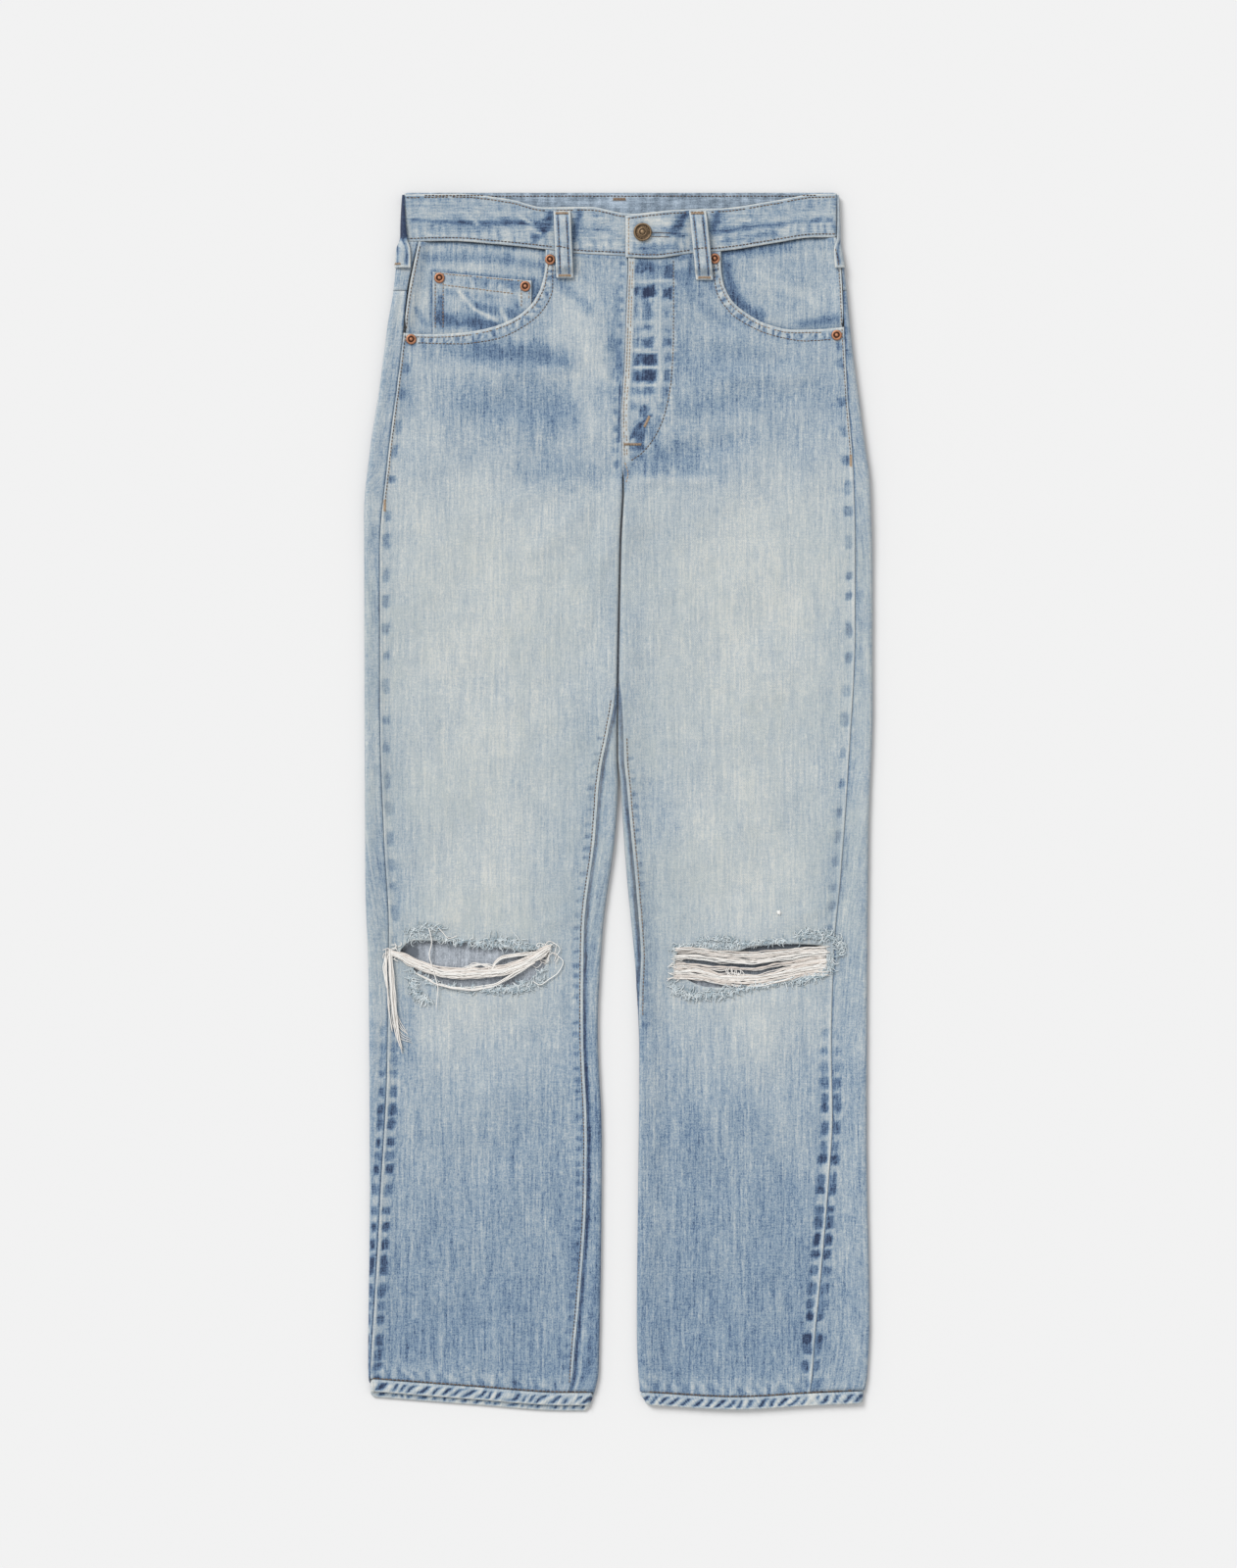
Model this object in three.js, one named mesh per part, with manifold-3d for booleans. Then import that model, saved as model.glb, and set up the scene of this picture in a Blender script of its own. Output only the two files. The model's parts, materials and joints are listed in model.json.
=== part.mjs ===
// Ripped five-pocket jeans, laid flat on their back.
// Millimetres. +Y runs to the waist, +Z is up, and the floor is z = 0. "Right" and "left" are the
// wearer's, so the right leg lies at -X. Each cloth piece is a wall about a grid of mid-surface points.
import * as THREE from 'three';
import Module from 'manifold-3d';

const wasm = await Module();
wasm.setup();

// ---------------------------------------------------------------- thicknesses and clearances
const CLOTH = 1.2; // one thickness of denim
const BAND = 2.4; // waistband, two thicknesses
const HEM = 3.0; // turned hem, three thicknesses
const LINING = 1.0; // pocket bag, coin pocket and zip tape
const LOOP = 1.8; // belt loop, folded
const GAP = 0.3; // left between pieces that are sewn together
const SEAM = 0.6; // the same along an inseam or outseam, measured round the fold it may lie on

// ---------------------------------------------------------------- lengths down the garment (Y)
const WAIST_BACK = 539.5; // top edge of the waistband behind
const WAIST_SEAM_BACK = 501; // lower edge of the waistband behind
const CROTCH = 272;
const CROTCH_CURVE = 26; // length over which the seat seam turns under between the legs
const FRONT_WARP = 440; // above this line the rows of a front bend to the waist seam
const HEM_WARP = -480; // below this line the rows of a leg bend to the hem line
const HEM_DEPTH = 11; // hem line to folded edge
const HEM_CLEAR = 0.9; // between the back and its hem, where the fold turns

// ---------------------------------------------------------------- levels (Z, mid-surface)
const SEAT_LEVEL = CLOTH + GAP + CLOTH / 2; // the seat lies on its patch pockets
const LEG_LEVEL = CLOTH / 2;
const BAND_LEVEL_BACK = CLOTH + GAP + BAND / 2;
const BAND_LEVEL_FRONT = 6.4;
const LAP_RISE = BAND + GAP; // the buttoned end lies on the other end
const FLY_RISE = 0.9;
const FOLD_REACH = 24; // the cloth falls from a fold to the flat over this distance

// ---------------------------------------------------------------- waistband
const LAP_EDGE = 6.3; // buttoned end
const UNDERLAP_END = 43;
const LAP_FLAT = 46; // the lapped end comes down to its normal level beyond this
const LAP_DOWN = 60;
const BUTTON = { x: 21.3, y: 503.5, radius: 8, shank: 2.6, cap: 3 };
const BUTTONHOLE = { from: 16, to: 40, height: 7 };

// Smooth curve through points [t, value], with no overshoot between them.
function curve(points) {
  const n = points.length;
  const slope = [];
  for (let i = 0; i < n - 1; i += 1) {
    slope.push((points[i + 1][1] - points[i][1]) / (points[i + 1][0] - points[i][0]));
  }
  const tangent = points.map((_, i) => {
    if (i === 0) return slope[0];
    if (i === n - 1) return slope[n - 2];
    if (slope[i - 1] * slope[i] <= 0) return 0;
    return (2 * slope[i - 1] * slope[i]) / (slope[i - 1] + slope[i]);
  });
  return (t) => {
    if (t <= points[0][0]) return points[0][1];
    if (t >= points[n - 1][0]) return points[n - 1][1];
    let i = 0;
    while (t > points[i + 1][0]) i += 1;
    const h = points[i + 1][0] - points[i][0];
    const u = (t - points[i][0]) / h;
    const a = (1 + 2 * u) * (1 - u) * (1 - u) * points[i][1];
    const b = u * (1 - u) * (1 - u) * h * tangent[i];
    const c = u * u * (3 - 2 * u) * points[i + 1][1];
    const d = u * u * (u - 1) * h * tangent[i + 1];
    return a + b + c + d;
  };
}

const lerp = (a, b, u) => a + (b - a) * u;
const clamp = (v, lo, hi) => Math.min(hi, Math.max(lo, v));
function smooth(from, to, v) {
  const u = clamp((v - from) / (to - from), 0, 1);
  return u * u * (3 - 2 * u);
}
const steps = (from, to, count) => Array.from({ length: count + 1 }, (_, i) => lerp(from, to, i / count));

// ---------------------------------------------------------------- outlines of the two legs
// Each side is drawn in its own frame, where x grows towards the other leg and the outer fold is at
// negative x. The left side is mirrored when its points are placed. Curves run over Y.
const RIGHT = {
  sign: 1,
  hemDrop: 4, // the back of the hem hangs this much lower than its front
  outer: curve([[-540, -219], [-500, -222], [-340, -220.5], [-160, -221.5], [-70, -224.5], [255, -225.5],
    [311, -220.2], [363, -212.3], [415, -205], [441, -199.5], [468, -197], [494, -194]]),
  inner: curve([[-540, -28.5], [-523, -21], [-505, -17.5], [-300, -14.8], [-203, -18.3], [-116, -14],
    [-28, -2.8], [15, -0.4], [41, -1.4], [224, 1.2], [CROTCH, 3.7]]),
  outseam: curve([[-520, -221], [-464, -217.5], [-407, -214], [-339, -210.5], [-241, -205.3],
    [-116, -203.6], [-33, -207.9], [84, -211.4], [224, -211.4], [294, -205.3], [384, -194],
    [448, -186.2], [496, -176.6]]),
  // where the inseam lies: distance along the section from the turn into the inner fold
  inseam: curve([[-521, -22], [-498, -20], [-453, -16], [-340, -10], [-210, -9.5], [-72, -14],
    [2, -14], [60, -4], [88, 1], [110, 3], [CROTCH, 4]]),
};
const LEFT = {
  sign: -1,
  hemDrop: 0.6,
  outer: curve([[-540, -215], [-505, -221], [-465, -222.7], [-290, -220.1], [-30, -221.9], [80, -225.3],
    [190, -225.3], [285, -222.7], [311, -219.2], [363, -212.3], [429, -203.6], [468, -199.2],
    [494, -194.3]]),
  inner: curve([[-540, -28], [-525, -19.2], [-465, -16.5], [-224, -18.4], [-159, -15.7], [-72, -7.8],
    [-28, -4.4], [15, -1.7], [41, 0.4], [224, -2.2], [CROTCH, -4.7]]),
  outseam: curve([[-521, -170.5], [-487, -173.1], [-395, -181.8], [-339, -186.2], [-281, -189.7],
    [-220, -188.8], [-127, -191.4], [-72, -196.6], [26, -203.6], [154, -209.7], [224, -209.7],
    [294, -207.9], [363, -202.7], [429, -199.2], [475, -196.6], [498, -191.4]]),
  inseam: curve([[-521, 5], [-199, 3], [-170, 1], [-126, -3], [-72, -4], [14, -2], [49, -1.5],
    [95, 1], [110, 3], [CROTCH, 4]]),
};

// Edge of the fly, from the crotch to the waist.
const flyEdge = curve([[CROTCH, 4.2], [301, 3.5], [341, 2.6], [386, 5.2], [457, 7.8], [479, 8.6],
  [520, 6.2]]);

// Waist seam and upper edge of the front of the waistband, over X.
const waistSeamRight = curve([[-190, 495.5], [-150, 496.3], [-111, 493.7], [-54, 487.6], [-40, 485.5],
  [5, 483]]);
const waistSeamLeft = curve([[9, 481.5], [31, 480.7], [63, 485], [97, 488], [139, 494.6], [173, 499.4],
  [194, 499.4]]);
const waistTopRight = curve([[-190, 537.2], [-143, 538], [-96, 533], [-66, 526], [-26, 526.5], [6, 520.7],
  [43, 519.5]]);
const waistTopLeft = curve([[6, 518], [23, 520.6], [63, 524.2], [90, 525], [139, 532], [173, 537.6],
  [194, 538]]);
const waistSeam = (x) => (x < 7 ? waistSeamRight(x) : waistSeamLeft(x));

// Hem lines of the fronts, over X.
const hemLineRight = curve([[-222, -512], [-130, -519], [-47, -524.5], [-20, -524.5]]);
const hemLineLeft = curve([[19, -524], [104, -528.5], [172, -525], [216, -523]]);

// Levels over Y: under side of the garment, radius of its folds, and middle of its upper side.
const underLevel = curve([[205, LEG_LEVEL], [250, SEAT_LEVEL], [500, SEAT_LEVEL]]);
const foldRadius = curve([[-520, 2.3], [-300, 2.6], [-140, 2.7], [100, 3], [300, 3.3], [440, 3.2],
  [500, 2.6]]);
const upperLevel = curve([[-520, 4.6], [-470, 3.4], [-140, 3.4], [60, 4], [250, 6.6], [360, 7.1],
  [500, 7]]);

// ---------------------------------------------------------------- section of one side
// Position along a section: 0 where the upper side turns into the inner fold, negative back across
// the upper side, positive round the inner fold, under the leg and round the outer fold.
function legSection(side, y, gauge = CLOTH) {
  const r = foldRadius(y) + (CLOTH - gauge) / 4;
  const low = underLevel(y) + (gauge - CLOTH) / 2;
  const xi = side.inner(y) - gauge / 2 - r;
  const xo = side.outer(y) + gauge / 2 + r;
  const width = xi - xo;
  const crest = low + 2 * r;
  const level = Math.max(upperLevel(y), low + gauge + GAP);
  const upper = (x, innerFold) => {
    const near = innerFold ? Math.min(x - xo, xi - x) : x - xo;
    const rise = 1 - smooth(0, FOLD_REACH, near);
    return lerp(level, crest, rise);
  };
  const at = (s) => {
    if (s < -width) {
      const a = (-width - s) / r;
      return [xo - r * Math.sin(a), low + r + r * Math.cos(a)];
    }
    if (s < 0) return [xi + s, upper(xi + s, true)];
    if (s < Math.PI * r) return [xi + r * Math.sin(s / r), low + r + r * Math.cos(s / r)];
    if (s < Math.PI * r + width) return [xi - (s - Math.PI * r), low];
    if (s < 2 * Math.PI * r + width) {
      const a = (s - Math.PI * r - width) / r;
      return [xo - r * Math.sin(a), low + r - r * Math.cos(a)];
    }
    const x = xo + (s - 2 * Math.PI * r - width);
    return [x, upper(x, true)];
  };
  return { r, low, xi, xo, width, upper, at };
}

// How far the row at y belongs to a leg (1) or to the hips (0).
const legShare = (y) => 1 - smooth(CROTCH, CROTCH + CROTCH_CURVE, y);

// Row of a front, from the outseam to the inseam or the fly: points [x, z] of the mid-surface.
function frontRow(side, y, across) {
  const sec = legSection(side, y);
  const outseam = -sec.width + side.outseam(y) - sec.xo + SEAM / 2;
  const inseam = side.inseam(y) - SEAM / 2;
  const turn = Math.min(-3, inseam - 3);
  const s = [...steps(outseam, turn, across), ...steps(turn, inseam, 3).slice(1)];
  const centre = side.sign * flyEdge(y) - GAP / 2;
  const leg = legShare(y);
  const [ox, oz] = sec.at(outseam);
  const droop = Math.min(0, oz - sec.upper(ox, false)); // where the outseam lies round the fold
  return s.map((v) => {
    const [lx, lz] = sec.at(v);
    if (leg === 1) return [lx, lz];
    const hx = lerp(ox, centre, (v - outseam) / (inseam - outseam));
    const onFold = 1 - smooth(0, FOLD_REACH, hx - ox);
    const rise = side === LEFT ? FLY_RISE * smooth(-55, -35, hx) : 0;
    const hz = v < -sec.width ? oz : sec.upper(hx, false) + droop * onFold + rise;
    return [lerp(hx, lx, leg), lerp(hz, lz, leg)];
  });
}

// Row of a back, from the inseam or the seat seam, under the leg and round the outer fold.
function backRow(side, y, under) {
  const sec = legSection(side, y);
  const from = side.inseam(y) + SEAM / 2;
  const innerEnd = Math.PI * sec.r;
  const first = Math.max(from + 1, 0);
  const inner = [...steps(from, first, 2), ...steps(first, innerEnd, 5).slice(1)];
  const outerStart = innerEnd + sec.width;
  const outerEnd = outerStart + Math.PI * sec.r;
  const outseam = outerEnd + side.outseam(y) - sec.xo - SEAM / 2;
  const turnOut = Math.min(outerEnd, outseam - 1);
  const outer = [...steps(outerStart, turnOut, 5), ...steps(turnOut, outseam, 2).slice(1)];
  const leg = legShare(y);
  const seat = inner.map((_, i) => [-GAP / 2 - 2 * i, sec.low]);
  const innerPoints = inner.map((s, i) => {
    const [lx, lz] = sec.at(s);
    return [lerp(seat[i][0], lx, leg), lerp(seat[i][1], lz, leg)];
  });
  const last = innerPoints[innerPoints.length - 1];
  const bottom = steps(last[0], sec.xo, under).slice(1, -1).map((x) => [x, sec.low]);
  return [...innerPoints, ...bottom, ...outer.map(sec.at)];
}

// ---------------------------------------------------------------- walls
// Normals of a grid of mid-surface points, rows along +Y and columns along the section. Upright ones
// are kept square to Y.
function normals(grid, closed, upright) {
  const columns = grid[0].length;
  return grid.map((row, j) => row.map((_, i) => {
    const left = closed ? (i + columns - 1) % columns : Math.max(i - 1, 0);
    const right = closed ? (i + 1) % columns : Math.min(i + 1, columns - 1);
    const low = grid[Math.max(j - 1, 0)][i];
    const high = grid[Math.min(j + 1, grid.length - 1)][i];
    const across = new THREE.Vector3().subVectors(row[right], row[left]);
    const along = upright ? new THREE.Vector3(0, 1, 0) : new THREE.Vector3().subVectors(high, low);
    return across.cross(along).normalize();
  }));
}

// Closed wall of one thickness about a grid. A closed grid joins its last column to its first. An
// upright wall is measured square to Y, so that a thick one doesn't cross itself inside a tight fold.
function wall(grid, thickness, { closed = false, upright = false } = {}) {
  const rows = grid.length;
  const columns = grid[0].length;
  const n = normals(grid, closed, upright);
  const positions = [];
  for (const half of [thickness / 2, -thickness / 2]) {
    for (let j = 0; j < rows; j += 1) {
      for (let i = 0; i < columns; i += 1) {
        positions.push(...grid[j][i].clone().addScaledVector(n[j][i], half).toArray());
      }
    }
  }
  const at = (face, j, i) => face * rows * columns + j * columns + (i % columns);
  const index = [];
  const quad = (a, b, c, d) => index.push(a, b, c, a, c, d);
  const spans = closed ? columns : columns - 1;
  for (let i = 0; i < spans; i += 1) {
    for (let j = 0; j < rows - 1; j += 1) {
      quad(at(0, j, i), at(0, j, i + 1), at(0, j + 1, i + 1), at(0, j + 1, i));
      quad(at(1, j, i), at(1, j + 1, i), at(1, j + 1, i + 1), at(1, j, i + 1));
    }
    quad(at(0, 0, i), at(1, 0, i), at(1, 0, i + 1), at(0, 0, i + 1));
    quad(at(0, rows - 1, i), at(0, rows - 1, i + 1), at(1, rows - 1, i + 1), at(1, rows - 1, i));
  }
  for (let j = 0; j < rows - 1 && !closed; j += 1) {
    const end = columns - 1;
    quad(at(0, j, 0), at(0, j + 1, 0), at(1, j + 1, 0), at(1, j, 0));
    quad(at(0, j, end), at(1, j, end), at(1, j + 1, end), at(0, j + 1, end));
  }
  return { positions, index };
}

// Mirrors a side's grid into its place.
const place = (side, grid) => grid.map((row) => row.map((p) => new THREE.Vector3(side.sign * p.x, p.y, p.z)));

// Prism over an outline of [x, y] points.
function prism(outline, low, high) {
  const shape = new THREE.Shape(outline.map(([x, y]) => new THREE.Vector2(x, y)));
  const geometry = new THREE.ExtrudeGeometry(shape, { depth: high - low, bevelEnabled: false, steps: 1 });
  geometry.translate(0, 0, low);
  return weld(geometry);
}

// Shared vertices and triangles of a geometry.
function weld(geometry) {
  const source = geometry.getAttribute('position');
  const order = geometry.index ? Array.from(geometry.index.array) : [...Array(source.count).keys()];
  const seen = new Map();
  const positions = [];
  const index = order.map((k) => {
    const p = [source.getX(k), source.getY(k), source.getZ(k)];
    const key = p.map((v) => Math.round(v * 1e4)).join(' ');
    if (!seen.has(key)) {
      seen.set(key, positions.length / 3);
      positions.push(...p);
    }
    return seen.get(key);
  });
  const kept = [];
  for (let k = 0; k < index.length; k += 3) {
    const [a, b, c] = index.slice(k, k + 3);
    if (a !== b && b !== c && a !== c) kept.push(a, b, c);
  }
  return { positions, index: kept };
}

function volume({ positions, index }) {
  let sum = 0;
  const p = (k) => new THREE.Vector3(...positions.slice(3 * k, 3 * k + 3));
  for (let k = 0; k < index.length; k += 3) {
    sum += p(index[k]).dot(p(index[k + 1]).cross(p(index[k + 2])));
  }
  return sum / 6;
}

function facingOut(body) {
  if (volume(body) > 0) return body;
  const index = [...body.index];
  for (let k = 0; k < index.length; k += 3) [index[k + 1], index[k + 2]] = [index[k + 2], index[k + 1]];
  return { positions: body.positions, index };
}

function cut(body, tools) {
  const solid = ({ positions, index }) => new wasm.Manifold(new wasm.Mesh({
    numProp: 3,
    vertProperties: new Float32Array(positions),
    triVerts: new Uint32Array(index),
  }));
  let result = solid(facingOut(body));
  for (const tool of tools) result = result.subtract(solid(facingOut(tool)));
  const mesh = result.getMesh();
  return { positions: Array.from(mesh.vertProperties), index: Array.from(mesh.triVerts) };
}

// ---------------------------------------------------------------- materials
function finish(color, roughness, metalness = 0) {
  return new THREE.MeshStandardMaterial({ color, roughness, metalness });
}
const denim = () => finish(0xb4c1cb, 0.9);
const cotton = () => finish(0xdcd8cf, 0.92);
const copper = () => finish(0x9a735d, 0.45, 0.9);
const bronze = () => finish(0x67543f, 0.5, 0.85);

const jeans = new THREE.Group();

function add(name, body, material) {
  const { positions, index } = facingOut(body);
  const geometry = new THREE.BufferGeometry();
  geometry.setAttribute('position', new THREE.Float32BufferAttribute(positions, 3));
  geometry.setIndex(index);
  geometry.computeVertexNormals();
  const mesh = new THREE.Mesh(geometry, material);
  mesh.name = name;
  jeans.add(mesh);
  return mesh;
}

// ---------------------------------------------------------------- fronts
const SCOOP_RIGHT = [[-64.4, 500], [-64.6, 476], [-67.9, 458], [-77.4, 439.8], [-95.7, 425.9],
  [-119.2, 418], [-142.7, 414.6], [-166.2, 413.6], [-200, 415.5], [-200, 500]];
const SCOOP_LEFT = [[90.5, 500], [90.5, 476.3], [92.2, 461.5], [99.2, 445], [114.8, 431.1],
  [131.4, 422.4], [155.7, 417.4], [210, 420.7], [210, 500]];
const TEAR_RIGHT = [[-194.5, -133], [-182, -123.4], [-158, -124], [-127, -126], [-103.5, -130],
  [-88, -131.6], [-60, -131.8], [-68, -151], [-88, -163], [-127, -166.4], [-158, -163], [-177, -153.5]];
const TEAR_LEFT = [[50, -144], [53, -132.5], [76, -131], [102, -133.5], [119, -129], [152, -126.6],
  [183.5, -129], [184.4, -141.4], [179, -153.6], [144.4, -158], [109, -165.6], [80, -164.9],
  [57, -155.3]];

const LEG_ROWS = [-505, HEM_WARP, -400, -320, -250, -190, -145, -100, -30, 50, 130, 190, 225, 250, CROTCH,
  CROTCH + 9, CROTCH + 18, CROTCH + CROTCH_CURVE, 350, 400, FRONT_WARP];
const FRONT_TOP_ROWS = [0.5, 1];

const hemLine = (side, x) => (side === RIGHT ? hemLineRight(x) : hemLineLeft(-x));

// Bends the rows of a leg below the hem warp line to the hem line.
function hemmed(side, y, x) {
  if (y >= HEM_WARP) return y;
  const part = (HEM_WARP - y) / (HEM_WARP - LEG_ROWS[0]);
  return lerp(HEM_WARP, hemLine(side, x) + GAP, part);
}

function frontGrid(side, across) {
  const grid = LEG_ROWS.map((y) => frontRow(side, y, across)
    .map(([x, z]) => new THREE.Vector3(x, hemmed(side, y, x), z)));
  for (const part of FRONT_TOP_ROWS) {
    const level = lerp(FRONT_WARP, 490, part);
    grid.push(frontRow(side, level, across).map(([x, z]) => {
      const top = waistSeam(side.sign * x) - GAP;
      return new THREE.Vector3(x, lerp(FRONT_WARP, top, part), z);
    }));
  }
  return grid;
}

for (const [side, name, scoop, tear] of [
  [RIGHT, 'right', SCOOP_RIGHT, TEAR_RIGHT],
  [LEFT, 'left', SCOOP_LEFT, TEAR_LEFT],
]) {
  const panel = wall(place(side, frontGrid(side, 9)), CLOTH);
  add(`front_panel_${name}`, cut(panel, [prism(scoop, -5, 30), prism(tear, -5, 30)]), denim());
}

// ---------------------------------------------------------------- backs and yokes
const YOKE_CENTRE = 431; // yoke seam at the seat seam
const YOKE_SIDE = 452; // yoke seam at the outseam

const yokeSeam = (x) => lerp(YOKE_CENTRE, YOKE_SIDE, clamp(-x / 190, 0, 1));

// Waist seam behind: level across the back, and at the front's height round the outer fold.
function waistSeamBehind(side, column, columns) {
  const front = waistSeam(side.sign * side.outseam(490));
  return (column < columns - 8 ? WAIST_SEAM_BACK : front) - GAP;
}

// Hem line at a point of a section: the front's line, dropped on the under side.
function hemAround(side, sec, x, z) {
  const behind = 1 - smooth(sec.low, sec.low + 2 * sec.r, z);
  return hemLine(side, x) - side.hemDrop * behind;
}

const UNDER = 6;

function backGrid(side) {
  const grid = LEG_ROWS.map((y) => {
    const sec = legSection(side, y);
    return backRow(side, y, UNDER).map(([x, z]) => {
      if (y >= HEM_WARP) return new THREE.Vector3(x, y, z);
      const part = (HEM_WARP - y) / (HEM_WARP - LEG_ROWS[0]);
      return new THREE.Vector3(x, lerp(HEM_WARP, hemAround(side, sec, x, z) + HEM_CLEAR, part), z);
    });
  });
  grid.pop();
  grid.push(backRow(side, FRONT_WARP, UNDER).map(([x, z]) => new THREE.Vector3(x, yokeSeam(x) - GAP, z)));
  return grid;
}

function yokeGrid(side) {
  return [0, 0.5, 1].map((part) => {
    const row = backRow(side, lerp(FRONT_WARP, 492, part), UNDER);
    return row.map(([x, z], i) => {
      const top = waistSeamBehind(side, i, row.length);
      return new THREE.Vector3(x, lerp(yokeSeam(x), top, part), z);
    });
  });
}

for (const [side, name] of [[RIGHT, 'right'], [LEFT, 'left']]) {
  add(`back_panel_${name}`, wall(place(side, backGrid(side)), CLOTH), denim());
  add(`yoke_${name}`, wall(place(side, yokeGrid(side)), CLOTH), denim());
}

// ---------------------------------------------------------------- hems
// Each row goes once round its own section, since the leg narrows at the inner end of the hem.
function hemGrid(side) {
  return [1, 0.5, 0].map((part) => {
    const sec = legSection(side, lerp(-526, -537, part), HEM);
    const turn = Math.PI * sec.r;
    const stops = [
      ...steps(-sec.width, 0, 7),
      ...steps(0, turn, 5).slice(1),
      ...steps(turn, turn + sec.width, 6).slice(1),
      ...steps(turn + sec.width, 2 * turn + sec.width, 5).slice(1, -1),
    ];
    return stops.map((s) => {
      const [x, z] = sec.at(s);
      return new THREE.Vector3(x, hemAround(side, sec, x, z) - HEM_DEPTH * part, z);
    });
  });
}

for (const [side, name] of [[RIGHT, 'right'], [LEFT, 'left']]) {
  add(`hem_${name}`, wall(place(side, hemGrid(side)), HEM, { closed: true, upright: true }), denim());
}

// ---------------------------------------------------------------- waistband
// One strip, from the end that lies under the button, round the wearer's right side, the back and
// the left side, to the buttoned end on top.
const BAND_RADIUS = (BAND_LEVEL_FRONT - BAND_LEVEL_BACK) / 2;
const BAND_LEFT_X = 194 - BAND / 2 - BAND_RADIUS;
const BAND_RIGHT_X = -190.5 + BAND / 2 + BAND_RADIUS;

function bandColumn(x, z, seam, top) {
  return [seam, (seam + top) / 2, top].map((y) => new THREE.Vector3(x, y, z));
}

function bandColumns() {
  const columns = [];
  for (const x of steps(UNDERLAP_END, BAND_RIGHT_X, 10)) {
    const seam = waistSeamRight(x);
    columns.push(bandColumn(x, BAND_LEVEL_FRONT, seam, waistTopRight(x)));
  }
  const middle = BAND_LEVEL_BACK + BAND_RADIUS;
  for (const a of steps(0, Math.PI, 5).slice(1, -1)) {
    const part = a / Math.PI;
    const x = BAND_RIGHT_X - BAND_RADIUS * Math.sin(a);
    const z = middle + BAND_RADIUS * Math.cos(a);
    columns.push(bandColumn(x, z, lerp(495.5, WAIST_SEAM_BACK, part), lerp(537.2, WAIST_BACK, part)));
  }
  for (const x of steps(BAND_RIGHT_X, BAND_LEFT_X, 10)) {
    columns.push(bandColumn(x, BAND_LEVEL_BACK, WAIST_SEAM_BACK, WAIST_BACK));
  }
  for (const a of steps(0, Math.PI, 5).slice(1, -1)) {
    const part = a / Math.PI;
    const x = BAND_LEFT_X + BAND_RADIUS * Math.sin(a);
    const z = middle - BAND_RADIUS * Math.cos(a);
    columns.push(bandColumn(x, z, lerp(WAIST_SEAM_BACK, 499.4, part), lerp(WAIST_BACK, 538, part)));
  }
  for (const x of [...steps(BAND_LEFT_X, LAP_DOWN, 6), ...steps(LAP_FLAT, LAP_EDGE, 3)]) {
    const rise = LAP_RISE * (1 - smooth(LAP_FLAT, LAP_DOWN, x));
    columns.push(bandColumn(x, BAND_LEVEL_FRONT + rise, waistSeamLeft(x), waistTopLeft(x)));
  }
  return columns;
}

const columns = bandColumns();
const bandGrid = [0, 1, 2].map((row) => columns.map((column) => column[row]));
const lapTop = BAND_LEVEL_FRONT + LAP_RISE + BAND / 2;
const buttonhole = prism([
  [BUTTONHOLE.from, BUTTON.y - BUTTONHOLE.height / 2],
  [BUTTONHOLE.to, BUTTON.y - BUTTONHOLE.height / 2 - 1],
  [BUTTONHOLE.to, BUTTON.y + BUTTONHOLE.height / 2 - 1],
  [BUTTONHOLE.from, BUTTON.y + BUTTONHOLE.height / 2],
], lapTop - BAND - GAP / 2, lapTop + 1);
add('waistband', cut(wall(bandGrid, BAND), [buttonhole]), denim());

// ---------------------------------------------------------------- pockets
// A piece behind a front: the front's own mid-surface between two lines, moved in.
function behindFront(side, fromX, toX, lowY, highY, depth, across, down) {
  const grid = steps(0, 1, down).map((v) => steps(0, 1, across).map((u) => {
    const x = lerp(fromX, toX, u);
    const high = highY === null ? waistSeam(side.sign * x) - GAP : highY;
    const y = lerp(lowY, high, v);
    return new THREE.Vector3(x, y, upperLevel(y) - depth);
  }));
  return place(side, grid);
}

const COIN_DEPTH = CLOTH / 2 + GAP + LINING / 2;
const FACING_DEPTH = COIN_DEPTH + LINING / 2 + GAP + CLOTH / 2;
const POCKET = { low: 386, bag: 305, rightTo: -52, leftTo: -78 };

// The facing reaches the outseam, so its outer edge follows the seam.
function facingGrid(side, toX, across, down) {
  const grid = steps(0, 1, down).map((v) => {
    const level = lerp(POCKET.low, 492, v);
    const from = Math.max(side.outseam(level) + 2, side.outer(level) + 8);
    return steps(0, 1, across).map((u) => {
      const x = lerp(from, toX, u);
      const y = lerp(POCKET.low, waistSeam(side.sign * x) - GAP, v);
      return new THREE.Vector3(x, y, upperLevel(level) - FACING_DEPTH);
    });
  });
  return place(side, grid);
}

add('pocket_facing_right', wall(facingGrid(RIGHT, POCKET.rightTo, 6, 4), CLOTH), denim());
add('pocket_facing_left', wall(facingGrid(LEFT, POCKET.leftTo, 6, 4), CLOTH), denim());
for (const [side, name, toX] of [[RIGHT, 'right', POCKET.rightTo], [LEFT, 'left', POCKET.leftTo]]) {
  const bag = behindFront(side, -182, toX - 8, POCKET.bag, POCKET.low - GAP, FACING_DEPTH, 4, 3);
  add(`pocket_bag_${name}`, wall(bag, LINING), cotton());
}

const COIN = { low: 398, left: -164.5, right: -77, topLeft: 469, topRight: 461 };
const coinGrid = steps(0, 1, 3).map((v) => steps(COIN.left, COIN.right, 4).map((x, i) => {
  const top = lerp(COIN.topLeft, COIN.topRight, i / 4);
  const y = lerp(COIN.low, top, v);
  return new THREE.Vector3(x, y, upperLevel(y) - COIN_DEPTH);
}));
add('coin_pocket', wall(coinGrid, LINING), denim());

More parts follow.
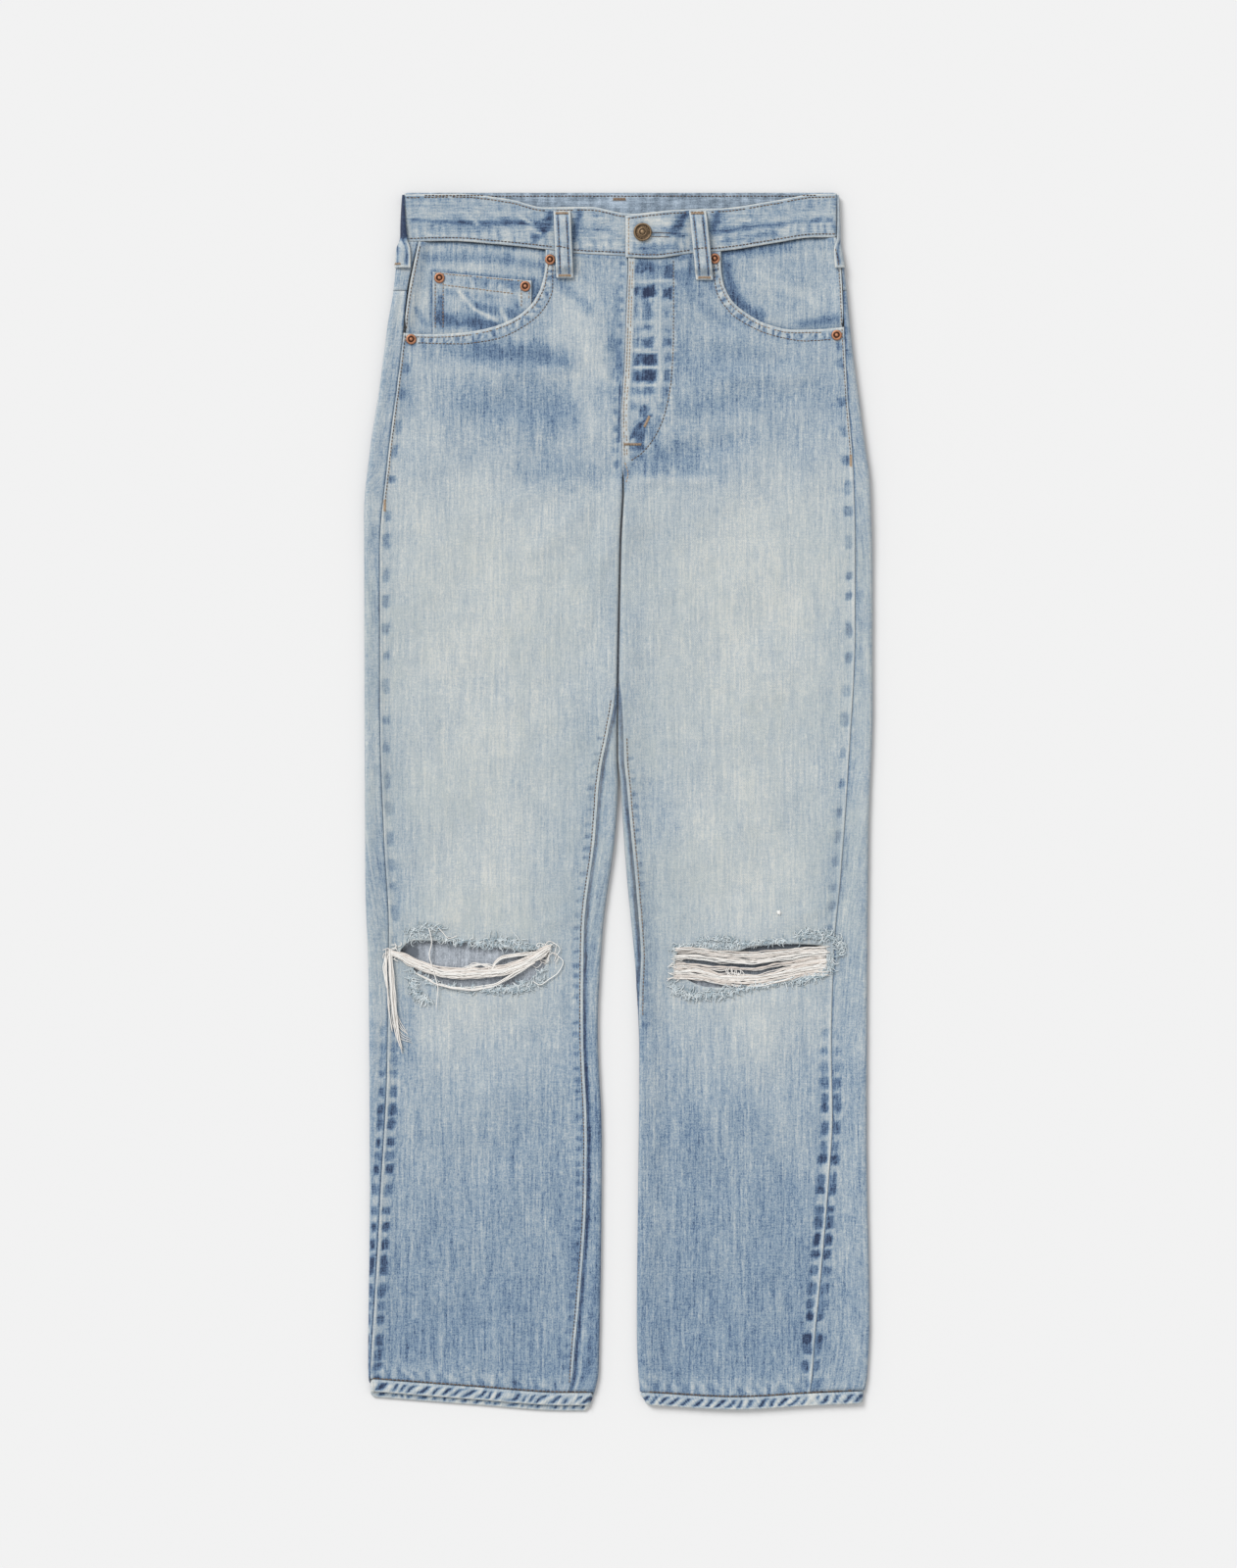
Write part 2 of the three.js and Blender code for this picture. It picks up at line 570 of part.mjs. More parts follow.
// Patch pockets on the seat, lying on the floor under the backs.
const PATCH = { top: 412, side: 278, point: 262, half: 70, taper: 8, middle: 97 };
for (const [side, name] of [[RIGHT, 'right'], [LEFT, 'left']]) {
  const middle = -side.sign * PATCH.middle;
  const outline = [
    [middle - PATCH.half, PATCH.top],
    [middle + PATCH.half, PATCH.top],
    [middle + PATCH.half - PATCH.taper, PATCH.side],
    [middle, PATCH.point],
    [middle - PATCH.half + PATCH.taper, PATCH.side],
  ];
  add(`back_pocket_${name}`, prism(outline, 0, CLOTH), denim());
}

// ---------------------------------------------------------------- fly
const FLY = { low: 345, high: 479, shieldFrom: -10, shieldTo: 44, zipFrom: -6, zipTo: 22 };
const shield = behindFront(RIGHT, FLY.shieldFrom, FLY.shieldTo, FLY.low, FLY.high, FACING_DEPTH, 2, 4);
const zip = behindFront(RIGHT, FLY.zipFrom, FLY.zipTo, FLY.low + 8, FLY.high, COIN_DEPTH, 2, 4);
add('fly_shield', wall(shield, CLOTH), denim());
add('zip', wall(zip, LINING), cotton());

// ---------------------------------------------------------------- belt loops
const LOOP_WIDTH = 14.6;
const LOOP_CLEARANCE = 4.7; // room for a belt between loop and waistband
const FRONT_TOP = BAND_LEVEL_FRONT + BAND / 2; // upper face of the waistband

// A loop on the front: a strip whose two ends lie on the cloth and whose middle stands off it.
function frontLoop(topX, topY, lowX, lowY, base) {
  const arch = [0, 0.06, 0.1, 0.14, 0.18, 0.86, 0.895, 0.93, 0.965, 1];
  const grid = arch.map((v) => {
    const stand = smooth(0.06, 0.18, v) * (1 - smooth(0.86, 0.965, v));
    const x = lerp(lowX, topX, v);
    const z = base + GAP + LOOP / 2 + (LOOP_CLEARANCE - GAP) * stand;
    return steps(-LOOP_WIDTH / 2, LOOP_WIDTH / 2, 2)
      .map((w) => new THREE.Vector3(x + w, lerp(lowY, topY, v), z));
  });
  return wall(grid, LOOP);
}

add('belt_loop_front_right', frontLoop(-50, 522.5, -47.4, 463.3, FRONT_TOP), denim());
add('belt_loop_front_left', frontLoop(70, 522.5, 76.2, 461.5, FRONT_TOP), denim());

// The loop at the middle of the back lies flat under the waistband.
const backLoop = [0, 1].map((v) => steps(-7, 7, 2)
  .map((x) => new THREE.Vector3(x, lerp(476, 538, v), CLOTH / 2)));
add('belt_loop_back', wall(backLoop, CLOTH), denim());

// A side loop goes round the fold at the end of the waistband: turned under at the top and coming
// up over the hip at its lower end. Its rows run round the fold's own section, moved out.
function sideLoop(side, centreX) {
  const clear = curve([[472, 1.9], [484, 2.4], [505, 2.8], [524, 1.4], [537, GAP]]);
  const start = curve([[472, -9], [537, 2.5]]);
  const band = { x: centreX, z: BAND_LEVEL_BACK + BAND_RADIUS, r: BAND_RADIUS + BAND / 2 };
  const grid = [472, 480, 488, 496, 508, 520, 530, 537].map((y) => {
    const sec = legSection(side, Math.min(y, 494));
    const part = smooth(488, 501, y);
    const x = lerp(sec.xo, band.x, part);
    const z = lerp(sec.low + sec.r, band.z, part);
    const r = lerp(sec.r + CLOTH / 2, band.r, part) + clear(y) + CLOTH / 2;
    const round = steps(start(y), start(y) + LOOP_WIDTH, 6).map((s) => {
      if (s < 0) return [x - s, z + r];
      if (s > Math.PI * r) return [x + s - Math.PI * r, z - r];
      return [x - r * Math.sin(s / r), z + r * Math.cos(s / r)];
    });
    return round.reverse().map(([px, pz]) => new THREE.Vector3(px, y, Math.max(CLOTH / 2, pz)));
  });
  return wall(place(side, grid), CLOTH);
}

add('belt_loop_side_right', sideLoop(RIGHT, BAND_RIGHT_X), denim());
add('belt_loop_side_left', sideLoop(LEFT, -BAND_LEFT_X), denim());

// ---------------------------------------------------------------- button and rivets
function turned(profile, segments, x, y, z) {
  const lathe = new THREE.LatheGeometry(profile.map(([r, h]) => new THREE.Vector2(r, h)), segments);
  lathe.rotateX(Math.PI / 2);
  lathe.translate(x, y, z);
  return weld(lathe);
}

const shankFoot = BAND_LEVEL_FRONT + BAND / 2 + GAP;
const capFoot = lapTop + GAP - shankFoot;
const buttonProfile = [
  [0, 0],
  [BUTTON.shank, 0],
  [BUTTON.shank, capFoot],
  [BUTTON.radius, capFoot],
  [BUTTON.radius, capFoot + BUTTON.cap * 0.55],
  [BUTTON.radius * 0.84, capFoot + BUTTON.cap],
  [BUTTON.radius * 0.7, capFoot + BUTTON.cap * 0.75],
  [BUTTON.radius * 0.3, capFoot + BUTTON.cap * 0.75],
  [0, capFoot + BUTTON.cap],
];
add('waist_button', turned(buttonProfile, 20, BUTTON.x, BUTTON.y, shankFoot), bronze());

// A rivet stands on a face of the front, square to it: depth is the face's distance below the
// front's mid-surface.
const RIVET_RADIUS = 4.6;
const rivetProfile = [[0, 0], [RIVET_RADIUS, 0], [RIVET_RADIUS, 0.7], [3.4, 1.3], [2.1, 1], [1.4, 1.9],
  [0, 2.1]];
function rivet(side, x, y, depth) {
  const level = (px, py) => legSection(side, py).upper(px, false);
  const reach = RIVET_RADIUS;
  const slopeX = (level(x + reach, y) - level(x - reach, y)) / (2 * reach);
  const normal = new THREE.Vector3(-slopeX * side.sign, 0, 1).normalize();
  const lathe = new THREE.LatheGeometry(rivetProfile.map(([r, h]) => new THREE.Vector2(r, h)), 12);
  const turn = new THREE.Quaternion().setFromUnitVectors(new THREE.Vector3(0, 1, 0), normal);
  lathe.applyQuaternion(turn);
  const foot = new THREE.Vector3(side.sign * x, y, level(x, y));
  foot.addScaledVector(normal, -depth + GAP);
  lathe.translate(foot.x, foot.y, foot.z);
  return weld(lathe);
}

const ON_FRONT = -CLOTH / 2 - 0.15;
const ON_COIN_POCKET = COIN_DEPTH - LINING / 2;
const RIVETS = [
  [RIGHT, -60.5, 479.6, ON_FRONT],
  [RIGHT, -183.6, 409, ON_FRONT],
  [LEFT, -85.2, 480.4, ON_FRONT],
  [LEFT, -193.2, 412.5, ON_FRONT],
  [RIGHT, -158.6, 463.6, ON_COIN_POCKET],
  [RIGHT, -82.6, 456.2, ON_COIN_POCKET],
];
RIVETS.forEach(([side, x, y, depth], i) => {
  add(`rivet_${i + 1}`, rivet(side, x, y, depth), copper());
});

export default jeans;
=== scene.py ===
"""The looks of a pair of ripped jeans laid flat on their back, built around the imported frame.

Lengths below are millimetres and are scaled to metres where a mesh is made. +Y runs to the waist, +Z up
out of the front. "Right" and "left" are the wearer's, so the right leg lies at -X. Every cloth piece is
a thin shell about a grid of mid-surface points that follows its solid in the frame.
"""
import json
import math
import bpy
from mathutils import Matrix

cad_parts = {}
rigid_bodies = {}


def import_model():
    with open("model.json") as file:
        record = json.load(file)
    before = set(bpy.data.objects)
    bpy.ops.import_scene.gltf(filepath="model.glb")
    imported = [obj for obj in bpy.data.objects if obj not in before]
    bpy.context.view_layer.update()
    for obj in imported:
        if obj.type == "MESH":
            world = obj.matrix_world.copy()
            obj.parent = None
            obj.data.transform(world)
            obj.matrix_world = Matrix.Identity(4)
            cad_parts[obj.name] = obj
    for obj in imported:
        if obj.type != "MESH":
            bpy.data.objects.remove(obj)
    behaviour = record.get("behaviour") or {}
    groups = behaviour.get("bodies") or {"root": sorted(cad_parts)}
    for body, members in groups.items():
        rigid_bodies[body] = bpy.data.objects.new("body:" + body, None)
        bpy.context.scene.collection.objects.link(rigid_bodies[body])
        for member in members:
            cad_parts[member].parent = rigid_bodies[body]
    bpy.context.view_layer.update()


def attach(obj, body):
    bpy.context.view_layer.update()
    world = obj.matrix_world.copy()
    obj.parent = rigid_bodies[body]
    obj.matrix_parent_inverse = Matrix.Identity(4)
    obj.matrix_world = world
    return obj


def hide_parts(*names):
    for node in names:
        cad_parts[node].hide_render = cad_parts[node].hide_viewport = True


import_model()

from types import SimpleNamespace

import bpy
import numpy as np
from mathutils import Vector
from mathutils.bvhtree import BVHTree

MM = 0.001
ROOT = "root"

# ------------------------------------------------------------------ sizes shared with the frame
CLOTH = 1.2
BAND = 2.4
HEM = 3.0
LINING = 1.0
LOOP = 1.8
GAP = 0.3
SEAM = 0.3
WAIST_BACK = 539.5
WAIST_SEAM_BACK = 501.0
CROTCH = 272.0
CROTCH_CURVE = 26.0
FRONT_WARP = 440.0
HEM_WARP = -480.0
LOWEST_ROW = -505.0
HEM_DEPTH = 11.0
SEAT_LEVEL = CLOTH + GAP + CLOTH / 2
LEG_LEVEL = CLOTH / 2
BAND_LEVEL_BACK = CLOTH + GAP + BAND / 2
BAND_LEVEL_FRONT = 6.4
BAND_RADIUS = (BAND_LEVEL_FRONT - BAND_LEVEL_BACK) / 2
BAND_RIGHT_X = -190.5 + BAND / 2 + BAND_RADIUS
BAND_LEFT_X = 194 - BAND / 2 - BAND_RADIUS
LAP_RISE = BAND + GAP
FLY_RISE = 0.9
FOLD_REACH = 24.0
LAP_EDGE, UNDERLAP_END, LAP_FLAT, LAP_DOWN = 6.3, 43.0, 46.0, 60.0
BUTTON_X, BUTTON_Y = 21.3, 503.5


# ------------------------------------------------------------------ small mathematics
class Curve:
    """Smooth curve through (t, value) points, with no overshoot between them."""

    def __init__(self, *points):
        self.t = np.array([p[0] for p in points], float)
        self.v = np.array([p[1] for p in points], float)
        slope = np.diff(self.v) / np.diff(self.t)
        self.m = np.zeros_like(self.v)
        self.m[0], self.m[-1] = slope[0], slope[-1]
        same = slope[:-1] * slope[1:] > 0
        both = slope[:-1] + slope[1:]
        self.m[1:-1][same] = (2 * slope[:-1] * slope[1:])[same] / both[same]

    def __call__(self, t):
        t = np.clip(np.asarray(t, float), self.t[0], self.t[-1])
        i = np.clip(np.searchsorted(self.t, t) - 1, 0, len(self.t) - 2)
        h = self.t[i + 1] - self.t[i]
        u = (t - self.t[i]) / h
        return ((1 + 2 * u) * (1 - u) ** 2 * self.v[i] + u * (1 - u) ** 2 * h * self.m[i]
                + u * u * (3 - 2 * u) * self.v[i + 1] + u * u * (u - 1) * h * self.m[i + 1])


def lerp(a, b, u):
    return a + (b - a) * u


def smooth(a, b, v):
    u = np.clip((np.asarray(v, float) - a) / (b - a), 0, 1)
    return u * u * (3 - 2 * u)


def bell(distance, width):
    return np.exp(-(np.asarray(distance) / width) ** 2)


def ripple(x, y, size, seed, across=1.0):
    """Smooth unevenness from -1 to 1, about `size` mm long. across > 1 squeezes it along x."""
    draw = np.random.default_rng(seed)
    total = np.zeros(np.broadcast(x, y).shape)
    for _ in range(7):
        a, phase = draw.uniform(0, math.tau, 2)
        k = math.tau / (size * draw.uniform(0.8, 1.7))
        total = total + np.sin(k * (across * x * math.cos(a) + y * math.sin(a)) + phase)
    return total / 3.2


def beside(x, y, x0, y0, x1, y1):
    """Distance from a segment, and how far along it the nearest point is."""
    dx, dy = x1 - x0, y1 - y0
    u = np.clip(((x - x0) * dx + (y - y0) * dy) / (dx * dx + dy * dy), 0, 1)
    return np.hypot(x - x0 - u * dx, y - y0 - u * dy), u


def outline_distance(x, y, outline, closed=True):
    """Distance from a polyline, and the nearest point on it."""
    best = np.full(x.shape, 1e9)
    near_x, near_y = np.zeros(x.shape), np.zeros(x.shape)
    ends = list(zip(outline, outline[1:] + outline[:1])) if closed else list(zip(outline, outline[1:]))
    for (x0, y0), (x1, y1) in ends:
        d, u = beside(x, y, x0, y0, x1, y1)
        closer = d < best
        best = np.where(closer, d, best)
        near_x = np.where(closer, lerp(x0, x1, u), near_x)
        near_y = np.where(closer, lerp(y0, y1, u), near_y)
    return best, near_x, near_y


def outline_run(x, y, outline):
    """Distance from an open polyline, and how far along it the nearest point is."""
    best, along, total = np.full(x.shape, 1e9), np.zeros(x.shape), 0.0
    for (x0, y0), (x1, y1) in zip(outline, outline[1:]):
        length = math.hypot(x1 - x0, y1 - y0)
        d, u = beside(x, y, x0, y0, x1, y1)
        along = np.where(d < best, total + u * length, along)
        best = np.minimum(d, best)
        total += length
    return best, along


def inside(x, y, outline):
    result = np.zeros(x.shape, bool)
    for (x0, y0), (x1, y1) in zip(outline, outline[1:] + outline[:1]):
        if y0 == y1:
            continue
        crosses = (y0 > y) != (y1 > y)
        result ^= crosses & (x < (x1 - x0) * (y - y0) / (y1 - y0) + x0)
    return result


def resampled(path, step):
    """Points at an even spacing along a smooth path through given points."""
    path = np.array(path, float)
    t = np.concatenate([[0], np.cumsum(np.linalg.norm(np.diff(path, axis=0), axis=1))])
    fine = np.linspace(0, t[-1], max(int(t[-1] / 0.5), 8))
    curves = [Curve(*zip(t, path[:, k]))(fine) for k in range(path.shape[1])]
    points = np.stack(curves, axis=1)
    run = np.concatenate([[0], np.cumsum(np.linalg.norm(np.diff(points, axis=0), axis=1))])
    at = np.linspace(0, run[-1], max(int(round(run[-1] / step)), 1) + 1)
    return np.stack([np.interp(at, run, points[:, k]) for k in range(path.shape[1])], axis=1)


# ------------------------------------------------------------------ outlines of the two legs
# Each side is drawn in its own frame, where x grows towards the other leg and the outer fold is at
# negative x. The left side is mirrored when its points are placed. Curves run over Y.
RIGHT = SimpleNamespace(
    name="right", sign=1, hem_drop=5.5,
    outer=Curve((-540, -219), (-500, -222), (-340, -220.5), (-160, -221.5), (-70, -224.5), (255, -225.5),
                (311, -220.2), (363, -212.3), (415, -205), (441, -199.5), (468, -197), (494, -194)),
    inner=Curve((-540, -28.5), (-523, -21), (-505, -17.5), (-300, -14.8), (-203, -18.3), (-116, -14),
                (-28, -2.8), (15, -0.4), (41, -1.4), (224, 1.2), (CROTCH, 3.7)),
    outseam=Curve((-520, -221), (-464, -217.5), (-407, -214), (-339, -210.5), (-241, -205.3),
                  (-116, -203.6), (-33, -207.9), (84, -211.4), (224, -211.4), (294, -205.3), (384, -194),
                  (448, -186.2), (496, -176.6)),
    inseam=Curve((-521, -22), (-498, -20), (-453, -16), (-340, -10), (-210, -9.5), (-72, -14),
                 (2, -14), (60, -4), (88, 1), (110, 3), (CROTCH, 4)))
LEFT = SimpleNamespace(
    name="left", sign=-1, hem_drop=0.6,
    outer=Curve((-540, -215), (-505, -221), (-465, -222.7), (-290, -220.1), (-30, -221.9), (80, -225.3),
                (190, -225.3), (285, -222.7), (311, -219.2), (363, -212.3), (429, -203.6), (468, -199.2),
                (494, -194.3)),
    inner=Curve((-540, -28), (-525, -19.2), (-465, -16.5), (-224, -18.4), (-159, -15.7), (-72, -7.8),
                (-28, -4.4), (15, -1.7), (41, 0.4), (224, -2.2), (CROTCH, -4.7)),
    outseam=Curve((-521, -170.5), (-487, -173.1), (-395, -181.8), (-339, -186.2), (-281, -189.7),
                  (-220, -188.8), (-127, -191.4), (-72, -196.6), (26, -203.6), (154, -209.7),
                  (224, -209.7), (294, -207.9), (363, -202.7), (429, -199.2), (475, -196.6), (498, -191.4)),
    inseam=Curve((-521, 5), (-199, 3), (-170, 1), (-126, -3), (-72, -4), (14, -2), (49, -1.5),
                 (95, 1), (110, 3), (CROTCH, 4)))
SIDES = (RIGHT, LEFT)

fly_edge = Curve((CROTCH, 4.2), (301, 3.5), (341, 2.6), (386, 5.2), (457, 7.8), (479, 8.6), (520, 6.2))
seam_right = Curve((-190, 495.5), (-150, 496.3), (-111, 493.7), (-54, 487.6), (-40, 485.5), (5, 483))
seam_left = Curve((9, 481.5), (31, 480.7), (63, 485), (97, 488), (139, 494.6), (173, 499.4), (194, 499.4))
top_right = Curve((-190, 537.2), (-143, 538), (-96, 533), (-66, 526), (-26, 526.5), (6, 520.7), (43, 519.5))
top_left = Curve((6, 518), (23, 520.6), (63, 524.2), (90, 525), (139, 532), (173, 537.6), (194, 538))
hem_right = Curve((-222, -512), (-130, -519), (-47, -524.5), (-20, -524.5))
hem_left = Curve((19, -524), (104, -528.5), (172, -525), (216, -523))
under_level = Curve((205, LEG_LEVEL), (250, SEAT_LEVEL), (500, SEAT_LEVEL))
fold_radius = Curve((-520, 2.3), (-300, 2.6), (-140, 2.7), (100, 3), (300, 3.3), (440, 3.2), (500, 2.6))
upper_level = Curve((-520, 4.6), (-470, 3.4), (-140, 3.4), (60, 4), (250, 6.6), (360, 7.1), (500, 7))


def waist_seam(x):
    return np.where(x < 7, seam_right(x), seam_left(x))


def hem_line(side, x):
    return hem_right(x) if side is RIGHT else hem_left(-x)


SCOOP = {
    "right": [(-64.4, 500), (-64.6, 476), (-67.9, 458), (-77.4, 439.8), (-95.7, 425.9), (-119.2, 418),
              (-142.7, 414.6), (-166.2, 413.6), (-182, 414), (-200, 415.5)],
    "left": [(90.5, 500), (90.5, 476.3), (92.2, 461.5), (99.2, 445), (114.8, 431.1), (131.4, 422.4),
             (155.7, 417.4), (180, 418), (210, 420.7)],
}
TEAR = {
    "right": [(-194.5, -133), (-182, -123.4), (-158, -124), (-127, -126), (-103.5, -130), (-88, -131.6),
              (-60, -131.8), (-68, -151), (-88, -163), (-127, -166.4), (-158, -163), (-177, -153.5)],
    "left": [(50, -144), (53, -132.5), (76, -131), (102, -133.5), (119, -129), (152, -126.6),
             (183.5, -129), (184.4, -141.4), (179, -153.6), (144.4, -158), (109, -165.6), (80, -164.9),
             (57, -155.3)],
}


def rounded(outline, step=2.0):
    return [tuple(p) for p in resampled(outline, step)]


# ------------------------------------------------------------------ section of one side
def section(side, y, gauge=CLOTH, centre=None):
    """The flattened tube of one side at each y, as columns. With a centre it is open at the inside."""
    y = np.asarray(y, float)
    r = fold_radius(y) + (CLOTH - gauge) / 4
    low = under_level(y) + (gauge - CLOTH) / 2
    xi = side.inner(y) - gauge / 2 - r if centre is None else centre
    xo = side.outer(y) + gauge / 2 + r
    return SimpleNamespace(r=r, low=low, xi=xi, xo=xo, width=xi - xo, crest=low + 2 * r,
                           level=np.maximum(upper_level(y), low + gauge + GAP), open=centre is not None)


def upper(sec, x):
    near = x - sec.xo if sec.open else np.minimum(x - sec.xo, sec.xi - x)
    return lerp(sec.level, sec.crest, 1 - smooth(0, FOLD_REACH, near))


def section_at(sec, s):
    """Points of the section: s = 0 where the upper side turns into the inner fold, growing round it."""
    r, low, xi, xo, width = sec.r, sec.low, sec.xi, sec.xo, sec.width
    turn = math.pi * r
    a_outer = np.clip((-width - s) / r, 0, math.pi)
    a_inner = np.clip(s / r, 0, math.pi)
    a_back = np.clip((s - turn - width) / r, 0, math.pi)
    x_top = xi + s
    x_last = xo + (s - 2 * turn - width)
    x = np.select(
        [s < -width, s < 0, s < turn, s < turn + width, s < 2 * turn + width],
        [xo - r * np.sin(a_outer), x_top, xi + r * np.sin(a_inner), xi - (s - turn), xo - r * np.sin(a_back)],
        x_last)
    z = np.select(
        [s < -width, s < 0, s < turn, s < turn + width, s < 2 * turn + width],
        [low + r + r * np.cos(a_outer), upper(sec, x_top), low + r + r * np.cos(a_inner),
         low + 0 * s, low + r - r * np.cos(a_back)],
        upper(sec, x_last))
    return x, z


def spread(*stops):
    """Fractions along a row: (end, count) stretches of evenly spaced columns, each end an array."""
    parts = [np.asarray(stops[0], float)[..., None]]
    for end, count in stops[1:]:
        start = parts[-1][..., -1:]
        u = np.arange(1, count + 1) / count
        parts.append(start + (np.asarray(end)[..., None] - start) * u)
    return np.concatenate(parts, axis=-1)


def as_column(sec):
    """The same section with its arrays stood up as columns, to meet distances laid out in rows."""
    return SimpleNamespace(**{key: value[:, None] if isinstance(value, np.ndarray) else value
                              for key, value in vars(sec).items()})


def front_rows(side, y, across):
    """Mid-surface of a front at each level y: x, z and the distance s across, in the side's frame."""
    y = np.asarray(y, float)
    sec = section(side, y)
    outseam = -sec.width + side.outseam(y) - sec.xo + SEAM / 2
    inseam = side.inseam(y) - SEAM / 2
    turn = np.minimum(-3, inseam - 3)
    s = spread(outseam, (outseam + 5, 5), (turn, across), (inseam, 6))
    column = as_column(sec)
    leg_x, leg_z = section_at(column, s)
    centre = side.sign * fly_edge(y) - GAP / 2
    hips = section(side, y, centre=centre)
    part = (s - outseam[:, None]) / (inseam - outseam)[:, None]
    start = -hips.width + side.outseam(y) - hips.xo + SEAM / 2
    hip_s = start[:, None] * (1 - part)
    column = as_column(hips)
    hip_x, hip_z = section_at(column, hip_s)
    if side is LEFT:
        hip_z = hip_z + FLY_RISE * smooth(-55, -35, hip_x)
    leg = (1 - smooth(CROTCH, CROTCH + CROTCH_CURVE, y))[:, None]
    return lerp(hip_x, leg_x, leg), lerp(hip_z, leg_z, leg), s


INNER_STRIP, FOLD_STEPS, UNDER_STEPS, OUTER_STRIP = 12, 9, 40, 12


def back_rows(side, y):
    """Mid-surface of a back: from the inseam or the seat seam, under the leg, round the outer fold."""
    y = np.asarray(y, float)
    sec = section(side, y)
    turn = math.pi * sec.r
    begin = side.inseam(y) + SEAM / 2
    first = np.maximum(begin + 1, 0)
    outer_start = turn + sec.width
    outer_end = outer_start + turn
    outseam = outer_end + side.outseam(y) - sec.xo - SEAM / 2
    turn_out = np.minimum(outer_end, outseam - 1)
    s = spread(begin, (first, INNER_STRIP), (turn, FOLD_STEPS), (outer_start, UNDER_STEPS),
               (turn_out, FOLD_STEPS), (outseam, OUTER_STRIP))
    column = as_column(sec)
    x, z = section_at(column, s)
    leg = (1 - smooth(CROTCH, CROTCH + CROTCH_CURVE, y))[:, None]
    inner = INNER_STRIP + FOLD_STEPS + 1
    seat_x = np.broadcast_to(-GAP / 2 - 14 * np.arange(inner) / (inner - 1), x[:, :inner].shape)
    x[:, :inner] = lerp(seat_x, x[:, :inner], leg)
    z[:, :inner] = lerp(sec.low[:, None], z[:, :inner], leg)
    under = slice(inner - 1, inner + UNDER_STEPS)
    begin_x = x[:, inner - 1:inner]
    x[:, under] = begin_x + (sec.xo[:, None] - begin_x) * np.linspace(0, 1, UNDER_STEPS + 1)
    return x, z, s


def hem_around(side, sec, x, z):
    behind = 1 - smooth(sec.low, sec.low + 2 * sec.r, z)
    return hem_line(side, x) - side.hem_drop * behind


# ------------------------------------------------------------------ how washed the cloth is, and where shade is painted into it
# 0 is the indigo left in the low places, 1 the bleached tops of ridges. In the places marked below the same
# map also carries painted shade.
centre_wash = Curve((-520, 0.46), (-480, 0.42), (-400, 0.47), (-360, 0.50), (-320, 0.55), (-280, 0.60),
                    (-240, 0.72), (-200, 0.83), (-150, 0.92), (-80, 0.89), (0, 0.86), (120, 0.88),
                    (200, 0.90), (240, 0.86), (280, 0.80), (320, 0.67), (360, 0.60), (420, 0.62), (500, 0.62))
edge_wash = Curve((-520, 0.42), (-400, 0.47), (-300, 0.55), (-200, 0.60), (-80, 0.60), (40, 0.68),
                  (160, 0.77), (260, 0.76), (320, 0.68), (380, 0.58), (500, 0.58))

# Strokes (x0, y0, x1, y1, half width at each end, wash, strength): the fades across the lap, and some painted
# shade.
# The dark strokes from (-56, 465), (52, 482) and (64, 470) are painted shade below and beside the feet of the
# two front loops.
WHISKERS_AND_LOOP_SHADE = [
    (-150, 400, -118, 399, 5, 7, 0.34, 0.7), (-122, 396, -48, 390, 10, 9, 0.26, 0.85),
    (-112, 399, -66, 397, 6, 7, 0.20, 0.4),
    (-190, 383, -50, 379, 5, 6, 0.80, 0.45), (-178, 370, -100, 366, 6, 7, 0.58, 0.75),
    (-132, 352, -36, 345, 13, 14, 0.40, 0.8), (-192, 360, -160, 345, 6, 6, 0.50, 0.7),
    (-149, 320, -134, 305, 7, 7, 0.56, 0.65), (-82, 322, -48, 298, 8, 9, 0.52, 0.7),
    (-50, 302, -6, 288, 9, 6, 0.62, 0.6), (-36, 438, -24, 384, 15, 13, 0.88, 0.7),
    (-58, 462, -52, 408, 7, 10, 0.82, 0.5), (-56, 465, -27, 436, 4, 5, 0.30, 0.7),
    (-4, 452, -1, 424, 3, 3, 0.40, 0.6), (-4, 408, 2, 380, 4, 3, 0.20, 0.75),
    (-30, 404, -8, 372, 3, 3, 0.92, 0.5), (-100, 470, -70, 470, 4, 4, 0.5, 0.6),
    (-20, 478, -2, 470, 4, 4, 0.55, 0.5), (-180, 395, -170, 330, 5, 7, 0.80, 0.5),
    (52, 397, 118, 391, 11, 9, 0.42, 0.85), (118, 391, 162, 386, 8, 6, 0.52, 0.7),
    (90, 382, 196, 383, 6, 5, 0.70, 0.35), (58, 384, 92, 378, 9, 9, 0.40, 0.6),
    (90, 376, 126, 374, 8, 8, 0.46, 0.5), (-84, 374, -60, 340, 13, 13, 0.36, 0.5),
    (-34, 374, -24, 330, 8, 8, 0.86, 0.7), (-200, 326, -150, 314, 10, 10, 0.84, 0.5),
    (24, 328, 44, 312, 8, 9, 0.26, 0.65), (-84, 292, -22, 290, 10, 10, 0.36, 0.45),
    (56, 292, 88, 290, 10, 10, 0.36, 0.45), (30, -210, 32, -480, 15, 15, 0.62, 0.26),
    (-70, -320, -68, -492, 16, 16, 0.60, 0.24), (148, -350, 150, -410, 16, 16, 0.22, 0.30),
    (-190, -180, -186, -226, 9, 9, 0.30, 0.4), (59, 348, 128, 358, 9, 8, 0.43, 0.85),
    (128, 358, 180, 366, 8, 6, 0.52, 0.75), (168, 357, 199, 347, 7, 6, 0.53, 0.7),
    (17, 296, 60, 306, 14, 12, 0.36, 0.85), (60, 306, 120, 322, 10, 6, 0.50, 0.7),
    (12, 284, 84, 284, 3, 3, 0.86, 0.6), (52, 482, 66, 448, 9, 8, 0.24, 0.85),
    (78, 436, 96, 422, 5, 5, 0.36, 0.75), (60, 438, 80, 404, 12, 10, 0.52, 0.6),
    (64, 470, 78, 462, 6, 7, 0.22, 0.7), (44, 470, 58, 476, 3, 3, 0.84, 0.5),
]

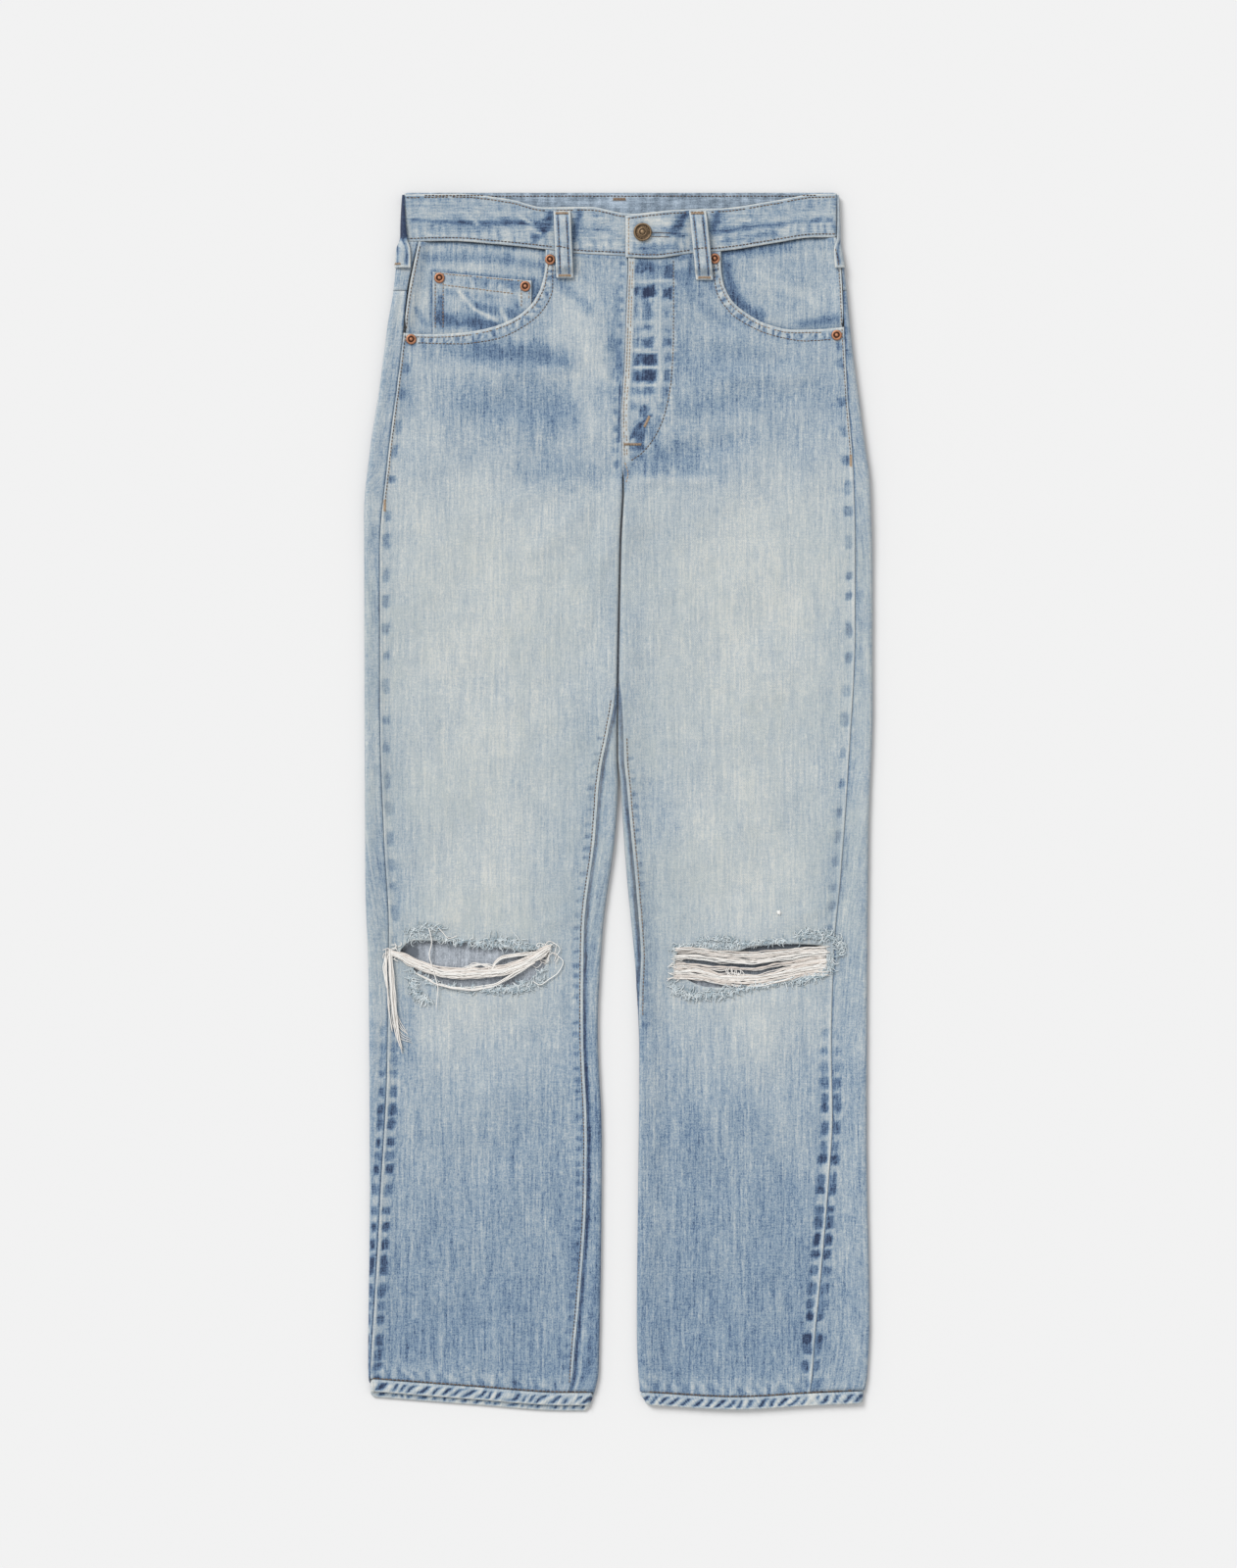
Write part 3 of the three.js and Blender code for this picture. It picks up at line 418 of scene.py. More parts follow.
# Creases (x0, y0, x1, y1, half width, height): soft ridges and troughs across the fronts.
CREASES = [
    (-150, 382, -40, 380, 8, 0.8), (-146, 398, -42, 388, 9, -0.5), (-130, 366, -90, 366, 8, 0.5),
    (-125, 352, -36, 348, 10, -0.5), (-120, 334, -20, 326, 10, 0.6), (-30, 405, -6, 372, 3.5, 0.9),
    (-4, 408, 2, 378, 3, -0.6), (-22, 415, -2, 396, 3, 0.6), (-56, 465, -27, 436, 5, -0.6),
    (-40, 455, -8, 425, 5, 0.5), (-8, 282, -90, 205, 9, 0.9), (-6, 262, -70, 170, 8, -0.6),
    (-4, 240, -40, 130, 7, 0.7), (-20, 292, -130, 252, 10, 0.6), (60, 412, 130, 408, 8, 0.7),
    (52, 397, 162, 386, 9, -0.5), (70, 374, 190, 378, 8, 0.7), (60, 348, 180, 366, 9, -0.5),
    (30, 322, 120, 336, 9, 0.6), (14, 296, 120, 322, 8, -0.5), (12, 284, 90, 284, 5, 0.7),
    (12, 270, 90, 205, 9, 0.8), (10, 250, 60, 150, 8, -0.6), (8, 220, 40, 120, 7, 0.6),
    (-185, 320, -120, 230, 10, 0.5), (190, 320, 130, 230, 10, 0.5), (44, 474, 76, 462, 4, 0.6),
    (-200, -95, -150, -112, 7, 0.7), (-70, -112, -34, -96, 7, 0.6), (-180, -172, -70, -180, 9, 0.7),
    (-196, -190, -110, -215, 10, -0.6), (-60, -178, -32, -200, 7, 0.6), (-150, -250, -60, -275, 14, 0.6),
    (-200, -300, -90, -330, 14, -0.6), (-170, -385, -60, -410, 15, 0.6), (-200, -450, -90, -462, 12, -0.5),
    (60, -105, 24, -88, 7, 0.6), (150, -104, 190, -92, 7, 0.7), (60, -180, 170, -176, 9, 0.7),
    (24, -190, 90, -222, 10, -0.6), (60, -262, 160, -290, 14, 0.6), (24, -320, 120, -352, 14, -0.6),
    (50, -400, 150, -420, 15, 0.6), (30, -462, 140, -470, 12, -0.5), (-130, 60, -60, 20, 16, 0.6),
    (60, 90, 150, 40, 16, 0.6), (-190, 120, -90, 90, 16, -0.5), (90, 170, 190, 130, 16, -0.5),
]


def stroked(wash, x, y, strokes, seed=3, soft=1.6):
    """Blends a map of wash and painted shade towards each stroke's value, with uneven edges."""
    jitter = 1 + 0.22 * ripple(x, y, 17, seed) + 0.12 * ripple(x, y, 6, seed + 1)
    for x0, y0, x1, y1, w0, w1, value, strength in strokes:
        d, u = beside(x, y, x0, y0, x1, y1)
        weight = strength * smooth(soft, 0.1, d / (lerp(w0, w1, u) * jitter))
        wash = lerp(wash, value, weight)
    return wash


def dashes(wash, along, across, start, end, pitch, offset, length, width, value, strength, seed, fade=None):
    """Indigo dashes left beside a puckered seam: along runs with it, and across is the distance from it."""
    draw = np.random.default_rng(seed)
    at = start
    while at < end:
        tall, wide = length * draw.uniform(0.62, 1.22), width * draw.uniform(0.78, 1.12)
        middle = at + pitch * draw.uniform(-0.16, 0.16)
        near = np.abs(along - middle) < length * 1.6
        shift = offset * draw.uniform(0.94, 1.06) - offset
        lean = 0.12 * draw.uniform(-1, 1)
        u = np.abs(along[near] - middle) / (0.5 * tall)
        v = np.abs(across[near] - offset - shift - lean * (along[near] - middle)) / (0.5 * wide)
        weight = np.zeros(wash.shape)
        weight[near] = strength * draw.uniform(0.6, 1.0) * smooth(2.1, 0.3, u ** 3.4 + v ** 3.0)
        if fade is not None:
            weight = weight * lerp(0.45, 1.0, smooth(fade[0], fade[1], middle))
        wash = lerp(wash, value, weight)
        at += pitch * draw.uniform(0.8, 1.2)
    return wash


def along_leg(x, y, side):
    """Base wash of a leg or hip from above, by the place across it."""
    lx = x * side.sign
    out = side.outseam(y)
    inn = np.where(y > CROTCH, side.sign * fly_edge(y), side.inner(y) + np.minimum(side.inseam(y), 0))
    f = np.clip((lx - out) / (inn - out), -0.3, 1.3)
    wide = 1 - np.abs(2 * f - 1) ** 2.2
    base = edge_wash(y) + (centre_wash(y) - edge_wash(y)) * np.clip(wide, -0.15, 1)
    low = smooth(-60, -130, y) * smooth(-400, -300, y)
    base = base - 0.05 * smooth(0.45, 0.85, f) * smooth(300, 260, y)
    base = base - (0.07 if side is LEFT else 0.04) * low * bell(f - 0.62, 0.22)
    base = base + 0.035 * ripple(x, y, 60, 11, 1.8) + 0.022 * ripple(x, y, 19, 12, 2.2)
    return base


def seam_wear(wash, side, y, inward_out, inward_in):
    """Pale ridges and indigo dashes beside the outseam and the inseam, on a front."""
    seed = 20 if side is RIGHT else 40
    low = smooth(-150, -190, y)
    wash = lerp(wash, 0.80, 0.55 * bell(inward_out - 4.0, 4.0) * low)
    wash = lerp(wash, lerp(0.92, 0.99, low), 0.75 * bell(inward_out - 1.0, 1.0))
    wash = dashes(wash, y, inward_out, -120, 415, 25, 5.5, 11, 7, 0.20, 0.9, seed)
    wash = dashes(wash, y, inward_out, -516, -196, 14.2, 6.3, 10.5, 8.0, 0.02, 1.0, seed + 1, (-200, -300))
    if side is RIGHT:
        wash = lerp(wash, 0.93, 0.75 * bell(inward_in - 1.2, 0.9) * smooth(100, 60, y))
        wash = lerp(wash, 0.26, 0.65 * bell(inward_in - 3.6, 1.0) * smooth(100, 60, y))
        wash = dashes(wash, y, inward_in, -515, 60, 11, 6.8, 4.2, 5.5, 0.16, 0.85, seed + 2)
    else:
        wash = lerp(wash, 0.93, 0.75 * bell(inward_in - 1.0, 0.9) * smooth(60, 40, y) * smooth(-205, -180, y))
        wash = dashes(wash, y, inward_in, -200, 40, 11, 5.5, 4.2, 5.5, 0.2, 0.8, seed + 2)
        wash = lerp(wash, 0.34, 0.5 * bell(inward_in - 7, 6) * smooth(-40, -100, y) * smooth(-230, -190, y))
    return wash


FLY_STITCH = [(48.7, 479), (48.7, 413), (47, 377), (41.8, 346), (34.8, 327.5), (21, 308.5), (11, 301.5)]

# Indigo left between the puckers of the fly: (x0, x1, y0, y1, wash, strength).
FLY_BLOCKS = [
    (14, 19, 468, 475, 0.10, 0.90), (21, 32, 469, 476, 0.06, 0.95), (34, 38, 466, 474, 0.25, 0.80),
    (40, 50, 462, 474, 0.10, 0.90), (14, 19, 447, 456, 0.04, 0.95), (21, 33, 446, 456, 0.0, 1.0),
    (39, 48, 445, 455, 0.04, 0.95), (33, 39, 449, 457, 0.35, 0.60), (14, 18, 428, 440, 0.34, 0.80),
    (22, 30, 426, 441, 0.26, 0.85), (40, 46, 428, 438, 0.36, 0.70), (22, 29, 417, 422, 0.08, 0.90),
    (15, 19, 414, 420, 0.30, 0.80), (40, 47, 414, 420, 0.24, 0.75), (14, 19, 402, 410, 0.16, 0.90),
    (22, 31, 401, 411, 0.08, 0.95), (40, 48, 403, 409, 0.12, 0.85), (14, 20, 387, 397, 0.05, 0.95),
    (21, 34, 386, 397, 0.02, 1.0), (42, 49, 388, 396, 0.18, 0.85), (13, 20, 371, 381, 0.08, 0.95),
    (21, 34, 371, 382, 0.04, 1.0), (40, 47, 372, 382, 0.14, 0.85), (14, 19, 360, 366, 0.28, 0.85),
    (22, 31, 360, 367, 0.20, 0.85), (38, 45, 358, 368, 0.30, 0.75), (20, 26, 340, 350, 0.12, 0.90),
    (12, 17, 345, 352, 0.34, 0.70), (36, 42, 344, 354, 0.34, 0.70), (14, 18, 333, 338, 0.30, 0.70),
    (33, 38, 332, 340, 0.30, 0.70)]
FLY_FOLDS = [(26, 334, 36, 308, 5, 5, 0.12, 0.6), (20, 480, 36, 462, 6, 6, 0.18, 0.55),
             (11, 322, 19, 333, 2.4, 3.2, 0.03, 0.95), (19, 333, 28, 341, 2.6, 2.0, 0.03, 0.95),
             (16, 330, 17, 312, 2.6, 2.8, 0.05, 0.85), (23, 330, 20, 312, 2.6, 2.6, 0.08, 0.85),
             (10, 313, 24, 313, 2.2, 2.0, 0.10, 0.75), (12, 304, 22, 306, 2.6, 2.0, 0.18, 0.8),
             (28, 333, 25, 318, 1.6, 1.6, 0.80, 0.6), (8, 300, 11, 286, 2.4, 1.6, 0.40, 0.7),
             (12, 460, 50, 461, 1.3, 1.3, 0.94, 0.75), (12, 399, 34, 398, 1.2, 1.2, 0.97, 0.9),
             (12, 384, 36, 384, 1.3, 1.3, 0.97, 0.9), (13, 369, 34, 368, 1.4, 1.2, 0.96, 0.85),
             (10, 357, 24, 355, 1.6, 1.2, 0.90, 0.6), (14, 424, 34, 424, 1.2, 1.2, 0.85, 0.5),
             (36, 470, 36, 360, 1.5, 1.5, 0.80, 0.5)]


def blocked(wash, x, y, blocks, seed):
    """Blends a wash map towards each block's value inside a ragged rectangle."""
    wx, wy = x + 1.1 * ripple(x, y, 6, seed), y + 1.3 * ripple(x, y, 7, seed + 1)
    for x0, x1, y0, y1, value, strength in blocks:
        across = np.abs(wx - (x0 + x1) / 2) - (x1 - x0) / 2
        along = np.abs(wy - (y0 + y1) / 2) - (y1 - y0) / 2
        wash = lerp(wash, value, strength * smooth(2.1, -1.3, across) * smooth(2.1, -1.3, along))
    return wash


def fly_wear(wash, x, y):
    """The fly: bleached edge, indigo left between the puckers, and the pucker line of the J stitch."""
    edge = x - fly_edge(y)
    d, along = outline_run(x, y, rounded(FLY_STITCH, 4))
    within = smooth(50, 46, x) * (y > 300) * (x > 0)
    tall = smooth(302, 318, y) * smooth(484, 478, y)
    plain = lerp(0.70, 0.46, smooth(425, 465, y)) + 0.05 * ripple(x, y, 9, 60)
    wash = lerp(wash, plain, 0.7 * within * tall)
    rungs = 0.5 + 0.5 * np.sin(along * math.tau / 5.2 + 1.2 * ripple(x, y, 14, 64))
    wash = lerp(wash, lerp(0.22, 0.85, rungs), 0.55 * bell(d - 0.5, 3.4) * tall)
    wash = blocked(wash, x, y, FLY_BLOCKS, 61)
    wash = lerp(wash, 0.80, 0.45 * bell(d, 0.9))
    wash = stroked(wash, x, y, FLY_FOLDS, 65)
    wash = lerp(wash, 0.95, 0.9 * smooth(7.2, 4.8, edge) * smooth(292, 305, y) * (edge > -0.5))
    wash = lerp(wash, 0.30, 0.6 * bell(edge - 7.9, 0.8) * tall)
    return wash


def scoop_wear(wash, x, y, outline, seed):
    """Bleached edge of a pocket mouth, and the puckers between its two rows of stitches."""
    d, run = outline_run(x, y, outline)
    teeth = 0.5 + 0.5 * np.sin(run * math.tau / 6.2 + 1.6 * ripple(x, y, 12, seed))
    wash = lerp(wash, 0.30, 0.5 * bell(d - 9.6, 1.6))
    wash = lerp(wash, lerp(0.10, 0.95, teeth), 0.85 * smooth(2.2, 3.6, d) * smooth(9.0, 7.4, d))
    wash = lerp(wash, 0.98, 0.9 * smooth(2.4, 1.2, d))
    return wash


def tear_wear(wash, x, y, outline):
    d, _, _ = outline_distance(x, y, outline)
    wash = lerp(wash, 0.70, 0.4 * smooth(22, 5, d))
    return lerp(wash, 0.95, 0.6 * smooth(2.6, 0.6, d))


# A bleach spot above the left tear, and light scuffs above the right tear and below the left one.
SCUFFS = [(141.4, -99, 142.6, -98.4, 3.0, 3.0, 1.05, 1.0), (-127, -72, -125, -88, 1.2, 1.2, 0.98, 0.6),
          (-132, -78, -124, -82, 0.9, 0.9, 0.95, 0.5), (44, -190, 58, -206, 1.3, 1.3, 0.92, 0.6),
          (46, -206, 56, -196, 1.0, 1.0, 0.92, 0.5)]


def front_wash_and_shade(side, x, y, inward_out, inward_in):
    wash = along_leg(x, y, side)
    wash = stroked(wash, x, y, WHISKERS_AND_LOOP_SHADE, 3, 2.1)
    # Painted shadow: a dark line on the front just below the waistband's lower edge.
    wash = lerp(wash, 0.14, 0.65 * bell(waist_seam(x) - y - 1.2, 1.3))
    wash = seam_wear(wash, side, y, inward_out, inward_in)
    if side is LEFT:
        wash = fly_wear(wash, x, y)
    else:
        wash = dashes(wash, y, fly_edge(y) - x, 300, 480, 11, 5, 5, 5, 0.16, 0.75, 66)
        # The first stroke is painted shade: a dark line beside the fly's edge, where the right front lies
        # lower than the fly.
        wash = stroked(wash, x, y, [(1.2, 370, 1.0, 318, 0.9, 1.1, 0.0, 0.9),
                                    (-3, 440, -6, 400, 1.6, 2, 0.35, 0.6),
                                    (-2, 386, -5, 376, 2, 2, 0.20, 0.8)], 68)
    wash = scoop_wear(wash, x, y, rounded(SCOOP[side.name], 3), 70)
    wash = tear_wear(wash, x, y, TEAR[side.name])
    wash = stroked(wash, x, y, SCUFFS, 74, 0.8)
    hem = y - hem_line(side, x * side.sign)
    waves = 0.5 + 0.5 * np.sin((x + 0.35 * hem) * math.tau / 12.5 + 2.4 * ripple(x, y, 26, 82))
    wash = lerp(wash, lerp(0.10, 0.92, waves), 0.55 * bell(hem - 6.5, 5.5))
    wash = lerp(wash, 0.85, 0.4 * bell(hem - 13, 4) * (1 - waves) ** 2)
    return lerp(wash, 0.12, 0.5 * bell(hem - 1.2, 1.1))


def stain(x, y):
    """Yellowed patches on the thighs and above the knees."""
    patches = ripple(x, y, 90, 91) * 0.6 + ripple(x, y, 30, 92, 1.6) * 0.4
    return np.clip(0.55 + 0.35 * patches, 0, 1) * smooth(-230, -100, y) * smooth(320, 200, y)


# ------------------------------------------------------------------ relief
def creased(x, y):
    total = 0.45 * ripple(x, y, 70, 5) + 0.16 * ripple(x, y, 22, 6) + 0.07 * ripple(x, y, 9, 7)
    for x0, y0, x1, y1, width, height in CREASES:
        d, u = beside(x, y, x0, y0, x1, y1)
        total = total + height * bell(d, width) * smooth(0, 0.25, u) * smooth(1, 0.75, u)
    return total


def front_relief(side, x, y, inward_out, inward_in):
    seed = 20 if side is RIGHT else 40
    calm = smooth(1, 10, np.minimum(inward_out, inward_in)) * smooth(0, 6, waist_seam(x) - y)
    h = creased(x, y) * calm
    h = h + 0.45 * bell(inward_out - 1.0, 1.3)
    along = dashes(np.zeros_like(h), y, inward_out, -120, 415, 25, 5.5, 11, 8, -0.45, 0.85, seed)
    along = dashes(along, y, inward_out, -516, -196, 14.2, 6.3, 10.5, 8.5, -0.6, 0.9, seed + 1)
    along = dashes(along, y, inward_in, -515, 60, 11, 6.8, 4.2, 6, -0.35, 0.75, seed + 2)
    h = h + along + 0.35 * bell(inward_in - 1.2, 1.1)
    hem = y - hem_line(side, x * side.sign)
    waves = np.sin((x + 0.35 * hem) * math.tau / 12.5 + 2.4 * ripple(x, y, 26, 82))
    h = h + 0.40 * waves * bell(hem - 6.5, 5.5)
    outline = rounded(SCOOP[side.name], 3)
    d, run = outline_run(x, y, outline)
    teeth = np.sin(run * math.tau / 6.2 + 1.6 * ripple(x, y, 12, 70))
    h = h + 0.30 * teeth * bell(d - 5.2, 2.8) + 0.35 * smooth(3, 1, d)
    h = h - 0.2 * bell(d - 2.6, 0.8) - 0.2 * bell(d - 8.6, 0.9)
    if side is LEFT:
        edge = x - fly_edge(y)
        tall = smooth(300, 312, y) * smooth(486, 480, y)
        row = 0.55 * (blocked(np.ones_like(h), x, y, FLY_BLOCKS, 61) - 1)
        row = row + 0.35 * (stroked(np.full_like(h, 0.6), x, y, FLY_FOLDS, 65) - 0.6)
        j, _, _ = outline_distance(x, y, rounded(FLY_STITCH, 4), closed=False)
        h = h + row * tall + tall * (0.35 * smooth(7, 4.5, edge) - 0.3 * bell(edge - 7.9, 1.0))
        h = h - 0.3 * bell(j, 1.0)
    t, _, _ = outline_distance(x, y, TEAR[side.name])
    return h + 0.9 * smooth(5, 0.5, t) + 0.4 * ripple(x, y, 9, 17) * smooth(9, 0.5, t)


# ------------------------------------------------------------------ shells
def distance_across(mid):
    """Distance along each row of a grid, from the row's first point."""
    steps = np.linalg.norm(np.diff(mid, axis=1), axis=2)
    return np.concatenate([np.zeros((len(mid), 1)), np.cumsum(steps, axis=1)], axis=1)


def normals(grid, closed=False):
    if closed:
        across = np.roll(grid, -1, axis=1) - np.roll(grid, 1, axis=1)
    else:
        across = np.gradient(grid, axis=1)
    along = np.gradient(grid, axis=0)
    n = np.cross(across, along)
    return n / np.maximum(np.linalg.norm(n, axis=2, keepdims=True), 1e-9)


def run_lengths(grid):
    across = np.linalg.norm(np.diff(grid, axis=1), axis=2).sum(axis=1)
    along = np.linalg.norm(np.diff(grid, axis=0), axis=2).sum(axis=0)
    return across.max(), along.max()


def cell_areas(grid):
    a = grid[1:, 1:] - grid[:-1, :-1]
    b = grid[1:, :-1] - grid[:-1, 1:]
    return 0.5 * np.linalg.norm(np.cross(a, b), axis=2)


def new_mesh(name, verts, quads, attributes, material):
    """Mesh from quads whose last index may repeat the third, for a triangle."""
    mesh = bpy.data.meshes.new(name)
    mesh.vertices.add(len(verts))
    mesh.vertices.foreach_set("co", (np.asarray(verts) * MM).astype(np.float32).ravel())
    quads = np.asarray(quads, np.int32)
    mesh.loops.add(quads.size)
    mesh.loops.foreach_set("vertex_index", quads.ravel())
    mesh.polygons.add(len(quads))
    mesh.polygons.foreach_set("loop_start", np.arange(0, quads.size, 4, dtype=np.int32))
    mesh.polygons.foreach_set("use_smooth", np.ones(len(quads), bool))
    mesh.update(calc_edges=True)
    mesh.validate()
    for key, values in attributes.items():
        values = np.asarray(values, np.float32)
        kind = "FLOAT" if values.ndim == 1 else "FLOAT_VECTOR"
        layer = mesh.attributes.new(key, kind, "POINT")
        layer.data.foreach_set("value" if kind == "FLOAT" else "vector", values.ravel())
    mesh.materials.append(material)
    piece = bpy.data.objects.new(name, mesh)
    bpy.context.collection.objects.link(piece)
    return piece


def shell(name, mid, thickness, material, wash, cloth, tint=None, keep=None, snap=(), side=RIGHT,
          closed=False, inner_wash_and_shade=0.62):
    """Closed shell about a grid. keep says which cells stay, and snap lists outlines for the cuts."""
    rows, cols = mid.shape[:2]
    spans = cols if closed else cols - 1
    keep = np.ones((rows - 1, spans), bool) if keep is None else keep
    n = normals(mid, closed)
    half = (np.asarray(thickness, float) / 2 + np.zeros((rows, cols)))[..., None]
    outer, inner = mid + n * half, mid - n * half
    if snap:
        touched = np.zeros((rows, cols), int)
        for dj, di in ((0, 0), (0, 1), (1, 0), (1, 1)):
            touched[dj:rows - 1 + dj, di:cols - 1 + di] += np.where(keep, 1, 100)
        edge = (touched % 100 > 0) & (touched >= 100)
        for outline in snap:
            wx = mid[..., 0] * side.sign
            d, nx, ny = outline_distance(wx[edge], mid[..., 1][edge], outline, closed=False)
            move = d < 3.0
            at = np.argwhere(edge)[move]
            dx = (nx[move] - wx[edge][move]) * side.sign
            dy = ny[move] - mid[..., 1][edge][move]
            for layer in (outer, inner):
                layer[at[:, 0], at[:, 1], 0] += dx
                layer[at[:, 0], at[:, 1], 1] += dy
    place = np.array([side.sign, 1, 1.0])
    verts = np.concatenate([outer.reshape(-1, 3), inner.reshape(-1, 3)]) * place
    index = np.arange(rows * cols).reshape(rows, cols)
    below = rows * cols
    j, i = np.nonzero(keep)
    i2 = (i + 1) % cols
    a, b, c, d = index[j, i], index[j, i2], index[j + 1, i2], index[j + 1, i]
    quads = [np.stack([a, b, c, d], 1), np.stack([a, d, c, b], 1) + below]
    padded = np.zeros((rows + 1, spans), bool)
    padded[1:-1] = keep
    lower_open = padded[1:] & ~padded[:-1]
    upper_open = padded[:-1] & ~padded[1:]
    for mask, flip in ((lower_open, True), (upper_open, False)):
        j, i = np.nonzero(mask)
        a, b = index[j, i], index[j, (i + 1) % cols]
        quad = np.stack([a, b, b + below, a + below], 1)
        quads.append(quad[:, ::-1] if flip else quad)
    if closed:
        left_open = keep & ~np.roll(keep, 1, axis=1)
        right_open = keep & ~np.roll(keep, -1, axis=1)
        sides = ((left_open, 0, False), (right_open, 1, True))
        for mask, shift, flip in sides:
            j, i = np.nonzero(mask)
            i = (i + shift) % cols
            quad = np.stack([index[j, i], index[j + 1, i], index[j + 1, i] + below, index[j, i] + below], 1)
            quads.append(quad[:, ::-1] if flip else quad)
    else:
        wide = np.zeros((rows - 1, cols + 1), bool)
        wide[:, 1:-1] = keep
        for mask, flip in ((wide[:, 1:] & ~wide[:, :-1], False), (wide[:, :-1] & ~wide[:, 1:], True)):
            j, i = np.nonzero(mask)
            quad = np.stack([index[j, i], index[j + 1, i], index[j + 1, i] + below, index[j, i] + below], 1)
            quads.append(quad[:, ::-1] if flip else quad)
    quads = np.concatenate(quads)
    if side.sign < 0:
        quads = quads[:, ::-1]
    used = np.unique(quads)
    remap = np.full(2 * below, -1)
    remap[used] = np.arange(len(used))
    tint = np.zeros((rows, cols)) if tint is None else tint
    cloth = np.broadcast_to(cloth, (rows, cols, 2))
    flag = np.zeros((rows, cols, 1))
    uvw = np.concatenate([np.concatenate([cloth, flag], 2).reshape(-1, 3),
                          np.concatenate([cloth, flag + 1], 2).reshape(-1, 3)])
    both = {
        "wash": np.concatenate([np.clip(wash, 0, 1.05).ravel(),
                                (np.zeros((rows, cols)) + inner_wash_and_shade).ravel()]),
        "tint": np.concatenate([tint.ravel(), tint.ravel()]),
        "cloth": uvw,
    }
    piece = new_mesh(name, verts[used], remap[quads], {k: v[used] for k, v in both.items()}, material)
    width, length = run_lengths(mid)
    area = cell_areas(mid if not closed else np.concatenate([mid, mid[:, :1]], 1))[keep].sum()
    piece["cut"] = [float(width), float(length), float(area)]
    return piece


def declare(piece, node):
    """Hands a cloth piece to the frame: parents it to the root body and hides the node it stands for."""
    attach(piece, ROOT)
    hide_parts(node)


# ------------------------------------------------------------------ materials
def node_material(name):
    material = bpy.data.materials.new(name)
    material.use_nodes = True
    tree = material.node_tree
    for node in list(tree.nodes):
        if node.type != "BSDF_PRINCIPLED" and node.type != "OUTPUT_MATERIAL":
            tree.nodes.remove(node)
    bsdf = next(n for n in tree.nodes if n.type == "BSDF_PRINCIPLED")
    return material, tree, bsdf


class Nodes:
    """Short calls for building a node tree."""

    def __init__(self, tree):
        self.tree = tree

    def new(self, kind, **settings):
        node = self.tree.nodes.new(kind)
        for key, value in settings.items():
            setattr(node, key, value)
        return node

    def link(self, source, target):
        if isinstance(source, (int, float)):
            target.default_value = source
        elif isinstance(source, (tuple, list)):
            target.default_value = source
        else:
            self.tree.links.new(source, target)

    def attribute(self, name, output="Fac"):
        return self.new("ShaderNodeAttribute", attribute_name=name).outputs[output]

    def math(self, operation, a, b=0.0, c=None, clamp=False):
        node = self.new("ShaderNodeMath", operation=operation, use_clamp=clamp)
        self.link(a, node.inputs[0])
        self.link(b, node.inputs[1])
        if c is not None:
            self.link(c, node.inputs[2])
        return node.outputs[0]

    def scaled(self, vector, scale, offset=(0, 0, 0)):
        node = self.new("ShaderNodeMapping")
        self.link(vector, node.inputs["Vector"])
        node.inputs["Scale"].default_value = scale
        node.inputs["Location"].default_value = offset
        return node.outputs[0]

    def noise(self, vector, detail=2.0, roughness=0.5):
        node = self.new("ShaderNodeTexNoise")
        node.inputs["Scale"].default_value = 1.0
        node.inputs["Detail"].default_value = detail
        node.inputs["Roughness"].default_value = roughness
        self.link(vector, node.inputs["Vector"])
        return node.outputs["Fac"]

    def centred(self, value, gain):
        return self.math("MULTIPLY", self.math("SUBTRACT", value, 0.5), gain)

    def ramp(self, value, stops):
        node = self.new("ShaderNodeValToRGB")
        ramp = node.color_ramp
        while len(ramp.elements) < len(stops):
            ramp.elements.new(0.5)
        for element, (at, colour) in zip(ramp.elements, stops):
            element.position = at
            element.color = (*linear(colour), 1)
        self.link(value, node.inputs["Fac"])
        return node.outputs["Color"]

    def mix(self, factor, a, b, blend="MIX"):
        node = self.new("ShaderNodeMix", data_type="RGBA", blend_type=blend)
        self.link(factor, node.inputs["Factor"])
        self.link(a, node.inputs["A"])
        self.link(b, node.inputs["B"])
        return node.outputs["Result"]

    def bump(self, height, distance, strength, normal=None):
        node = self.new("ShaderNodeBump")
        node.inputs["Distance"].default_value = distance
        node.inputs["Strength"].default_value = strength
        self.link(height, node.inputs["Height"])
        if normal is not None:
            self.link(normal, node.inputs["Normal"])
        return node.outputs["Normal"]


LIGHT_ON_CLOTH = 1.49  # how much brighter than its albedo flat cloth appears


def linear(colour):
    """Albedo that shows as a display colour, 0 to 255, under the studio light."""
    return tuple(((c / 255 / 12.92) if c <= 10.3 else ((c / 255 + 0.055) / 1.055) ** 2.4) / LIGHT_ON_CLOTH
                 for c in colour[:3])


DENIM_RAMP = [(0.0, (30, 46, 78)), (0.22, (90, 117, 149)), (0.45, (135, 156, 175)), (0.6, (157, 172, 185)),
              (0.75, (177, 188, 195)), (0.9, (195, 202, 204)), (1.0, (214, 216, 212))]


SLUB_GAIN = 0.80


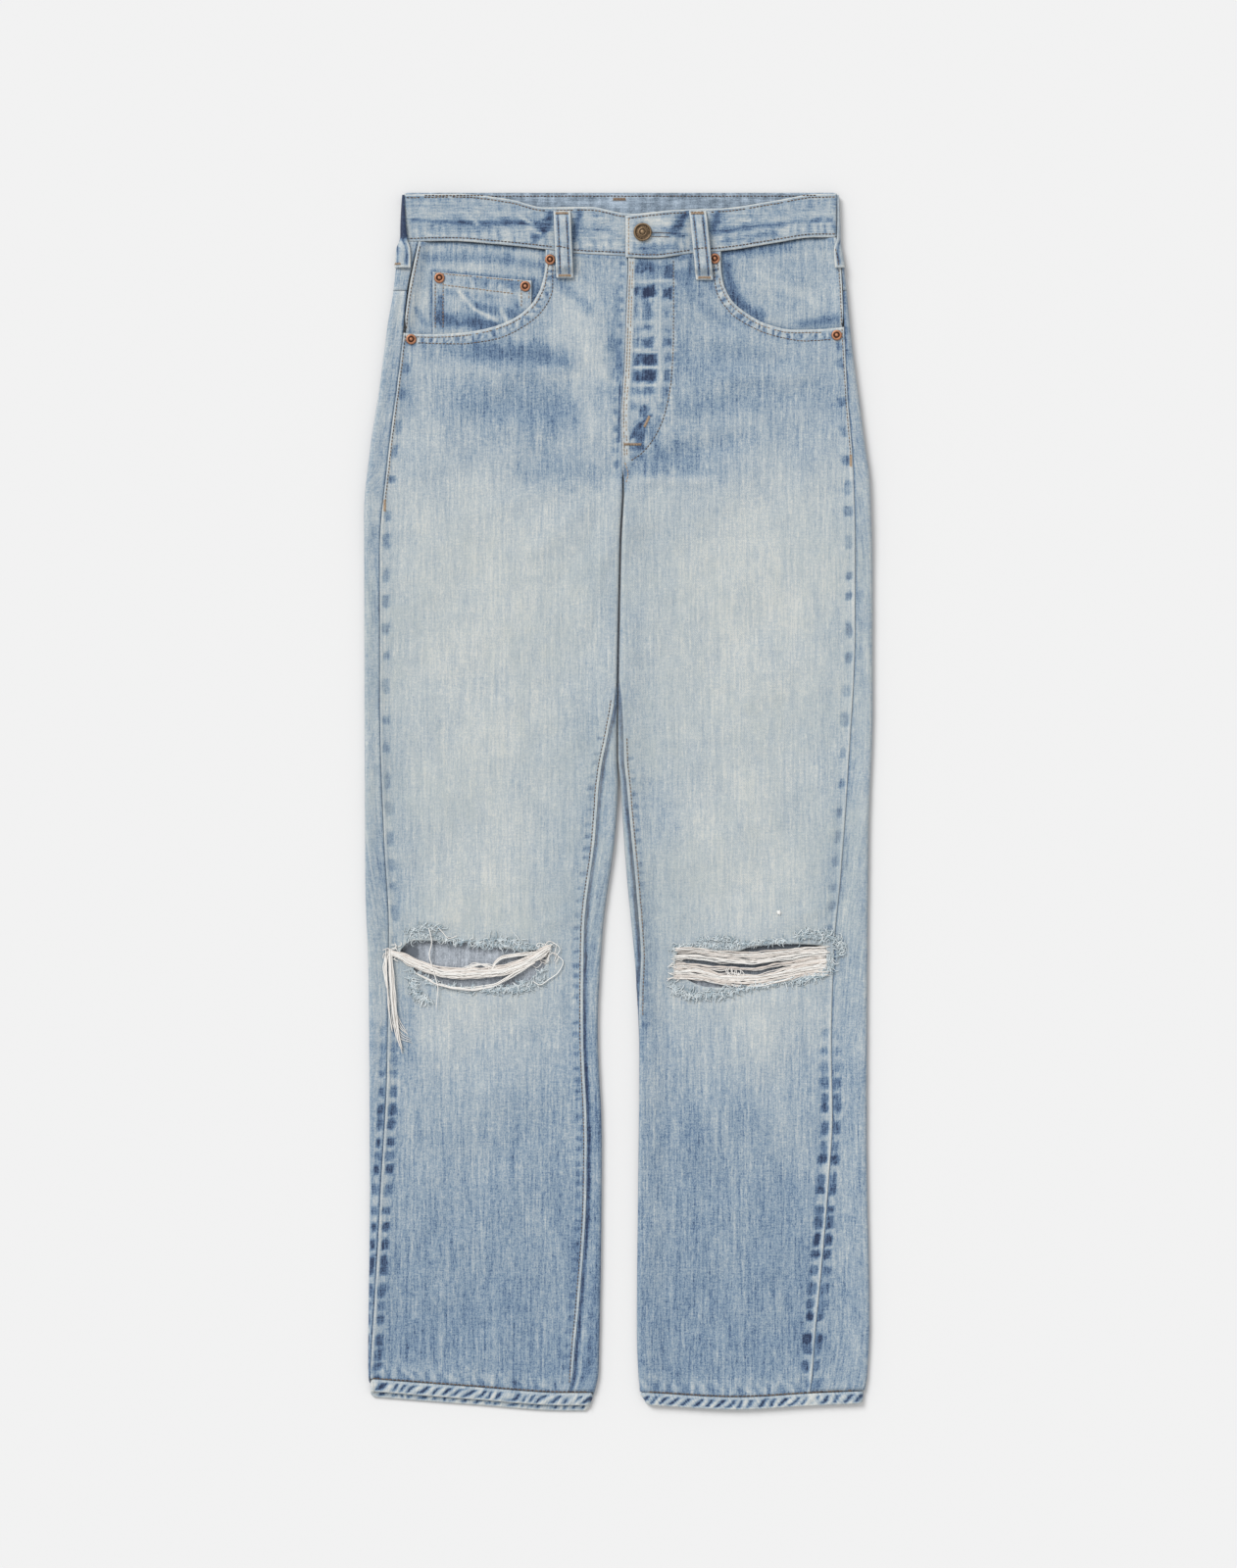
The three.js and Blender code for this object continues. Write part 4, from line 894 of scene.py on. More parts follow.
def denim(name, inner=(166, 173, 182)):
    """Bleached indigo twill: warp slubs run down the cloth, and a point attribute sets the indigo left by the
    wash, with painted shade in places.
    """
    material, tree, bsdf = node_material(name)
    n = Nodes(tree)
    cloth = n.attribute("cloth", "Vector")
    wash = n.attribute("wash")
    tint = n.attribute("tint")
    reverse = n.new("ShaderNodeSeparateXYZ")
    n.link(cloth, reverse.inputs[0])
    reverse = reverse.outputs["Z"]
    slub_fine = n.noise(n.scaled(cloth, (0.50, 0.026, 0)), 3.0, 0.62)
    slub_wide = n.noise(n.scaled(cloth, (0.20, 0.008, 0), (40, 7, 0)), 2.0, 0.5)
    slub_short = n.noise(n.scaled(cloth, (0.62, 0.15, 0), (11, 90, 0)), 2.0, 0.6)
    weft = n.noise(n.scaled(cloth, (0.13, 0.62, 0), (3, 5, 0)), 2.0, 0.6)
    grain = n.noise(n.scaled(cloth, (0.85, 0.7, 0), (9, 2, 0)), 2.0, 0.75)
    cloudy = n.noise(n.scaled(cloth, (0.030, 0.012, 0), (70, 31, 0)), 3.0, 0.55)
    streaks = n.math("ADD", n.centred(slub_fine, SLUB_GAIN), n.centred(slub_wide, SLUB_GAIN * 0.45))
    streaks = n.math("ADD", streaks, n.centred(slub_short, SLUB_GAIN * 0.8))
    streaks = n.math("ADD", streaks, n.centred(weft, SLUB_GAIN * 0.5))
    streaks = n.math("ADD", streaks, n.centred(grain, SLUB_GAIN * 1.15))
    # mid tones show the slubs most, bleached and dark cloth less
    from_mid = n.math("ABSOLUTE", n.math("SUBTRACT", wash, 0.5))
    middle = n.math("SUBTRACT", 1.15, n.math("MULTIPLY", from_mid, 1.15))
    value = n.math("ADD", wash, n.math("MULTIPLY", streaks, middle))
    value = n.math("ADD", value, n.centred(cloudy, 0.12))
    colour = n.ramp(value, DENIM_RAMP)
    stain_spots = n.math("MULTIPLY", tint, n.noise(n.scaled(cloth, (0.09, 0.05, 0), (5, 60, 0)), 3.0, 0.6))
    colour = n.mix(n.math("MULTIPLY", stain_spots, 0.75, clamp=True), colour, (*linear((183, 191, 188)), 1))
    # twill: diagonal wales, only as relief and the least shade
    twill = n.new("ShaderNodeTexWave", wave_type="BANDS", bands_direction="DIAGONAL", wave_profile="SIN")
    twill.inputs["Scale"].default_value = 1.0
    twill.inputs["Distortion"].default_value = 1.2
    twill.inputs["Detail"].default_value = 1.0
    n.link(n.scaled(cloth, (0.42, 0.30, 0)), twill.inputs["Vector"])
    back = n.math("ADD", n.math("ADD", wash, -0.12), n.math("MULTIPLY", streaks, 1.2))
    back = n.ramp(back, [(0.0, tuple(c - 62 for c in inner)), (0.5, inner),
                         (1.0, tuple(c + 46 for c in inner))])
    colour = n.mix(n.math("GREATER_THAN", reverse, 0.5), colour, back)
    n.link(colour, bsdf.inputs["Base Color"])
    n.link(n.math("MULTIPLY_ADD", grain, 0.14, 0.80), bsdf.inputs["Roughness"])
    bsdf.inputs["Specular IOR Level"].default_value = 0.25
    bsdf.inputs["Sheen Weight"].default_value = 0.12
    bsdf.inputs["Sheen Roughness"].default_value = 0.6
    height = n.math("ADD", n.math("MULTIPLY", slub_fine, 0.9), n.math("MULTIPLY", slub_short, 0.8))
    height = n.math("ADD", height, n.math("MULTIPLY", grain, 0.7))
    height = n.math("ADD", height, n.math("MULTIPLY", twill.outputs["Fac"], 0.25))
    n.link(n.bump(height, 0.00045, 0.75), bsdf.inputs["Normal"])
    return material


def thread_material(name, dark, light):
    """Cotton thread, its shade picked by the same point attribute as the denim's, with a twisted-ply relief.
    """
    material, tree, bsdf = node_material(name)
    n = Nodes(tree)
    shade = n.attribute("wash")
    place = n.new("ShaderNodeTexCoord").outputs["Object"]
    fuzz = n.noise(n.scaled(place, (900, 900, 900)), 2.0, 0.6)
    colour = n.ramp(n.math("ADD", shade, n.centred(fuzz, 0.35)), [(0.0, dark), (1.0, light)])
    n.link(colour, bsdf.inputs["Base Color"])
    n.link(n.math("MULTIPLY_ADD", fuzz, 0.2, 0.7), bsdf.inputs["Roughness"])
    bsdf.inputs["Specular IOR Level"].default_value = 0.2
    bsdf.inputs["Sheen Weight"].default_value = 0.2
    n.link(n.bump(fuzz, 0.0003, 0.5), bsdf.inputs["Normal"])
    return material


def metal(name, dark, light, roughness):
    """Old metal: polished on its high rings, dark where nothing rubs it."""
    material, tree, bsdf = node_material(name)
    n = Nodes(tree)
    place = n.new("ShaderNodeTexCoord").outputs["Object"]
    spots = n.noise(n.scaled(place, (420, 420, 420)), 3.0, 0.65)
    scratches = n.noise(n.scaled(place, (1500, 300, 300), (0.3, 0.2, 0)), 2.0, 0.6)
    wear = n.attribute("wash")
    value = n.math("ADD", wear, n.centred(spots, 0.9))
    value = n.math("ADD", value, n.centred(scratches, 0.4))
    n.link(n.ramp(value, [(0.1, dark), (0.9, light)]), bsdf.inputs["Base Color"])
    bsdf.inputs["Metallic"].default_value = 0.85
    n.link(n.math("MULTIPLY_ADD", spots, 0.25, roughness - 0.1), bsdf.inputs["Roughness"])
    n.link(n.bump(n.math("ADD", spots, scratches), 0.0002, 0.5), bsdf.inputs["Normal"])
    return material


def cotton_material():
    material, tree, bsdf = node_material("pocketing_cotton")
    n = Nodes(tree)
    cloth = n.attribute("cloth", "Vector")
    weave = n.noise(n.scaled(cloth, (1.3, 1.3, 0)), 2.0, 0.6)
    folds = n.noise(n.scaled(cloth, (0.06, 0.06, 0)), 2.0, 0.5)
    value = n.math("ADD", n.math("MULTIPLY", weave, 0.5), n.math("MULTIPLY", folds, 0.5))
    n.link(n.ramp(value, [(0.2, (196, 191, 178)), (0.8, (226, 223, 214))]), bsdf.inputs["Base Color"])
    n.link(n.math("MULTIPLY_ADD", weave, 0.1, 0.85), bsdf.inputs["Roughness"])
    n.link(n.bump(weave, 0.0003, 0.6), bsdf.inputs["Normal"])
    return material


DENIM = denim("washed_denim")
TRIM = denim("washed_denim_trim", inner=(146, 162, 178))
THREAD = thread_material("topstitch_thread", (78, 62, 56), (200, 172, 142))
WEFT = thread_material("loose_weft", (228, 216, 206), (255, 254, 250))
FRAY = thread_material("frayed_warp", (138, 164, 178), (240, 246, 247))
COPPER = metal("rivet_copper", (70, 42, 30), (196, 140, 108), 0.5)
BRONZE = metal("button_bronze", (54, 42, 32), (150, 126, 98), 0.48)
COTTON = cotton_material()


# ------------------------------------------------------------------ fronts
FRONT_STEP = 2.25


def cloth_map(grid, side_shift=0.0):
    """Cloth coordinates: warp along v, and u measured round the row so that slubs run over the folds."""
    run = np.concatenate([np.zeros((grid.shape[0], 1)),
                          np.cumsum(np.linalg.norm(np.diff(grid[..., ::2], axis=1), axis=2), axis=1)], axis=1)
    middle = grid.shape[1] // 2
    u = run - run[:, middle:middle + 1] + grid[:, middle:middle + 1, 0]
    return np.stack([u + side_shift, grid[..., 1]], axis=2)


def bent_to_hem(y, level, hem):
    part = np.clip((HEM_WARP - level) / (HEM_WARP - LOWEST_ROW), 0, 1)
    return np.where(level < HEM_WARP, lerp(HEM_WARP, hem, part), y)


def narrowed(side, x, y, level):
    """Carries a row's places across the leg over to the leg's outline at the height it was moved to."""
    u = (x - side.outer(level)) / (side.inner(level) - side.outer(level))
    return np.where(level < HEM_WARP, lerp(side.outer(y), side.inner(y), u), x)


def front_mid(side):
    low = np.linspace(LOWEST_ROW, HEM_WARP, 20)[:-1]
    leg = np.arange(HEM_WARP, FRONT_WARP, FRONT_STEP)
    part = np.linspace(0, 1, 24)
    levels = np.concatenate([low, leg, lerp(FRONT_WARP, 490, part)])
    x, z, _ = front_rows(side, levels, 88)
    level = np.broadcast_to(levels[:, None], x.shape)
    y = bent_to_hem(level, level, hem_line(side, x) + GAP)
    up = np.clip((level - FRONT_WARP) / (490 - FRONT_WARP), 0, 1)
    y = np.where(level > FRONT_WARP, lerp(FRONT_WARP, waist_seam(side.sign * x) - GAP, up), y)
    return np.stack([narrowed(side, x, y, level), y, z], axis=2)


def cells_outside(mid, sign, outlines):
    middle = (mid[1:, 1:] + mid[:-1, :-1] + mid[1:, :-1] + mid[:-1, 1:]) / 4
    keep = np.ones(middle.shape[:2], bool)
    for outline in outlines:
        keep &= ~inside(middle[..., 0] * sign, middle[..., 1], outline)
    return keep


def make_front(side):
    mid = front_mid(side)
    x, y = mid[..., 0] * side.sign, mid[..., 1]
    run = distance_across(mid)
    inward_out, inward_in = run, run[:, -1:] - run
    wash = front_wash_and_shade(side, x, y, inward_out, inward_in)
    cloth = cloth_map(mid, 0 if side is RIGHT else 900)
    h = front_relief(side, x, y, inward_out, inward_in)
    mid = mid + normals(mid) * h[..., None]
    mid[..., 2] = np.maximum(mid[..., 2], CLOTH / 2)
    scoop = rounded(SCOOP[side.name])
    far = -side.sign * 240
    hole = scoop + [(far, scoop[-1][1]), (far, 520), (scoop[0][0], 520)]
    tear = rounded(TEAR[side.name] + TEAR[side.name][:1])
    keep = cells_outside(mid, side.sign, [hole, tear])
    piece = shell(f"front_{side.name}", mid, CLOTH, DENIM, wash, cloth, stain(x, y), keep, (scoop, tear),
                  side)
    declare(piece, f"front_panel_{side.name}")
    return piece


# ------------------------------------------------------------------ backs and yokes
YOKE_CENTRE, YOKE_SIDE = 431.0, 452.0


def yoke_seam(x):
    return lerp(YOKE_CENTRE, YOKE_SIDE, np.clip(-x / 190, 0, 1))


def back_wash(side, x, y, z, run):
    """The backs: a bleached seat and calves, worn hems, and the same seam wear where they show on top."""
    lx = x * side.sign
    base = Curve((-530, 0.44), (-400, 0.52), (-200, 0.60), (0, 0.66), (150, 0.72), (280, 0.78), (360, 0.84),
                 (440, 0.78), (500, 0.66))(y)
    across = np.clip((lx - side.outer(y)) / (side.inner(y) - side.outer(y)), 0, 1)
    seat = base - 0.16 * np.abs(2 * across - 1) ** 2
    knee = bell(y + 120, 60) * 0.10
    top_side = z > under_level(y) + fold_radius(y)
    band = Curve((-520, 0.50), (-300, 0.54), (-150, 0.60), (100, 0.66), (300, 0.66), (450, 0.6))(y)
    if side is LEFT:
        band = band + 0.02
    inner_band = Curve((-520, 0.34), (-300, 0.38), (-200, 0.42), (-90, 0.50), (0, 0.60), (100, 0.70))(y)
    wash = np.where(top_side & (run > run[:, -1:] * 0.5), band, np.where(top_side, inner_band, seat + knee))
    wash = wash + 0.05 * ripple(x, y, 40, 31) + 0.035 * ripple(x, y, 12, 32)
    if side is RIGHT:
        wash = lerp(wash, 0.86, 0.8 * bell(x + 193, 7) * smooth(405, 430, y) * top_side)
    seed = 120 if side is RIGHT else 140
    from_out, from_in = run[:, -1:] - run, run
    low = smooth(-150, -190, y)
    wash = lerp(wash, 0.78, 0.5 * bell(from_out - 4.0, 4.0) * low)
    wash = dashes(wash, y, from_out, -516, -196, 14.2, 4.4, 10.5, 5.6, 0.02, 1.0,
                  21 if side is RIGHT else 41, (-200, -300))
    wash = dashes(wash, y, from_out, -112, 420, 27, 4.5, 10, 5, 0.42, 0.5, seed + 1)
    wash = lerp(wash, 0.10, 0.8 * bell(from_out - 0.4, 1.0))
    below_crotch = smooth(CROTCH, CROTCH - 25, y)
    wash = lerp(wash, 0.0, 0.95 * bell(from_in - 1.6, 1.7) * below_crotch)
    wash = lerp(wash, 0.70, 0.5 * bell(from_in - 5.5, 1.8) * below_crotch)
    return wash


# Painted shade on the inner face of the backs, seen through the tears: dark corners at their ends and dark
# lines under their edges and behind the loose wefts.
TEAR_SHADE = {
    "right": [(-193, -138, -183, -134, 6, -0.35, 0.95), (-80, -130, -68, -134, 5, -0.35, 0.95),
              (-180, -125, -100, -130, 4, 0.25, 0.6), (-170, -160, -90, -158, 5, 0.30, 0.5)],
    "left": [(54, -130, 184, -128, 6, -0.25, 0.8), (56, -146, 170, -146, 9, -0.15, 0.75)],
}


def back_levels(step):
    low = np.linspace(LOWEST_ROW, HEM_WARP, int(44 / step))[:-1]
    leg = np.arange(HEM_WARP, 400, step)
    top = np.linspace(400, FRONT_WARP, int(38 / step))
    return np.concatenate([low, leg, top])


def make_back(side):
    levels = back_levels(3.0)
    x, z, _ = back_rows(side, levels)
    sec = section(side, levels)
    sec = SimpleNamespace(low=sec.low[:, None], r=sec.r[:, None])
    level = np.broadcast_to(levels[:, None], x.shape)
    y = bent_to_hem(level, level, hem_around(side, sec, x, z) + 0.9)
    part = np.clip((level - 400) / (FRONT_WARP - 400), 0, 1)
    y = np.where(level > 400, lerp(400, yoke_seam(x) - GAP, part), y)
    x = narrowed(side, x, y, level)
    mid = np.stack([x, y, z], axis=2)
    run = distance_across(mid)
    wx = x * side.sign
    wash = back_wash(side, wx, y, z, run)
    cloth = cloth_map(mid, 1700 if side is RIGHT else 2600)
    on_top = smooth(0, 1.5, z - sec.low - sec.r)
    from_out = run[:, -1:] - run
    h = on_top * (0.12 * ripple(wx, y, 12, 41) + 0.35 * bell(from_out - 1.5, 1.5) - 0.3 * bell(from_out, 0.8))
    h = h + on_top * dashes(np.zeros_like(y), y, from_out, -516, -196, 14.2, 4.4, 10.5, 6, -0.5, 0.9,
                            21 if side is RIGHT else 41)
    h = h + on_top * (0.4 * bell(run - 2.5, 1.6) - 0.3 * bell(run, 0.8))
    mid = mid + normals(mid) * h[..., None]
    mid[..., 2] = np.maximum(mid[..., 2], CLOTH / 2)
    # Inner face of the back, seen through the tears: a plain tone, with the painted shade of the table above
    # laid on.
    within = 0.66 + 0.06 * ripple(wx, y, 12, 43)
    for x0, y0, x1, y1, width, shade, strength in TEAR_SHADE[side.name]:
        within = lerp(within, shade, strength * bell(beside(wx, y, x0, y0, x1, y1)[0], width))
    piece = shell(f"back_{side.name}", mid, CLOTH, DENIM, wash, cloth, stain(wx, y), side=side,
                  inner_wash_and_shade=within)
    declare(piece, f"back_panel_{side.name}")
    return piece


def make_yoke(side):
    part = np.linspace(0, 1, 22)
    x, z, _ = back_rows(side, lerp(FRONT_WARP, 492, part))
    columns = x.shape[1]
    fold_start = INNER_STRIP + FOLD_STEPS + UNDER_STEPS
    u = np.clip((np.arange(columns) - (fold_start - UNDER_STEPS / 6)) / (UNDER_STEPS / 6), 0, 1)
    top = lerp(WAIST_SEAM_BACK, float(waist_seam(side.sign * side.outseam(490))), u) - GAP
    y = lerp(yoke_seam(x), top[None, :], part[:, None])
    mid = np.stack([x, y, z], axis=2)
    wx = x * side.sign
    wash = 0.62 + 0.06 * ripple(wx, y, 30, 51) + 0.04 * ripple(wx, y, 10, 52)
    steps = np.linalg.norm(np.diff(mid, axis=1), axis=2)
    from_out = steps.sum(axis=1)[:, None] - distance_across(mid)
    wash = lerp(wash, 0.25, 0.7 * bell(from_out - 0.6, 1.0))
    wash = lerp(wash, 0.90, 0.6 * bell(y - yoke_seam(x) - 1.2, 1.2))
    piece = shell(f"yoke_{side.name}_cloth", mid, CLOTH, DENIM, wash, cloth_map(mid, 3300), side=side)
    declare(piece, f"yoke_{side.name}")
    return piece


# ------------------------------------------------------------------ hems
def make_hem(side):
    """Turned edge, twisted by its chain stitch into slanting ropes."""
    part = np.concatenate([np.linspace(0, 0.25, 5), np.linspace(0.25, 0.85, 7)[1:],
                           np.linspace(0.85, 1, 5)[1:]])
    part = part[::-1]
    sec = section(side, lerp(-526, -537, part), gauge=HEM)
    turn = math.pi * sec.r
    s = spread(-sec.width, (0 * sec.width, 92), (turn, 8), (turn + sec.width, 70),
               (2 * turn + sec.width, 8))[:, :-1]
    column = as_column(sec)
    x, z = section_at(column, s)
    y = hem_around(side, column, x, z) - HEM_DEPTH * part[:, None]
    mid = np.stack([x, y, z], axis=2)
    across = np.roll(mid, -1, axis=1) - np.roll(mid, 1, axis=1)
    n = np.stack([-across[..., 2], 0 * across[..., 0], across[..., 0]], axis=2)
    n = n / np.linalg.norm(n, axis=2, keepdims=True)
    down = part[:, None] * HEM_DEPTH
    wx = x * side.sign
    on_top = z > column.low + column.r
    slant = wx + 0.9 * down
    rope = np.sin(slant * math.tau / 9.6 + 1.9 * ripple(wx, y, 30, 55)) * (0.9 + 0.2 * ripple(wx, y, 15, 58))
    body = smooth(0, 2.5, down) * smooth(HEM_DEPTH, HEM_DEPTH - 1.4, down)
    out = lerp(0.45, 1.5, smooth(0, 1.8, down)) * (1 - 0.75 * smooth(HEM_DEPTH - 1.3, HEM_DEPTH, down) ** 2)
    out = out + body * (0.42 * rope + 0.14 * ripple(wx, y, 6, 56))
    inn = 1.5 * (1 - 0.7 * smooth(HEM_DEPTH - 1.3, HEM_DEPTH, down) ** 2) + 0.25 * body * rope * (1 - on_top)
    centre = mid + n * ((out - inn) / 2)[..., None]
    wash = 0.58 + 0.14 * ripple(wx, y, 11, 57) + 0.36 * rope * smooth(1.0, 3.4, down)
    # Painted shade in the hollows between the ropes, darkened to the deepest indigo.
    rope_shade = np.clip(-1.25 * rope - 0.15, 0, 1) * smooth(1.4, 3, down) * smooth(HEM_DEPTH, 9.3, down)
    wash = lerp(wash, 0.0, rope_shade)
    wash = lerp(wash, 0.97, 0.8 * smooth(HEM_DEPTH - 2.6, HEM_DEPTH - 0.8, down))
    wash = lerp(wash, 0.88, 0.4 * bell(down - 1.2, 1.0))
    seam_at = side.sign * side.outseam(-515)
    wash = lerp(wash, 0.97, 0.85 * smooth(5.5, 3.5, np.abs(wx - seam_at)) * on_top)
    seam_in = side.sign * (side.inner(-515) + side.inseam(-515))
    wash = lerp(wash, 0.95, 0.7 * smooth(5, 3.2, np.abs(wx - seam_in)) * on_top)
    run = np.broadcast_to(s, x.shape)
    cloth = np.stack([run, y], axis=2)
    # the two skins are set square to Y, so the shell is given the finished centre and its own normals
    piece = ring(f"hem_{side.name}_cloth", centre, n, (out + inn) / 2, TRIM, wash, cloth, side)
    declare(piece, f"hem_{side.name}")
    return piece


def ring(name, centre, n, half, material, wash, cloth, side):
    """Closed shell round a leg, with the two skins set along given normals."""
    rows, cols = centre.shape[:2]
    outer, inner = centre + n * half[..., None], centre - n * half[..., None]
    outer[..., 2] = np.maximum(outer[..., 2], 0.0)
    verts = np.concatenate([outer.reshape(-1, 3), inner.reshape(-1, 3)]) * np.array([side.sign, 1, 1.0])
    index = np.arange(rows * cols).reshape(rows, cols)
    below = rows * cols
    nxt = np.roll(index, -1, axis=1)
    a, b, c, d = index[:-1], nxt[:-1], nxt[1:], index[1:]
    flat = [v.ravel() for v in (a, b, c, d)]
    quads = [np.stack(flat, 1), np.stack([flat[0], flat[3], flat[2], flat[1]], 1) + below]
    quads.append(np.stack([index[0] + below, nxt[0] + below, nxt[0], index[0]], 1))
    quads.append(np.stack([index[-1], nxt[-1], nxt[-1] + below, index[-1] + below], 1))
    quads = np.concatenate(quads)
    if side.sign < 0:
        quads = quads[:, ::-1]
    flat_cloth = np.concatenate([cloth, np.zeros((rows, cols, 1))], 2).reshape(-1, 3)
    both = np.clip(wash, 0, 1.05).ravel()
    values = {"wash": np.concatenate([both, both]), "tint": np.zeros(2 * below),
              "cloth": np.concatenate([flat_cloth, flat_cloth])}
    piece = new_mesh(name, verts, quads, values, material)
    closed = np.concatenate([centre, centre[:, :1]], axis=1)
    width, length = run_lengths(closed)
    piece["cut"] = [float(width), float(length), float(cell_areas(closed).sum())]
    return piece


# ------------------------------------------------------------------ waistband
def band_path():
    """Columns of the waistband from the buttoned end round to the end that lies under it."""
    parts = []

    def stretch(x, z, seam, top):
        parts.append(np.stack([x, z + 0 * x, seam + 0 * x, top + 0 * x], axis=1))

    x = np.concatenate([np.linspace(LAP_EDGE, LAP_FLAT, 22), np.linspace(LAP_FLAT, LAP_DOWN, 10)[1:],
                        np.linspace(LAP_DOWN, BAND_LEFT_X, 66)[1:]])
    stretch(x, BAND_LEVEL_FRONT + LAP_RISE * (1 - smooth(LAP_FLAT, LAP_DOWN, x)), seam_left(x), top_left(x))
    middle = BAND_LEVEL_BACK + BAND_RADIUS
    part = np.linspace(1, 0, 10)[1:-1]
    a = part * math.pi
    stretch(BAND_LEFT_X + BAND_RADIUS * np.sin(a), middle - BAND_RADIUS * np.cos(a),
            lerp(WAIST_SEAM_BACK, 499.4, part), lerp(WAIST_BACK, 538.0, part))
    stretch(np.linspace(BAND_LEFT_X, BAND_RIGHT_X, 150), BAND_LEVEL_BACK, WAIST_SEAM_BACK, WAIST_BACK)
    stretch(BAND_RIGHT_X - BAND_RADIUS * np.sin(a), middle + BAND_RADIUS * np.cos(a),
            lerp(495.5, WAIST_SEAM_BACK, part), lerp(537.2, WAIST_BACK, part))
    x = np.linspace(BAND_RIGHT_X, UNDERLAP_END, 112)
    stretch(x, BAND_LEVEL_FRONT, seam_right(x), top_right(x))
    return np.concatenate(parts)


# Strokes (x0, y0, x1, y1, half width at each end, wash, strength) on the front of the waistband. The dark
# ones on either side of each front loop are partly indigo left unfaded there and partly painted shadow of the
# loops.
BAND_STROKES = [
    (-72, 500, -60, 519, 5, 5, 0.06, 0.95), (-40, 498, -35, 521, 4, 4, 0.12, 0.9),
    (52, 507, 60, 523, 5, 4.5, 0.05, 0.95), (44, 500, 58, 501, 3, 3, 0.16, 0.8),
    (84, 506, 88, 522, 4.5, 4, 0.08, 0.9), (-182, 514, -140, 512, 2.6, 3, 0.20, 0.9),
    (-140, 512, -100, 512, 3, 3.4, 0.10, 0.95), (-100, 513, -62, 511, 3.4, 4.5, 0.12, 0.95),
    (-168, 505, -120, 506, 2.5, 2.5, 0.36, 0.7), (86, 504, 112, 508, 3, 3, 0.14, 0.9),
    (112, 508, 146, 511, 3, 3, 0.16, 0.85), (150, 513, 166, 514, 2.4, 2.4, 0.26, 0.7),
    (171, 514, 178, 515, 2.2, 2.2, 0.14, 0.85), (186, 515, 189, 515, 1.6, 1.6, 0.14, 0.85),
    (92, 496, 112, 499, 2, 2, 0.20, 0.7), (120, 500, 140, 503, 2.5, 2.5, 0.24, 0.75),
    (-182, 528, -130, 527, 3, 3, 0.50, 0.4),
    (104, 520, 180, 527, 3, 4, 0.50, 0.4), (20, 489, 30, 488, 5, 5, 0.22, 0.8),
    (34, 488, 48, 491, 3, 4, 0.30, 0.8), (40, 507, 48, 505, 2.4, 2.4, 0.10, 0.8),
    (-22, 510, 2, 500, 2.4, 2.4, 0.40, 0.6), (-30, 506, -8, 508, 2.4, 2.4, 0.30, 0.6),
    (-134, 520, -124, 510, 1.4, 1.0, 0.95, 0.7), (-90, 520, -76, 511, 1.2, 1.4, 0.97, 0.8),
    (-80, 508, -70, 503, 1.6, 1.6, 0.95, 0.8), (26, 515, 42, 511, 5, 4, 0.97, 0.85),
    (30, 501, 48, 497, 2.6, 2.6, 0.92, 0.6), (98, 516, 116, 514, 1.2, 1.2, 0.94, 0.7),
    (8, 512, 9, 486, 3, 3, 0.95, 0.7)]


